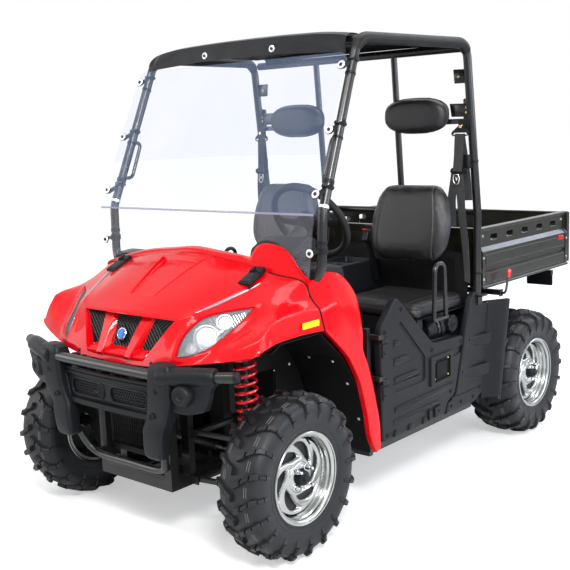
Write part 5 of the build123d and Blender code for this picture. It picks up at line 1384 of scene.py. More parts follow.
new_piece("damper_shafts", mirrored(mm(merged("shafts", shafts))), [BLACK_GLOSS, RUBBER, STEEL],
          "vehicle")


# ---------------------------------------------------------------- bonnet hinges
def hinge_block():
    """Strap hinge lying on the bonnet's rear slope, with its knuckles and screws."""
    base, ahead = (HOOD(*HOOD.find(top_flat, (392, y))) for y in (34, 104))
    slope = Vector((0, (ahead - base).y, (ahead - base).z)).normalized()
    up_n = Vector((1, 0, 0)).cross(slope)
    facing = Matrix((Vector((1, 0, 0)), slope, up_n)).transposed().to_4x4()
    parts = Kit()

    def place(along, across, out):
        return base + slope * along + Vector((across, 0, 0)) + up_n * out

    for along, across, out, size, r in ((38, 0, 7, (62, 92, 14), 3.0),
                                        (32, 0, 14.5, (52, 66, 4), 1.4),
                                        (84, -21, 11, (17, 34, 22), 4),
                                        (84, 21, 11, (17, 34, 22), 4),
                                        (92, 0, 10, (22, 26, 17), 4)):
        parts.add(rounded_block("block", size, r, place=place(along, across, out), turn=facing))
    for along, across in ((10, -17), (10, 17), (50, 0)):
        parts.add(lathe_at("screw", place(along, across, 16), up_n,
                           [(0, 5), (1.4, 4.7), (2.2, 3.4), (1.2, 2.6), (1.2, 0.01)], 14), 1)
    return merged("hinge", parts)


new_piece("strap_hinges", mirrored(mm(hinge_block())), [BLACK, BLACK_GLOSS], "hood_body",
          ("hood_hinges",), 40)


# ---------------------------------------------------------------- seam behind the bonnet
rear_edge = [HOOD(HOOD.m, HOOD.n * (0.35 + 0.62 * k / 40)) for k in range(41)]
seam_mesh = bar("seam", [at(p.x, p.y + 1.5, p.z + 0.3) for p in rear_edge],
                circle_profile(0.0032, 8))
new_piece("bonnet_seam", mirrored(seam_mesh), SEAL_AND_SHADE, "vehicle", (), 60)


# ---------------------------------------------------------------- front bumper
def solid_between(name, outline, front_y, back_y):
    """Rings of an (x, z) outline whose front is a function of x: a swelling moulding."""
    cx = sum(x for x, _ in outline) / len(outline)
    cz = sum(z for _, z in outline) / len(outline)
    rings = []
    for share, depth in ((1.0, 1.0), (1.0, 0.3), (0.985, 0.12), (0.95, 0.03), (0.88, 0.0)):
        ring = []
        for x, z in outline:
            px, pz = cx + (x - cx) * share, cz + (z - cz) * share
            f = front_y(px)
            ring.append(at(px, f + (back_y - f) * depth, pz))
        rings.append(ring)
    return loft(name, rings)


def upright():
    """Rows across the pad's width from top to foot: a box section with soft corners."""
    stations = [          # z, inner x, outer x, front y, back y
        (782, 300, 356, -366, -322), (778, 282, 372, -374, -318), (766, 270, 380, -378, -312),
        (740, 266, 382, -382, -306), (690, 262, 380, -382, -304), (640, 258, 374, -381, -304),
        (600, 250, 360, -378, -306), (572, 240, 348, -374, -308), (548, 228, 336, -372, -310),
        (530, 222, 326, -378, -314), (505, 220, 322, -380, -316), (460, 218, 318, -378, -318),
        (426, 218, 314, -374, -320), (414, 226, 306, -368, -324), (408, 240, 292, -360, -330),
    ]
    rings = []
    for z, x0, x1, f, b in stations:
        ring = []
        r = min(16, (x1 - x0) / 3)
        for cx, cy, a0 in ((x1 - r, b - r, 0), (x0 + r, b - r, 90), (x0 + r, f + r, 180),
                           (x1 - r, f + r, 270)):
            for k in range(5):
                a = radians(a0 + 22.5 * k)
                ring.append(at(cx + r * cos(a), cy + r * sin(a), z))
        rings.append(ring)
    return loft("upright", rings)


sleeve_a, sleeve_b = Vector((330, -362, 734.5)), Vector((536, -290, 744))
way = (sleeve_b - sleeve_a).normalized()
length = (sleeve_b - sleeve_a).length
sleeve = lathe_at("sleeve", sleeve_a, way,
                  [(-14, 0.01), (-14, 30), (0, 36), (length - 30, 35), (length - 4, 34),
                   (length, 31), (length, 21), (length - 12, 20)], 40)
wing_line = [(352, 742), (420, 738), (536, 728), (528, 690), (510, 634), (490, 616), (420, 600),
             (352, 604)]


def wing_front(x):
    """y of the bumper wing's face, swept back outwards."""
    return -352 + 30 * ((x - 350) / 180.0) ** 1.3


wing = solid_between("wing", flat_spline(wing_line, 4), wing_front, -296)
boss_at = Vector((424, -352, 676))
boss_way = Vector((0.15, -0.98, 0.02)).normalized()
boss = lathe_at("boss", boss_at, boss_way, [(-26, 43), (4, 42), (14, 38), (20, 33), (21.5, 30),
                                            (20.5, 28.5), (20.5, 14), (17, 10), (17, 0.01)], 40)
pads = Kit(upright(), mm(sleeve), wing, mm(boss))
for x, y, z in ((318, -382, 682), (285, -381.5, 582)):
    cup = lathe_at("cup", (x, y + 0.6, z), (0, -1, 0),
                   [(0.2, 13.5), (1.8, 12.6), (1.2, 11.2), (-0.2, 11.0)], 24)
    pads.add(mm(cup))
    # the flat black disc in each cup is painted shade: it stands for the dark inside of the bolt
    # hole
    hole = lathe_at("hole", (x, y + 0.6, z), (0, -1, 0),
                    [(0.5, 11.2), (0.7, 0.01)], 24)
    pads.add(mm(hole), 1)
new_piece("bumper_mouldings", mirrored(pads), [BLACK, SEAL_AND_SHADE], "vehicle", ("bumper_pads",), 40)

# tubes
bar_route = [at(-609, -259, 747), at(-400, -346, 738), at(-330, -359, 734.5), at(0, -364, 734.5),
             at(330, -359, 734.5), at(400, -346, 738), at(609, -259, 747)]
bar_parts = Kit(bar("tube", spline(bar_route, 8), circle_profile(0.0205, 24), None))
for s in (1, -1):
    way = Vector((s * 209, 87, 9)).normalized()
    bar_parts.add(turned("cap", (s * 607, -259.8, 747), way,
                         [(-10, 20.4), (2, 21.4), (8, 21), (11, 17), (12, 0.01)], 24), 1)
low_route = [at(-252, -300, 408), at(-238, -288, 372), at(-214, -274, 338), at(-160, -268, 322),
             at(0, -266, 320), at(160, -268, 322), at(214, -274, 338), at(238, -288, 372),
             at(252, -300, 408)]
bar_parts.add(bar("low", spline(low_route, 8), circle_profile(0.0145, 20), None))
for x in (-190, 190):
    for long, y, z in ((0.09, -297, 712), (0.04, -250, 328)):
        bar_parts.add(rounded_block("stay", (0.024, long, 0.024), 0.004, place=at(x, y, z)), 1)
new_piece("bumper_tubes", bar_parts, [BLACK_GLOSS, BLACK], "vehicle",
          ("front_bumper_bar",), 50)


# panel with two meshed windows
def soften(poly, r, n=4):
    """The outline with its corners rounded."""
    out = []
    m = len(poly)
    for i in range(m):
        a, c, b = (Vector(poly[(i + k) % m]) for k in (-1, 0, 1))
        t = min(r, (a - c).length * 0.45, (b - c).length * 0.45)
        p, q = c + (a - c).normalized() * t, c + (b - c).normalized() * t
        for k in range(n + 1):
            w = k / n
            out.append(tuple(p * (1 - w) ** 2 + c * (2 * w * (1 - w)) + q * w ** 2))
    return out


def soft_box(x0, z0, x1, z1, r, n=4):
    """A rectangle with softened corners."""
    return soften([(x0, z0), (x1, z0), (x1, z1), (x0, z1)], r, n)


def filled(name, outline, holes, place):
    """A flat skin with holes, in mm of its own plane; place brings (u, v) to the row frame."""
    verts, edges = [], []
    for loop in [outline] + list(holes):
        base = len(verts)
        verts += [Vector(p) for p in loop]
        edges += [(base + i, base + (i + 1) % len(loop)) for i in range(len(loop))]
    pts, _, faces, *_ = geometry.delaunay_2d_cdt(verts, edges, [], 0, 1e-4)

    def kept(face):
        c = sum((pts[i] for i in face), Vector((0, 0))) / len(face)
        return inside(outline, c.x, c.y) and not any(inside(h, c.x, c.y) for h in holes)

    return raw_mesh(name, [place(p.x, p.y) for p in pts], [f for f in faces if kept(f)])


def cut_plate(name, outline, holes, place, thick):
    """A plate with holes; place maps the flat outline's (u, v) in mm to stations in mm."""
    return finish_shell(filled(name, outline, holes, place), thick)


def mesa(name, outline, place, low, high, edge=1.6, top=True):
    """A raised or sunk block: its outline at one level, drawn in to another, both in mm."""
    inner = grown(outline, -edge)
    loops = [[place(u, v, low) for u, v in outline],
             [place(u, v, high - (high - low) * 0.22) for u, v in grown(outline, -edge * 0.25)],
             [place(u, v, high) for u, v in inner]]
    parts = Kit(loft(name, loops, False))
    if top:
        parts.add(filled("top", inner, [], lambda u, v: place(u, v, high)))
    return merged(name, parts)


def round_rect(x0, z0, x1, z1, r, n=6):
    """A rectangle with its corners rounded by arcs of n steps."""
    out = []
    for cx, cz, a0 in ((x1 - r, z1 - r, 0), (x0 + r, z1 - r, 90), (x0 + r, z0 + r, 180),
                       (x1 - r, z0 + r, 270)):
        out += [(cx + r * cos(radians(a0 + 90 * k / n)), cz + r * sin(radians(a0 + 90 * k / n)))
                for k in range(n + 1)]
    return out


def panel_y(x):
    """y of the bumper panel's back, slightly bowed."""
    return -349 + 0.00016 * x * x


PANEL_OUT = [(-270, 692), (270, 692), (240, 556), (-240, 556)]
WINDOWS = [round_rect(20, 590, 226, 654, 26), round_rect(-226, 590, -20, 654, 26)]
plate = cut_plate("bumper_plate", PANEL_OUT, WINDOWS, lambda x, z: Vector((x, panel_y(x), z)), 4.0)
face_parts = Kit(plate)
for line in ([(-268, 690), (268, 690)], [(-264, 676), (264, 676)], [(-244, 568), (244, 568)],
             [(-241, 558), (241, 558)]):
    stops = [line[0][0] + (line[1][0] - line[0][0]) * k / 12 for k in range(13)]
    route = [at(x, panel_y(x) - 5, line[0][1]) for x in stops]
    face_parts.add(bar("ridge", route, [(-0.0052, -0.0052), (0.0052, -0.0052), (0.0066, 0),
                                        (0.0052, 0.0052), (-0.0052, 0.0052)], Vector((0, 0, 1))))
for s in (1, -1):
    route = [at(s * (270 - 30 * k / 8), panel_y(s * 255) - 4, 690 - 134 * k / 8) for k in range(9)]
    face_parts.add(bar("edge", route, circle_profile(0.006, 8), None))
for hole in WINDOWS:
    route = [at(x, panel_y(x) - 1.5, z) for x, z in hole]
    route.append(route[0])
    face_parts.add(bar("rim", route, circle_profile(0.0034, 8), None))
new_piece("bumper_grille_panel", face_parts, BLACK, "vehicle", ("bumper_panel",), 40)


def honeycomb(name, outline, place, cell, wall, thick):
    """A net of short bars along the edges of hexagons whose centres lie cell apart."""
    verts, faces, seen = [], [], set()
    xs, zs = [p[0] for p in outline], [p[1] for p in outline]
    row_step, corner = cell * 0.866, cell / 1.732

    def strut(a, b):
        n = Vector((a[1] - b[1], b[0] - a[0])).normalized() * wall / 2
        i = len(verts)
        for px, pz in ((a[0] + n.x, a[1] + n.y), (a[0] - n.x, a[1] - n.y),
                       (b[0] - n.x, b[1] - n.y), (b[0] + n.x, b[1] + n.y)):
            p = place(px, pz)
            verts.extend((p, p + Vector((0, thick, 0))))
        faces.extend([(i, i + 2, i + 4, i + 6), (i + 1, i + 7, i + 5, i + 3),
                      (i, i + 1, i + 3, i + 2), (i + 4, i + 5, i + 7, i + 6)])

    row, z = 0, min(zs)
    while z < max(zs) + row_step:
        x = min(xs) + (cell / 2 if row % 2 else 0)
        while x < max(xs) + cell:
            corners = [(x + corner * sin(tau * k / 6), z + corner * cos(tau * k / 6))
                       for k in range(6)]
            for a, b in zip(corners, corners[1:] + corners[:1]):
                key = tuple(sorted((round(u, 1), round(v, 1)) for u, v in (a, b)))
                if key not in seen and inside(outline, (a[0] + b[0]) / 2, (a[1] + b[1]) / 2):
                    seen.add(key)
                    strut(a, b)
            x += cell
        z += row_step
        row += 1
    return raw_mesh(name, verts, faces)


nets = Kit(*(honeycomb("net", hole, lambda x, z: at(x, panel_y(x) + 3, z), 13.0, 3.6, 0.003)
             for hole in WINDOWS))
new_piece("bumper_nets", nets, BLACK, "vehicle")

# radiator with its guard, seen between the uprights
core = Kit()
for x in range(-160, 163, 14):
    core.add(rounded_block("fin", (0.0022, 0.03, 0.29), 0.0008, 1, at(x, -190, 488)))
for z in range(350, 626, 25):
    core.add(rounded_block("row", (0.325, 0.018, 0.004), 0.001, 1, at(0, -190, z)))
for x, z, w, h in ((0, 628, 340, 24), (0, 346, 340, 24), (-168, 488, 14, 306), (168, 488, 14, 306)):
    core.add(rounded_block("tank", (w / 1000, 0.04, h / 1000), 0.004, place=at(x, -190, z)), 1)
for x in (-120, 120):
    core.add(rounded_block("tab", (0.04, 0.008, 0.07), 0.002, place=at(x, -201, 668)), 1)
new_piece("radiator_core", core, [DARK_CAST, BLACK], "vehicle", ("radiator",), 40)


# ---------------------------------------------------------------- half doors
SKIN_X = 650.0           # x of the doors' outer skin, in mm


def on_side(y, z, out=0.0):
    """A place on the vehicle's left flank, so many mm outboard of it."""
    return at(SKIN_X + out, y, z)


def shell(name, outline, holes, thick, edge=5.0):
    """A moulding's outer skin with rolled edges, its rim and its flat back."""
    rings = []
    for inset, out in ((0, -thick), (0, -edge), (edge * 0.3, -edge * 0.3), (edge, 0)):
        rings.append([on_side(y, z, out) for y, z in grown(outline, -inset)])
    side = loft(name, rings, False)
    face = filled(name, grown(outline, -edge), holes, on_side)
    back_face = filled(name, outline, [], lambda y, z: on_side(y, z, -thick))
    return Kit(side, face, back_face)


def screw(y, z, out=0.0, r=7.5):
    """A recessed round-headed screw with a hexagon socket."""
    place = Vector((SKIN_X + out, y, z))
    head = lathe_at("screw", place, (1, 0, 0),
                    [(-0.5, r + 5), (1.6, r + 4.2), (2.0, r + 2.4), (0.2, r + 1.0), (0.3, r),
                     (3.4, r * 0.86), (4.4, r * 0.6), (4.4, r * 0.46), (1.6, r * 0.4),
                     (1.6, 0.01)], 20)
    return mm(head)


def wedge(name, line, low, high, start, end):
    """A block flush at the level low and proud at the level high, its edges rolled over."""
    def out(z, part):
        return start + 0.3 + (end - start) * part * min(max((z - low) / (high - low), 0), 1) ** 0.6

    rings = [[on_side(y, z, start) for y, z in line]]
    for inset, part in ((0.8, 0.55), (3.0, 0.88), (6.5, 1.0)):
        rings.append([on_side(y, z, out(z, part)) for y, z in grown(line, -inset)])
    return loft(name, rings)


DOOR_LINE = soften([(546, 776), (668, 896), (952, 640), (1213, 630), (1129, 363), (1064, 346),
                    (1042, 291), (546, 291)], 30, 6)
RECESS = soften([(637, 486), (637, 712), (694, 786), (882, 596), (882, 500), (868, 488)], 9)
LATCH = soften([(1120, 543), (1196, 556), (1204, 588), (1120, 586)], 5)
FRAME_OUT = soften([(914, 446), (916, 582), (1106, 584), (1104, 450)], 9)
FRAME_IN = soften([(946, 462), (948, 562), (1078, 564), (1076, 466)], 5)
door_parts = shell("door", DOOR_LINE, [RECESS, LATCH, FRAME_OUT], 29.0, 8.0)
door_parts.add(mesa("recess", RECESS, on_side, 0, -7, 3.0))
door_parts.add(mesa("latch", LATCH, on_side, 0, -6, 2.5))
# steps inside the recess, flush at their lower edge and proud at their upper one
for y0, y_top, y_foot, low, high in ((646, 684, 706, 676, 705), (646, 747, 780, 595, 629),
                                     (646, 829, 842, 517, 548)):
    foot = [(y0, low), (y0, high), (y_top, high + 2), (y_foot, low + 3)]
    door_parts.add(wedge("step", soften(foot, 3, 3), low, high, -7.0, 1.8))
for line, low, high in ((soften([(640, 392), (640, 424), (1104, 431), (1099, 399)], 6), 0, 6.0),
                        (soften([(630, 345), (630, 372), (986, 377), (994, 350)], 6), 0, 4.0)):
    z0 = min(p[1] for p in line)
    door_parts.add(wedge("rib", line, z0, z0 + 32, -0.4, high))
# frame plate with its sunk window and four brass screws
door_parts.add(mesa("frame", FRAME_OUT, on_side, 0, 9, 7.0, False))
door_parts.add(filled("frame", grown(FRAME_OUT, -7.0), [FRAME_IN], lambda y, z: on_side(y, z, 9)))
door_parts.add(mesa("pocket", FRAME_IN, on_side, 9, -1, 1.5), 3)
WINDOW = soften([(968, 478), (969, 546), (1056, 548), (1055, 481)], 3)
door_parts.add(mesa("window", WINDOW, on_side, -1, 5, 3.0), 3)
for y, z in ((956, 474), (957, 552), (1068, 554), (1067, 477)):
    door_parts.add(turned("brass", (SKIN_X - 1, y, z), (1, 0, 0),
                          [(0, 5), (2.5, 4.6), (3.6, 3), (2.4, 2.2), (2.4, 0.01)], 14), 2)
for y, z in ((703, 836), (580, 757), (938, 612), (1186, 604), (1090, 390), (584, 316)):
    door_parts.add(screw(y, z))
# half-round bumps and latch blocks along the foot, hinge pads at the front
for y in (647, 757, 869):
    arch = [(y + 21 * cos(radians(a)), 298 + 27 * sin(radians(a))) for a in range(0, 181, 15)]
    door_parts.add(mesa("bump", arch, on_side, -0.4, 7.0, 6.0))
for line in ([(896, 300), (896, 346), (922, 348), (924, 302)],
             [(944, 302), (944, 348), (1000, 352), (1000, 306)]):
    door_parts.add(mesa("block", soften(line, 4), on_side, -0.4, 9, 5.0))
door_parts.add(screw(974, 328, 8.0, 5.0))
door_parts.add(screw(1104, 356, 0.0, 4.5))
for z in (684, 504):
    pad = soften([(553, z - 32), (553, z + 26), (602, z + 26), (590, z - 8), (576, z - 30)], 6)
    door_parts.add(mesa("hinge_pad", pad, on_side, -0.4, 6.0, 4.5))
    door_parts.add(screw(568, z - 12, 4.0, 5.0))
for z in (560.0, 735.0):
    door_parts.add(rounded_block("leaf", (0.005, 0.05, 0.022), 0.0015,
                                 place=on_side(576, z - 11, 1.5)))
    door_parts.add(turned("barrel", (657, 549, z - 20), (0, 0, 1),
                          [(0, 3), (0.3, 5.6), (1, 6), (19.4, 6), (19.9, 5.4)], 16))
door_mesh = merged("door_moulding", door_parts)
BRASS = metal("brass_screw", (0.83, 0.62, 0.25), (0.2, 0.3))
door_covers = [BLACK, BLACK_GLOSS, BRASS, SEAL_AND_SHADE]
new_piece("door_moulding_left", door_mesh, door_covers, "door_left_body", ("door_left",), 34)
new_piece("door_moulding_right", merged("door_right", [(door_mesh, MIRROR_X, None)]), door_covers,
          "door_right_body", ("door_right",), 34)


# ---------------------------------------------------------------- panels behind the doors
SIDE_LINE = soften([(1050, 287), (1070, 338), (1137, 356), (1221, 632), (1290, 796), (1316, 815),
                    (1352, 808), (1362, 750), (1440, 746), (1384, 318), (1306, 287)], 12, 5)
flank = shell("flank", SIDE_LINE, [], 29.0, 8.0)
for low, high, y0, y1 in ((404, 462, 1196, 1400), (548, 604, 1262, 1420)):
    rings = []
    for k in range(9):
        w = k / 8
        y = y0 + (y1 - y0) * w
        out = 24 * w ** 1.6
        z_low, z_high = low + 26 * (1 - w) ** 2, high
        rings.append([on_side(y, z_low, -1), on_side(y, z_low + 4, out * 0.8 + 0.2),
                      on_side(y, (z_low + z_high) / 2, out + 0.5),
                      on_side(y, z_high - 3, out + 2.5),
                      on_side(y, z_high, out + 0.5), on_side(y, z_high + 1.5, -1)])
    flank.add(loft("wedge", rings))


def flare_ring(w):
    """One level of the band thrown out before the rear tyre, w from foot to top."""
    z = 288 + (745 - 288) * w
    y0 = 1366 + 72 * w
    outer = [(0, 0), (6, 18), (16, 36), (30, 56), (44, 80), (50, 100 + 20 * w), (46, 112 + 20 * w)]
    ring = [at(SKIN_X + dx, y0 + dy, z) for dx, dy in outer]
    ring += [at(SKIN_X + dx - 5, y0 + dy + 3, z) for dx, dy in reversed(outer)]
    return ring


flank.add(loft("flare", [flare_ring(k / 10) for k in range(11)]))
shelf = ((622, 1366), (650, 1366), (650, 1440), (692, 1520), (696, 1560), (684, 1560), (622, 1450))
flank.add(slab("shelf", [at(x, y, 744) for x, y in shelf], 0.005, 0.0015))
flank.add(screw(1327, 788))
for y, z in ((1095, 318), (1180, 318), (1290, 318), (1345, 350)):
    flank.add(screw(y, z, 0, 5.0))
seam = [on_side(y, 352, 1.2) for y in (1150, 1230, 1374)]
flank.add(bar("strip", seam, circle_profile(0.0022, 8), None))
new_piece("flank_mouldings", mirrored(flank), BLACK, "vehicle", ("side_panels",), 34)


# ---------------------------------------------------------------- fuel drum
def fuel_filler():
    """Tank body with the strapped drum in front and the ribbed cap on its outer face."""
    drum_at, neck = Vector((548, 1000, 672)), Vector((500, 1176, 684))
    parts = Kit(rounded_block("body", (0.156, 0.316, 0.365), 0.024, 4, at(512, 1158, 457.5)))
    parts.add(turned("drum", drum_at, (0, 1, 0), [
        (0, 0.01), (0, 48), (5, 53), (12, 54), (64, 54), (66, 52), (96, 52), (98, 56), (108, 58),
        (126, 58), (140, 50)], 48))
    parts.add(turned("strap", drum_at, (0, 1, 0), [
        (68, 54), (68, 57.4), (70, 58.4), (82, 58.4), (84, 57.4), (84, 54)], 48), 1)
    parts.add(turned("neck", neck, (1, 0, 0), [
        (0, 46), (60, 46), (64, 44), (86, 42), (90, 38), (96, 37)], 40))
    rings = []
    for x, r, rib in ((94, 30, 0), (95, 39, 0), (97, 40, 2.5), (112, 40, 3), (115, 39, 2.5),
                      (117.5, 36, 0), (118, 30, 0), (116.5, 28, 0), (116.5, 12, 0),
                      (118.5, 11, 0), (118.5, 5, 0), (114, 4.5, 0), (114, 0.02, 0)):
        ring = []
        for k in range(96):
            a = tau * k / 96
            reach = r + rib * max(0.0, cos(10 * a)) ** 0.5
            ring.append(neck + Vector((x, reach * cos(a), reach * sin(a))))
        rings.append(ring)
    parts.add(mm(loft("cap", rings)))
    return parts


new_piece("fuel_filler", fuel_filler(), [BLACK, BLACK_GLOSS], "vehicle", ("fuel_tank",), 40)


# ---------------------------------------------------------------- seats
def swollen(mesh, travel, voxel=0.006, pressure=4.0, frames=20):
    """A closed form remeshed and blown up as cloth, no point going further than travel."""
    obj = bpy.data.objects.new("stuffing", mesh)
    bpy.context.collection.objects.link(obj)
    remesh = obj.modifiers.new("remesh", "REMESH")
    remesh.mode = "VOXEL"
    remesh.voxel_size = voxel
    even = applied(obj)
    obj.modifiers.clear()
    obj.data = even
    rest = [v.co.copy() for v in even.vertices]
    cloth = obj.modifiers.new("cloth", "CLOTH")
    cloth.settings.use_pressure = True
    cloth.settings.uniform_pressure_force = pressure
    cloth.settings.effector_weights.gravity = 0
    cloth.point_cache.frame_start, cloth.point_cache.frame_end = 1, frames
    for k in range(1, frames + 1):
        bpy.context.scene.frame_set(k)
    blown = applied(obj)
    bpy.context.scene.frame_set(1)
    for v, old in zip(blown.vertices, rest):
        way = v.co - old
        if way.length > travel:
            v.co = old + way * (travel / way.length)
    obj.modifiers.clear()
    obj.data = blown
    smooth_over = obj.modifiers.new("smooth", "SMOOTH")
    smooth_over.iterations = 4
    round_over = obj.modifiers.new("round", "SUBSURF")
    round_over.levels = round_over.render_levels = 1
    out = applied(obj)
    bpy.data.objects.remove(obj)
    return out


def middle_of(outline):
    """The mean of an outline's points."""
    return sum((Vector(p) for p in outline), Vector((0, 0))) / len(outline)


def pillow(name, outline, place, levels):
    """A closed form from (share of the outline, out) levels, face to back."""
    mid = middle_of(outline)
    return loft(name, [[place(mid.x + (x - mid.x) * share, mid.y + (z - mid.y) * share, out)
                        for x, z in outline] for share, out in levels])


def oval(half_x, half_z, power, count=72):
    """A superellipse, rounder than a rectangle and squarer than an ellipse."""
    pts = []
    for k in range(count):
        c, s = cos(tau * k / count), sin(tau * k / count)
        r = (abs(c) ** power + abs(s) ** power) ** (-1 / power)
        pts.append((half_x * r * c, half_z * r * s))
    return pts


def piping(name, mesh, place, outline, out, radius=2.8):
    """A welt laid on the skin where a level plane of the piece meets it."""
    graph = BVHTree.FromPolygons([v.co for v in mesh.vertices],
                                 [tuple(p.vertices) for p in mesh.polygons])
    mid = middle_of(outline)
    heart = place(mid.x, mid.y, out)
    path = []
    for x, z in outline:
        far = place(mid.x + (x - mid.x) * 1.4, mid.y + (z - mid.y) * 1.4, out)
        hit = graph.ray_cast(far, (heart - far).normalized())[0]
        if hit:
            path.append(hit)
    normal = (place(mid.x, mid.y, out + 10) - heart).normalized()
    n = len(path)
    rings = []
    for i, p in enumerate(path):
        way = (path[(i + 1) % n] - path[i - 1]).normalized()
        side = way.cross(normal).normalized()
        rings.append([p + (side * cos(tau * k / 8) + normal * sin(tau * k / 8)) * radius / 1000
                      for k in range(8)])
    rings.append(rings[0])
    return loft(name, rings, False)


def mould(mesh, where, change):
    """Moves each point along its own normal by change(place in the piece) in mm."""
    moves = [v.normal * (change(*where(v.co)) / 1000) for v in mesh.vertices]
    for v, move in zip(mesh.vertices, moves):
        v.co += move


def dip(x, middle, half, depth):
    """A soft groove at a middle, so deep and so wide on each side."""
    return -depth * exp(-((x - middle) / half) ** 2)


def clamp(x):
    """The value kept between 0 and 1."""
    return max(0, min(1, x))


SEAT_MID = 387.5         # x of the driver's seat, in mm
SEAT_BASE_Z = 0.7464     # top of the seat box, in metres
LEAN = radians(12)
BACK_AT, BACK_UP = at(385, 1178, 1144), Vector((0, sin(LEAN), cos(LEAN)))
BACK_OUT = Vector((0, -cos(LEAN), sin(LEAN)))


def on_back(x, z, out):
    """x and z from the middle of the driver's backrest, out towards the driver, in mm."""
    return BACK_AT + Vector((x, 0, 0)) / 1000 + BACK_UP * (z / 1000) + BACK_OUT * (out / 1000)


def from_back(p):
    """The reverse of on_back."""
    d = (p - BACK_AT) * 1000
    return d.x, d.dot(BACK_UP), d.dot(BACK_OUT)


BACK_LINE = soften([(-150, -181), (150, -181), (206, -120), (219, -40), (216, 30), (190, 124),
                    (150, 172), (110, 180), (-110, 180), (-150, 172), (-190, 124), (-216, 30),
                    (-219, -40), (-206, -120)], 40, 5)
BACK_LEVELS = [(0.02, 37), (0.4, 36), (0.62, 34), (0.78, 29), (0.88, 22), (0.95, 12), (0.985, 2),
               (1.0, -10), (1.0, -20), (0.98, -30), (0.93, -37), (0.8, -40), (0.02, -40)]
back_pad = swollen(pillow("back", BACK_LINE, on_back, BACK_LEVELS), 0.006)


def back_seams(x, z, out):
    """Curved seams with puckers beside a raised middle, and the groove of the welt."""
    seam = 152 - 0.05 * z - 0.0006 * (z + 20) ** 2
    wing = 1.6 / (1 + exp(-(abs(x) - seam - 8) / 5))
    puckers = 0.5 * noise.noise(Vector((x / 9, z / 16, 3))) * exp(-(abs(abs(x) - seam) / 16))
    face = dip(abs(x), seam, 2.4, 3.4) + wing - 0.8 + puckers
    return clamp((out + 4) / 14) * face + dip(out, -13, 3.0, 2.4)


mould(back_pad, from_back, back_seams)
back_welt = piping("welt", back_pad, on_back, BACK_LINE, -13)

CUSHION_LINE = soft_box(168, 880, 607, 1308, 44, 7)
CUSHION_LEVELS = [(0.02, 818), (0.5, 817), (0.75, 814), (0.88, 810), (0.955, 803), (0.985, 796),
                  (0.975, 791), (0.99, 784), (1.0, 772), (0.995, 760), (0.975, 752), (0.93, 748),
                  (0.02, 748)]


def from_seat(p):
    """A point of the row frame as stations in mm."""
    return p.x * 1000, (p.y + ORIGIN_Y) * 1000, p.z * 1000


seat_pad = swollen(pillow("cushion", CUSHION_LINE, at, CUSHION_LEVELS), 0.007)


def seat_seams(x, y, z):
    """Stitched wings, a hollow where one sits, creases at the front, and the welt's groove."""
    top = clamp((z - 800) / 12)
    across = abs(x - SEAT_MID)
    run = dip(across, 158, 3.4, 4.6) * clamp((y - 905) / 30) + 4.0 / (1 + exp(-(across - 170) / 6))
    hollow = -5.0 * exp(-((x - SEAT_MID) / 110) ** 2 - ((y - 1110) / 120) ** 2)
    crease = 0.7 * noise.noise(Vector((x / 26, y / 14, 5))) * exp(-abs(y - 900) / 60)
    return top * (run - 3.0 + hollow + crease) + dip(z, 792, 2.6, 2.2)


mould(seat_pad, from_seat, seat_seams)
for v in seat_pad.vertices:
    v.co.z = max(v.co.z, SEAT_BASE_Z)
seat_welt = piping("welt", seat_pad, at, CUSHION_LINE, 792)

HEAD_AT = at(363, 1266.5, 1633)


def on_head(x, z, out):
    """x and z from the middle of the driver's headrest, out forwards, in mm."""
    return HEAD_AT + Vector((x, -out, z)) / 1000


def from_head(p):
    """The reverse of on_head."""
    d = (p - HEAD_AT) * 1000
    return d.x, d.z, -d.y


HEAD_LINE = oval(183, 88, 2.5)
HEAD_LEVELS = [(0.02, 25), (0.4, 24.5), (0.65, 22), (0.8, 17), (0.88, 10), (0.92, 2), (0.93, -6),
               (0.95, -9), (1.0, -12), (1.0, -22), (0.96, -27), (0.02, -27)]
head_pad = swollen(pillow("head", HEAD_LINE, on_head, HEAD_LEVELS), 0.004)
mould(head_pad, from_head, lambda x, z, out: dip(out, -8, 3.0, 3.4))

# each pad with its welt on the driver's side, and its mirror image on the other
for name, pad, welt, fill, cad in (
        ("cushion", seat_pad, seat_welt, 0.8, "seat_cushions"),
        ("backrest", back_pad, back_welt, 0.8, "seat_backs"),
        ("headrest", head_pad, None, 0.9, "headrests")):
    for side, matrix in (("left", SAME), ("right", MIRROR_X)):
        parts = Kit()
        for mesh in (pad, welt) if welt else (pad,):
            parts.add(mesh, 0, matrix)
        new_piece(f"{name}_{side}", parts, VINYL, "vehicle", (), 80)
    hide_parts(cad)


# ---------------------------------------------------------------- belts
def strap(name, path, wide, thick=1.6, turn=0.0):
    """Flat webbing along a path, with thickened edges, lying across the vehicle unless turned."""
    path = spline(path, 10)
    rings = []
    n = len(path)
    for i, p in enumerate(path):
        way = (path[min(i + 1, n - 1)] - path[max(i - 1, 0)]).normalized()
        u = Vector((1, 0, 0))
        u.rotate(Matrix.Rotation(turn * i / (n - 1), 3, way).to_quaternion())
        u = (u - way * u.dot(way)).normalized()
        v = way.cross(u)
        half, edge = wide / 2000, thick / 2000
        top = [(-half, 0), (-half + 0.0008, edge * 1.25), (-half + 0.004, edge),
               (half - 0.004, edge), (half - 0.0008, edge * 1.25), (half, 0)]
        profile = top + [(a, -b) for a, b in reversed(top[1:-1])]
        rings.append([p + u * a + v * b for a, b in profile])
    return loft(name, rings)


def wire(name, path, radius):
    """A round wire through stations in mm."""
    return bar(name, spline([at(*p) for p in path], 6), circle_profile(radius / 1000, 10))


def plate_at(name, outline, y, thick, radius=0.8):
    """A flat plate facing forwards, from its (x, z) outline."""
    return slab(name, [at(x, y, z) for x, z in outline], thick / 1000, radius / 1000)


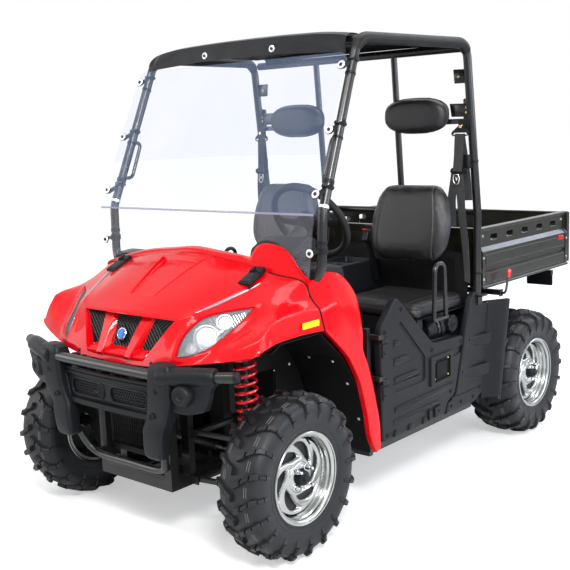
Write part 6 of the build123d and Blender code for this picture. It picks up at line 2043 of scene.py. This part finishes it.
FORWARD = Vector((0, -1, 0))
belt = Kit()
mount = [(588, 1607), (640, 1606), (640, 1556), (588, 1552)]
belt.add(plate_at("mount", mount, 1282, 5), 1)
dring = soften([(609, 1590), (648, 1556), (652, 1544), (644, 1534), (566, 1534), (558, 1544),
                (562, 1553), (588, 1574)], 7, 4)
belt.add(filled("ring", dring, [[(574, 1541), (574, 1549), (638, 1549), (638, 1541)]],
                lambda x, z: at(x, 1268, z)), 1)
belt.add(plate_at("ring", [(x, z) for x, z in dring if z > 1551], 1271, 4), 1)
belt.add(turned("bolt", (609, 1279, 1577), FORWARD,
                [(0, 11), (10, 11), (11, 10), (11, 8.2), (17, 8.2), (18.5, 6), (18.5, 0.1)], 20), 3)
for x in (572, 640):
    belt.add(turned("rivet", (x, 1268, 1541), FORWARD, [(0, 4), (2, 3.6), (3, 0.1)], 12), 4)
loop = [(604, 1266, 1545), (603, 1262, 1520), (602, 1258, 1460), (600, 1252, 1395),
        (599, 1250, 1376)]
belt.add(strap("strap", [at(*p) for p in loop], 47))
loop = [(604, 1273, 1544), (606, 1280, 1500), (612, 1292, 1420), (618, 1300, 1330),
        (622, 1304, 1240)]
belt.add(strap("strap", [at(*p) for p in loop], 47))
tongue = soften([(566, 1392), (640, 1392), (650, 1376), (640, 1362), (566, 1362), (556, 1376)], 9,
                4)
belt.add(plate_at("tongue", tongue, 1256, 8, 2.5), 1)
clip = [(586, 1246, 1362), (582, 1244, 1344), (589, 1243, 1322), (600, 1243, 1318),
        (610, 1244, 1326), (612, 1245, 1346), (606, 1246, 1362)]
belt.add(wire("clip", clip, 2.2), 2)
belt.add(wire("clip", [(594, 1246, 1350), (598, 1245, 1336), (602, 1246, 1350)], 1.8), 2)
for down, width, turn in (([(583, 1256, 1362), (574, 1256, 1302), (562, 1262, 1244),
                            (556, 1272, 1190), (548, 1284, 1120)], 40, -0.5),
                          ([(606, 1254, 1362), (611, 1256, 1300), (614, 1262, 1190),
                            (618, 1276, 1080), (621, 1288, 970), (622, 1294, 860)], 47, 0.5)):
    belt.add(strap("strap", [at(*p) for p in down], width, turn=turn))
belt.add(rounded_block("reel", (0.03, 0.05, 0.062), 0.006, place=at(628, 1300, 1418)), 1)
# flat stalk with its buckle between the console and the seat
stalk = [at(132, 1262, 840), at(134, 1240, 905), at(137, 1206, 1000), at(140, 1178, 1052)]
belt.add(strap("stalk", stalk, 26, 6, 0.6), 1)
leaning = Matrix.Rotation(radians(-24), 4, "X")
belt.add(rounded_block("buckle", (0.03, 0.026, 0.062), 0.006, 3, at(141, 1170, 1072), leaning), 1)
belt.add(rounded_block("press", (0.022, 0.016, 0.006), 0.002, 3, at(141, 1157, 1101), leaning), 5)
new_piece("seat_belts", mirrored(belt), [WEBBING, BLACK, STEEL, BRASS, STEEL, TAIL_RED], "vehicle",
          (), 34)


# ---------------------------------------------------------------- steering wheel
WHEEL_AT, RAKE = at(330, 512, 1212), radians(32)
W_UP, W_OUT = Vector((0, -sin(RAKE), cos(RAKE))), Vector((0, cos(RAKE), sin(RAKE)))


def on_wheel(x, high, out=0.0):
    """A place on the raked steering wheel, in mm from its centre."""
    return WHEEL_AT + Vector((x, 0, 0)) / 1000 + W_UP * (high / 1000) + W_OUT * (out / 1000)


rings = []
for k in range(72):
    a = tau * k / 72
    heart = Vector((cos(a), sin(a)))
    grip = 15.2 + 0.7 * cos(3 * a + pi / 2)
    ring = []
    for j in range(16):
        b = tau * j / 16
        swell = 1 - 0.07 * (abs(sin(b)) > 0.99 or abs(cos(b)) > 0.99)
        r = 177 + grip * cos(b) * swell
        ring.append(on_wheel(heart.x * r, heart.y * r, grip * 1.06 * sin(b) * swell))
    rings.append(ring)
rings.append(rings[0])
wheel_parts = Kit(loft("rim", rings, False))
for angle, w0, w1 in ((180, 44, 26), (0, 44, 26), (270, 50, 30)):
    c, s = cos(radians(angle)), sin(radians(angle))
    rings = []
    for k in range(13):
        t = k / 12
        r = 40 + 128 * t
        wide = (w0 + (w1 - w0) * t ** 0.7) / 2 + 5 * max(0, t - 0.85) / 0.15
        lift = -16 * (1 - t) ** 1.5 - 2
        ring = []
        for j in range(12):
            b = tau * j / 12
            u = wide * max(-1, min(1, 1.25 * cos(b)))
            v = 6.5 * max(-1, min(1, 1.25 * sin(b))) * (1 - 0.2 * t)
            ring.append(on_wheel(c * r - s * u, s * r + c * u, lift + v))
        rings.append(ring)
    wheel_parts.add(loft("spoke", rings))
hub = [(-34, 0.1), (-34, 34), (-26, 50), (-12, 56), (-3, 56), (0, 53), (1, 46), (0, 45), (0.5, 43),
       (4, 40), (7, 26), (8, 0.1)]
wheel_parts.add(turned("hub", from_seat(WHEEL_AT), W_OUT, hub, 48))
new_piece("steering_wheel_moulding", wheel_parts, GRIP, "steering_wheel_body", ("steering_wheel",),
          40)


# ---------------------------------------------------------------- dash and console
DASH_LINE = soften([(188, 1070), (290, 1078), (414, 1052), (434, 1000), (400, 870), (330, 848),
                    (238, 848)], 20, 5)
dash = Kit()
rings = []
for x, inset in ((-570, 10), (-567, 4), (-560, 0), (560, 0), (567, 4), (570, 10)):
    rings.append([at(x, y, z) for y, z in grown(DASH_LINE, -inset)])
dash.add(loft("dash", rings))


def on_dash(x, z, out=0.0):
    """On the dash face below its brow, x and z as stations, out towards the seats."""
    y = 434 - (1000 - z) * 34 / 130 if z < 1000 else 434 - (z - 1000) * 20 / 58
    return at(x, y + out * 0.97, z - out * 0.2)


# instrument pod in front of the wheel, its hood and its face
pod = []
line = soften([(252, 1086), (262, 1120), (352, 1168), (396, 1162), (410, 1148), (400, 1086)], 10)
for x, inset in ((-118, 9), (-112, 2), (-100, 0), (100, 0), (112, 2), (118, 9)):
    pod.append([at(330 + x, y, z) for y, z in grown(line, -inset)])
dash.add(loft("pod", pod))
face = soft_box(-70, -22, 70, 22, 12)
face = [at(x + 330, 409.5 - (1140 - (z + 1124)) * 0.1, z + 1124) for x, z in face]
dash.add(slab("face", face, 0.003, 0.0008), 1)
for x, slot in ((505, 2), (545, 0), (180, 0), (140, 0)):
    bezel = soft_box(x - 17, 1006, x + 17, 1048, 4)
    dash.add(slab("bezel", [on_dash(px, pz, 3) for px, pz in bezel], 0.006, 0.0015))
    rocker = soft_box(x - 12, 1011, x + 12, 1043, 3)
    dash.add(slab("rocker", [on_dash(px, pz, 9) for px, pz in rocker], 0.009, 0.003), slot)
# glove box lid with its latch, and the key
lid = soft_box(-520, 912, -190, 1040, 22)
dash.add(loft("lid", [[on_dash(x, z, out) for x, z in grown(lid, -inset)]
                      for inset, out in ((0, -2), (0.5, 5), (3.5, 8), (12, 8), (16, 5))]))
latch = soft_box(-376, 1004, -334, 1026, 5)
dash.add(slab("latch", [on_dash(x, z, 7) for x, z in latch], 0.008, 0.002), 1)
key = lathe_at("key", from_seat(on_dash(470, 1026, 0)), (0, 1, -0.2),
               [(0, 13), (5, 13), (6.5, 11), (6.5, 5), (9, 5), (9, 0.1)], 20)
dash.add(mm(key), 3)
new_piece("dash_moulding", dash, [BLACK, BLACK_GLOSS, TAIL_RED, STEEL], "vehicle", ("dashboard",),
          34)


def console_box():
    """Box with bevelled edges, two cup holders and a tray sunk into its top."""
    x0, y0, y1, foot, top = 105, 962, 1322, 746.4, 942

    def flat(z):
        return lambda x, y: at(x, y, z)

    def cup(x):
        return [(x + 40 * cos(tau * k / 40), 1040 + 40 * sin(tau * k / 40)) for k in range(40)]

    outline = soft_box(-x0, y0, x0, y1, 10)
    tray = soft_box(-80, 1110, 80, 1290, 16)
    wells = ((cup(-50), 880), (cup(50), 880), (tray, 915))
    rings = [[at(x, y, z) for x, y in grown(outline, -inset)]
             for inset, z in ((0, foot), (0, top - 13), (3.8, top - 3.8), (13, top))]
    parts = Kit(loft("side", rings, False),
                filled("top", grown(outline, -13), [grown(rim, 4) for rim, _ in wells], flat(top)),
                filled("foot", outline, [], flat(foot)))
    for rim, floor_z in wells:
        levels = ((4, top), (1.2, top - 0.8), (0, top - 4), (-2, floor_z + 6),
                  (-5, floor_z + 1.4), (-10, floor_z))
        parts.add(loft("well", [[at(x, y, z) for x, y in grown(rim, g)] for g, z in levels], False))
        parts.add(filled("well", grown(rim, -10), [], flat(floor_z)))
    return parts


new_piece("console_moulding", console_box(), BLACK, "vehicle", ("console",), 34)


# dark moulded bulkhead behind the seats, ribbed, between the cage's rear legs
BULKHEAD_Y = 1323
wall = soften([(-604, 590), (604, 590), (604, 990), (240, 1010), (-240, 1010), (-604, 990)], 18)
bulkhead = Kit(slab("wall", [at(x, BULKHEAD_Y, z) for x, z in wall], -0.005, 0.001))
for x in (-520, -390, -260, 260, 390, 520):
    rib = soft_box(x - 26, 770, x + 26, 966, 10)
    bulkhead.add(mesa("rib", rib, lambda u, v, out: at(u, BULKHEAD_Y - out, v), 0, 3.4, 3.0))
new_piece("seat_bulkhead", bulkhead, LINER, "vehicle", (), 34)


# ---------------------------------------------------------------- cage, panes and roof
def rounded_path(points, cuts, steps=4):
    """An open path with each inner corner eased over so many mm on both sides."""
    pts = [Vector(p) for p in points]
    out = [pts[0]]
    for i in range(1, len(pts) - 1):
        cut = cuts[i - 1]
        a, b = pts[i - 1] - pts[i], pts[i + 1] - pts[i]
        a = pts[i] + a.normalized() * min(cut, a.length * 0.48)
        b = pts[i] + b.normalized() * min(cut, b.length * 0.48)
        for k in range(steps + 1):
            t = k / steps
            out.append(a * (1 - t) ** 2 + pts[i] * 2 * t * (1 - t) + b * t * t)
    return out + [pts[-1]]


def arc_path(points, radii, steps=8):
    """A route of straights joined by true arcs, as the tube bender makes it."""
    pts = [Vector(p) for p in points]
    out = [pts[0]]
    for i in range(1, len(pts) - 1):
        a, b = (pts[i - 1] - pts[i]).normalized(), (pts[i + 1] - pts[i]).normalized()
        turn = pi - a.angle(b)
        r = radii[i - 1]
        cut = r * (sin(turn / 2) / cos(turn / 2))
        heart = pts[i] + (a + b).normalized() * (r / cos(turn / 2))
        u = (pts[i] + a * cut - heart).normalized()
        w = (pts[i] + b * cut - heart).normalized()
        side = (w - u * w.dot(u)).normalized()
        for k in range(steps + 1):
            s = turn * k / steps
            out.append(heart + (u * cos(s) + side * sin(s)) * r)
    return out + [pts[-1]]


# the cage's side tube from its foot in front of the windshield to its foot behind the seats
PILLAR = [(440, 210, 962), (532, 210, 962), (606, 236, 1060), (611, 244, 1275), (588, 527, 1940),
          (640, 1270, 1942), (645, 1350, 1183), (640, 1350, 790)]
ROUTE = arc_path(PILLAR, [50, 70, 160, 90, 70, 200])


def route_at(z, rear=False):
    """Where the side tube passes a height, and its way there."""
    for a, b in zip(ROUTE, ROUTE[1:]):
        if (a.y > 900) == rear and abs(b.z - a.z) > 1e-6 and min(a.z, b.z) <= z <= max(a.z, b.z):
            return a.lerp(b, (z - a.z) / (b.z - a.z)), (b - a).normalized()


def collar(z, r_in, r_out, high, rear=False):
    """A band round the side tube, its edges eased."""
    p, way = route_at(z, rear)
    e, half = min(1.2, (r_out - r_in) / 2), high / 2
    return turned("collar", p, way, [(-half, r_in), (-half, r_out - e), (-half + e, r_out),
                                     (half - e, r_out), (half, r_out - e), (half, r_in)], 32)


PANE_TILT = radians(23.9)
PANE_OUT = Vector((0, -cos(PANE_TILT), sin(PANE_TILT)))
trim = Kit()


def washer(place, axis, r=17.0):
    """A bright dished washer with the dark hexagon-socket head in it."""
    dish = [(-1, r - 2), (0.5, r), (2.2, r - 1), (3.4, r * 0.66), (2.6, r * 0.5), (2.6, 0.1)]
    head = [(1.5, r * 0.46), (5, r * 0.44), (6, r * 0.34), (6, r * 0.2), (3, r * 0.17), (3, 0.1)]
    trim.add(turned("washer", place, axis, dish, 28))
    trim.add(turned("head", place, axis, head, 18), 1)
    trim.add(turned("pad", place - axis * 1.0, axis, [(-1, r + 1.5), (1, r + 1.5), (1, 2)], 24), 2)


for (x, y, z), axis in (((600, 173, 1131), FORWARD), ((609, 208.6, 1352), PANE_OUT),
                        ((601, 313.2, 1588), PANE_OUT), ((584, 421.8, 1833), PANE_OUT)):
    washer(Vector((x, y, z)) + axis * 1.0, axis)
washer(Vector((196, 463.5, 1925)), Vector((0, -0.997, 0.07)), 15)
for z, r, high, slot, rear in (
        (1300, 21.0, 12, 0, False), (1392, 21.6, 16, 2, False), (1368, 20.4, 5, 2, False),
        (1166, 21.4, 14, 2, False), (1556, 21.4, 10, 2, False), (1800, 21.4, 10, 2, False),
        (1418, 21.0, 10, 2, True), (900, 21.0, 12, 2, True)):
    trim.add(collar(z, 19.1, r, high, rear), slot)
# boot where the pillar goes down between cowl and wing
trim.add(turned("boot", ROUTE[9], (ROUTE[11] - ROUTE[7]).normalized(), [
    (-34, 34), (-30, 38), (-24, 36), (-20, 31), (-14, 33), (-9, 28), (-4, 29), (2, 24), (9, 21.5),
    (14, 19.2), (14, 18)], 28), 4)
# clear joint strip between the panes
strip = [at(x, 176.5, 1276.5) for x in (-619, 619)]
joint = bar("joint", strip, [(-0.0042, -0.0028), (-0.0042, 0.0034), (0, 0.0045), (0.0042, 0.0034),
                             (0.0042, -0.0028)], (0, 0, 1))
# flat plates on the rear hoop, with their bolts
for outline, y, bolts in (
        ([(531, 1681), (632, 1679), (640, 1619), (540, 1621)], 1303, [(621, 1661), (621, 1639)]),
        ([(562, 1832), (622, 1831), (631, 1769), (568, 1769)], 1285, [(592, 1799)])):
    trim.add(plate_at("plate", soften(outline, 4, 3), y, 4), 1)
    for x, z in bolts:
        trim.add(turned("bolt", (x, y - 4, z), FORWARD,
                        [(0, 6), (1, 6), (1.2, 4.6), (4, 4), (4.6, 2.6), (3, 0.1)], 14), 3)
tab = [(600, 1700), (645, 1706), (645, 1600), (600, 1606)]
trim.add(plate_at("tab", soften(tab, 6, 3), 1307, 4), 1)
# knobs and gaskets where the grab handle meets the pillar
for place, axis in ((Vector((600, 299, 1400)), Vector((1, -0.3, 0))),
                    (Vector((596, 366, 1560)), Vector((1, 0, 0)))):
    trim.add(turned("boss", place - axis * 14, axis, [(0, 8.6), (2, 11), (10, 11), (12, 9)], 20), 2)
new_piece("cage_fittings", mirrored(trim), [WASHER, BLACK_GLOSS, BLACK, BRASS, RUBBER], "vehicle",
          (), 34)
JOINT = glass("joint_strip", (0.36, 0.36, 0.5), 0.2, see=0.42)
new_piece("pane_joint", joint, JOINT, "vehicle", (), 40)

# thick sheath over the tube along the roof's edge
top_run = [p for p in ROUTE if p.z > 1895]
sheath_line = [top_run[0]]
for a, b in zip(top_run, top_run[1:]):
    pieces = max(1, int((b - a).length // 40))
    sheath_line += [a.lerp(b, (k + 1) / pieces) for k in range(pieces)]
rings = []
n = len(sheath_line)
for i, p in enumerate(sheath_line):
    way = (sheath_line[min(i + 1, n - 1)] - sheath_line[max(i - 1, 0)]).normalized()
    end = min(1, min(i, n - 1 - i) / 2)
    r = 20.2 + 4.3 * end ** 0.5
    rings.append(ring_about(p, way, r, 24, Vector((1, 0, 0)) if abs(way.x) < 0.7
                            else Vector((0, 0, 1))))
new_piece("cage_sheaths", mirrored(mm(loft("sheath", rings))), GRIP, "vehicle", (), 50)

# the roof's rows from the middle out, from the visor's foot to the rear lip, in mm
ROOF = [[(0, 462, 1904), (200, 462, 1902), (420, 466, 1892), (540, 467, 1886), (574, 466, 1880)],
        [(0, 465, 1946), (200, 465, 1944), (420, 469, 1936), (522, 475, 1926), (558, 483, 1908)],
        [(0, 486, 1974), (200, 487, 1973), (420, 490, 1967), (515, 496, 1957), (550, 505, 1950)],
        [(0, 530, 1984), (200, 530, 1983), (420, 532, 1977), (520, 536, 1966), (548, 543, 1962)],
        [(0, 900, 1985), (200, 900, 1985), (420, 900, 1979), (540, 900, 1968), (568, 900, 1964)],
        [(0, 1300, 1982), (200, 1300, 1982), (420, 1300, 1976), (560, 1300, 1966),
         (590, 1300, 1962)],
        [(0, 1320, 1950), (200, 1320, 1950), (420, 1320, 1948), (560, 1320, 1946),
         (590, 1320, 1944)]]


def roof_mesh():
    """Moulded roof: visor rolled into the top, three raised fields and a rolled rear lip."""
    rows = []
    for i, row in enumerate(ROOF):
        rows.append([Vector(p) for p in row])
        if i in (3, 4):
            for k in range(1, 14):
                rows.append([Vector(p).lerp(Vector(q), k / 14) for p, q in zip(row, ROOF[i + 1])])
    across = []
    for row in rows:
        half = rounded_path(row, [60, 70, 24], 4)
        even = []
        for a, b in zip(half, half[1:]):
            pieces = 4 if (b - a).length > 90 else 1
            even += [a.lerp(b, k / pieces) for k in range(pieces)]
        even.append(half[-1])
        across.append([Vector((-p.x, p.y, p.z)) for p in reversed(even[1:])] + even)

    def step(v, a, b):
        return clamp((v - a) / (b - a))

    verts = []
    count = min(len(row) for row in across)
    for row in across:
        for p in row[:count]:
            on_top = min(step(p.y, 566, 590), step(1278, p.y, p.y + 24) if p.y > 1254 else 1)
            field = max(step(138 - abs(p.x), 0, 14),
                        min(step(abs(p.x), 186, 200), step(430 - abs(p.x), 0, 14)))
            verts.append(p + Vector((0, 0, 5.0 * on_top * field - 5.0 * min(1, on_top))))
    return raw_mesh("roof", verts, quads(len(across), count, ring=False), weld=1e-3)


new_piece("roof_moulding", finish_shell(roof_mesh(), 4.0), BLACK, "vehicle", ("roof",), 30)


# ---------------------------------------------------------------- bed
BED_Y0, BED_WALL_Y, BED_Y1 = 1387, 2304, 2333      # front, end of the side walls, rear rail
GATE_Y = 2332            # the tailgate's outer face


def along(name, profile, y0, y1, slices=2):
    """An (x, z) profile carried straight back along the bed."""
    rings = [[at(x, y0 + (y1 - y0) * k / slices, z) for x, z in profile] for k in range(slices + 1)]
    return loft(name, rings)


def bolt_on(x, y, z, axis=(1, 0, 0), r=6.0):
    """A flanged bolt head standing on a face, from stations in mm."""
    head = [(0, r + 2.5), (1.2, r + 2.5), (1.4, r), (r * 0.75, r * 0.96), (r * 0.9, r * 0.7),
            (r * 0.9, r * 0.4), (r * 0.5, r * 0.38), (r * 0.5, 0.1)]
    return turned("bolt", (x, y, z), axis, head, 14)


def on_flank(y, z, x):
    """A place on the bed's side, x outboard."""
    return at(x, y, z)


def on_gate(x, z, out):
    """A place on the tailgate, so many mm behind its outer face."""
    return at(x, GATE_Y + out, z)


bed = Kit()
rail_line = soften([(603, 1090), (603, 1101), (640, 1101), (640, 1086), (632.5, 1086),
                    (632.5, 1096.4), (607, 1096.4), (607, 1090)], 4, 4)
bed.add(along("rail", rail_line, BED_Y0 - 3, BED_Y1 - 2))
lip = soften([(647.5, 815), (655, 815), (655, 824), (652, 827), (647.5, 827)], 1.6, 3)
bed.add(along("lip", lip, BED_Y0, BED_WALL_Y))
for z0, z1 in ((838, 884), (924, 974)):
    panel = soft_box(BED_Y0 + 34, z0, 2268, z1, 12)
    bed.add(mesa("field", panel, on_flank, 647.9, 650.6, 3.0))
pitch = (BED_WALL_Y - BED_Y0 - 120) / 5       # five slots between the posts
for k in range(5):
    y = BED_Y0 + 60 + pitch * (k + 0.5)
    hole = round_rect(y - 33, 1037, y + 33, 1063, 7)
    rim = round_rect(y - 40, 1030, y + 40, 1070, 12)
    levels = ((631.9, rim, 0), (633.4, rim, -1.2), (633.6, hole, 1.5), (632.4, hole, 0),
              (606.5, hole, 0), (605.4, hole, 1.5))
    bed.add(loft("slot", [[at(x, u, v) for u, v in grown(line, g)] for x, line, g in levels],
                 False))
for y in (BED_Y0 + 10, 2290):
    post = soften([(632, 1086), (636, 1086), (636, 1012), (651, 990), (651, 832), (648, 832),
                   (648, 990), (632, 1010)], 1.5, 3)
    rings = [[at(x, y + d, z) for x, z in post] for d in (-9, 9)]
    bed.add(loft("post", rings))
for y, z, x in ((2262, 1062, 632), (1420, 1062, 632), (2290, 860, 651), (2290, 960, 651),
                (1397, 860, 651), (1397, 960, 651)):
    bed.add(bolt_on(x, y, z, r=5), 1)
reflect = soft_box(2192, 958, 2258, 980, 3)
bed.add(mesa("reflector", reflect, on_flank, 648, 652.5, 1.5), 2)
# pressed ribs of the floor and front wall, and braces inside
for x in (50, 150, 250, 350, 450, 550):
    rib = soften([(x - 32, 829.8), (x - 22, 836), (x + 22, 836), (x + 32, 829.8)], 2.5, 3)
    bed.add(along("rib", rib, BED_Y0 + 40, 2286))
for x0, x1 in ((20, 180), (220, 380), (420, 580)):
    for face_y, out_y in ((BED_Y0 + 25, BED_Y0 + 29), (BED_Y0, BED_Y0 - 4)):
        field = soft_box(x0, 860, x1, 1060, 16)
        bed.add(mesa("field", field, lambda x, z, y: at(x, y, z), face_y, out_y, 4.0))
front_rail = soften([(BED_Y0 - 3, 1086), (BED_Y0 - 3, 1101), (BED_Y0 + 28, 1101),
                     (BED_Y0 + 28, 1090), (BED_Y0 + 25, 1096.4), (BED_Y0, 1096.4)], 2, 2)
bed.add(loft("rail", [[at(x, y, z) for y, z in front_rail] for x in (0, 634)]))
for y in (1560, 1845, 2130):
    gusset = [at(606, y - 3, 1030), at(606, y - 3, 832), at(574, y - 3, 832)]
    bed.add(slab("gusset", gusset, 0.006, 0.0012))
new_piece("bed_pressings", mirrored(bed), [BED, STEEL, TAIL_RED], "bed", (), 30)

gate = Kit()
for z0, z1 in ((1044, 1080), (862, 892)):
    line = soft_box(0.2, z0, 566, z1, 8)
    gate.add(mesa("rib", line, on_gate, -0.2, 1.6, 1.5))
for x in (120, 300, 480):
    line = soft_box(x - 34, 912, x + 34, 1028, 10)
    gate.add(mesa("press", line, on_gate, -5.2, 1.0, 4.0))
top = soften([(2306, 1084), (2306, 1098), (2334, 1098), (2334, 1084)], 3, 3)
gate.add(loft("rail", [[at(x, y, z) for y, z in top] for x in (0, 592)]))
latch_plate = soft_box(540, 1010, 588, 1078, 6)
gate.add(mesa("latch", latch_plate, on_gate, 0, 2.0, 1.2), 1)
gate.add(turned("turn", (564, 2333, 1044), (0, 1, 0),
                [(0, 14), (0.9, 14), (1.0, 10), (1.8, 8), (1.8, 0.1)], 20), 1)
new_piece("tailgate_pressings", mirrored(gate), [BED, BLACK_GLOSS], "tailgate_body", (), 30)

# release lever with its red knob, and the round lamps under the tail
rod = [at(668, 1537, 777), at(682, 1537, 778), at(690, 1540, 790), at(690, 1552, 822),
       at(690, 1566, 862)]
lever = Kit(bar("rod", spline(rod, 6), circle_profile(0.0058, 12)))
lever.add(turned("knob", (690, 1562, 852), (0, 0.32, 0.95), [
    (-2, 6), (0, 8.4), (2, 9.4), (22, 10.6), (32, 11), (38, 9), (40, 5), (40.5, 0.1)], 20), 1)
lever.add(rounded_block("foot", (0.006, 0.03, 0.034), 0.0015, place=at(665.5, 1537, 777)))
lever.add(bolt_on(668.4, 1537, 768, r=4))
new_piece("release_lever", lever, [BLACK_GLOSS, SPRING_RED], "vehicle", ("bed_lever",), 40)
lamp_parts = Kit()
plate = soft_box(440, 700, 590, 786, 7)
lamp_parts.add(slab("plate", [at(x, 2250.6, z) for x, z in plate], -0.0072, 0.0012))
housing = [(0, 30), (0, 37.5), (3, 38), (9, 38), (11, 36), (22, 34), (25, 32.5), (25, 30), (22, 30),
           (22, 0.1)]
lamp_parts.add(turned("housing", (515, 2257, 742), (0, 1, 0), housing, 40))
lens = [(21, 0.1), (21, 30), (24.4, 29.6)] + [
    (24.4 + 2.2 * (1 - (r / 30) ** 2) + 0.35 * (-1) ** k, r)
    for k, r in enumerate((28, 25, 22, 19, 16, 13, 10, 7, 4, 0.1))]
lamp_parts.add(turned("lens", (515, 2255.6, 742), (0, 1, 0), lens, 40), 1)
for x, z in ((452, 712), (578, 712), (452, 774), (578, 774)):
    lamp_parts.add(bolt_on(x, 2257.8, z, (0, 1, 0), 3.4), 2)
new_piece("tail_lamps", mirrored(lamp_parts), [BLACK, TAIL_RED, STEEL], "vehicle", ("rear_lamps",),
          34)


# ---------------------------------------------------------------- screws in the front arch liners
arch_screws = Kit(*(bolt_on(x, y, z, way, 4.5) for x, y, z, way in (
    (339, 333, 636, (1, 0, 0)), (440, 340, 677, (0, -0.84, -0.53)),
    (560, 343, 674, (0, -0.84, -0.53)), (585, 403, 572, (0, -0.95, -0.33)),
    (598, 456, 413, (0, -0.96, -0.28)))))
new_piece("arch_screws", mirrored(arch_screws), WASHER, "vehicle", (), 30)

# ---------------------------------------------------------------- plates under the front
# plain ribbed dark sheet behind the front suspension: it stands in for the dark parts there and is
# painted shade for the shadow between them, hiding the bright floor behind
SHADE_SHEET_Y, SKID_Z = 240, 229
shade_sheet_line = soft_box(-300, 236, 300, 690, 20)
shade_sheet = Kit(slab("shade_sheet", [at(x, SHADE_SHEET_Y, z) for x, z in shade_sheet_line], -0.004, 0.001))
for x in (-210, -70, 70, 210):
    rib = soft_box(x - 30, 270, x + 30, 660, 12)
    shade_sheet.add(mesa("rib", rib, lambda u, v, out: at(u, SHADE_SHEET_Y - out, v), 0, 4.0, 4.0))
new_piece("shade_sheet_front", shade_sheet, LINER, "vehicle", (), 34)

# pressed skid plate under the front rails, its front edge turned up
skid_line = [at(x, y, SKID_Z) for x, y in soft_box(-204, -226, 204, 330, 16)]
skid = Kit(slab("skid", skid_line, -0.003, 0.001))
for x in (-130, 0, 130):
    rib = soft_box(x - 34, -190, x + 34, 300, 14)
    skid.add(mesa("rib", rib, lambda u, v, out: at(u, v, SKID_Z + out), 0, 5.0, 5.0))
lip = [at(x, -228 - 5 * (z - SKID_Z) / 60, z)
       for x, z in ((-190, 231), (190, 231), (176, 289), (-176, 289))]
skid.add(slab("lip", lip, 0.003, 0.001))
new_piece("skid_plate", skid, CHASSIS, "vehicle", (), 34)

# ---------------------------------------------------------------- size and end
low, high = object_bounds()
{"cad": [list(v) for v in CAD_BOX], "visual": [list(low), list(high)]}
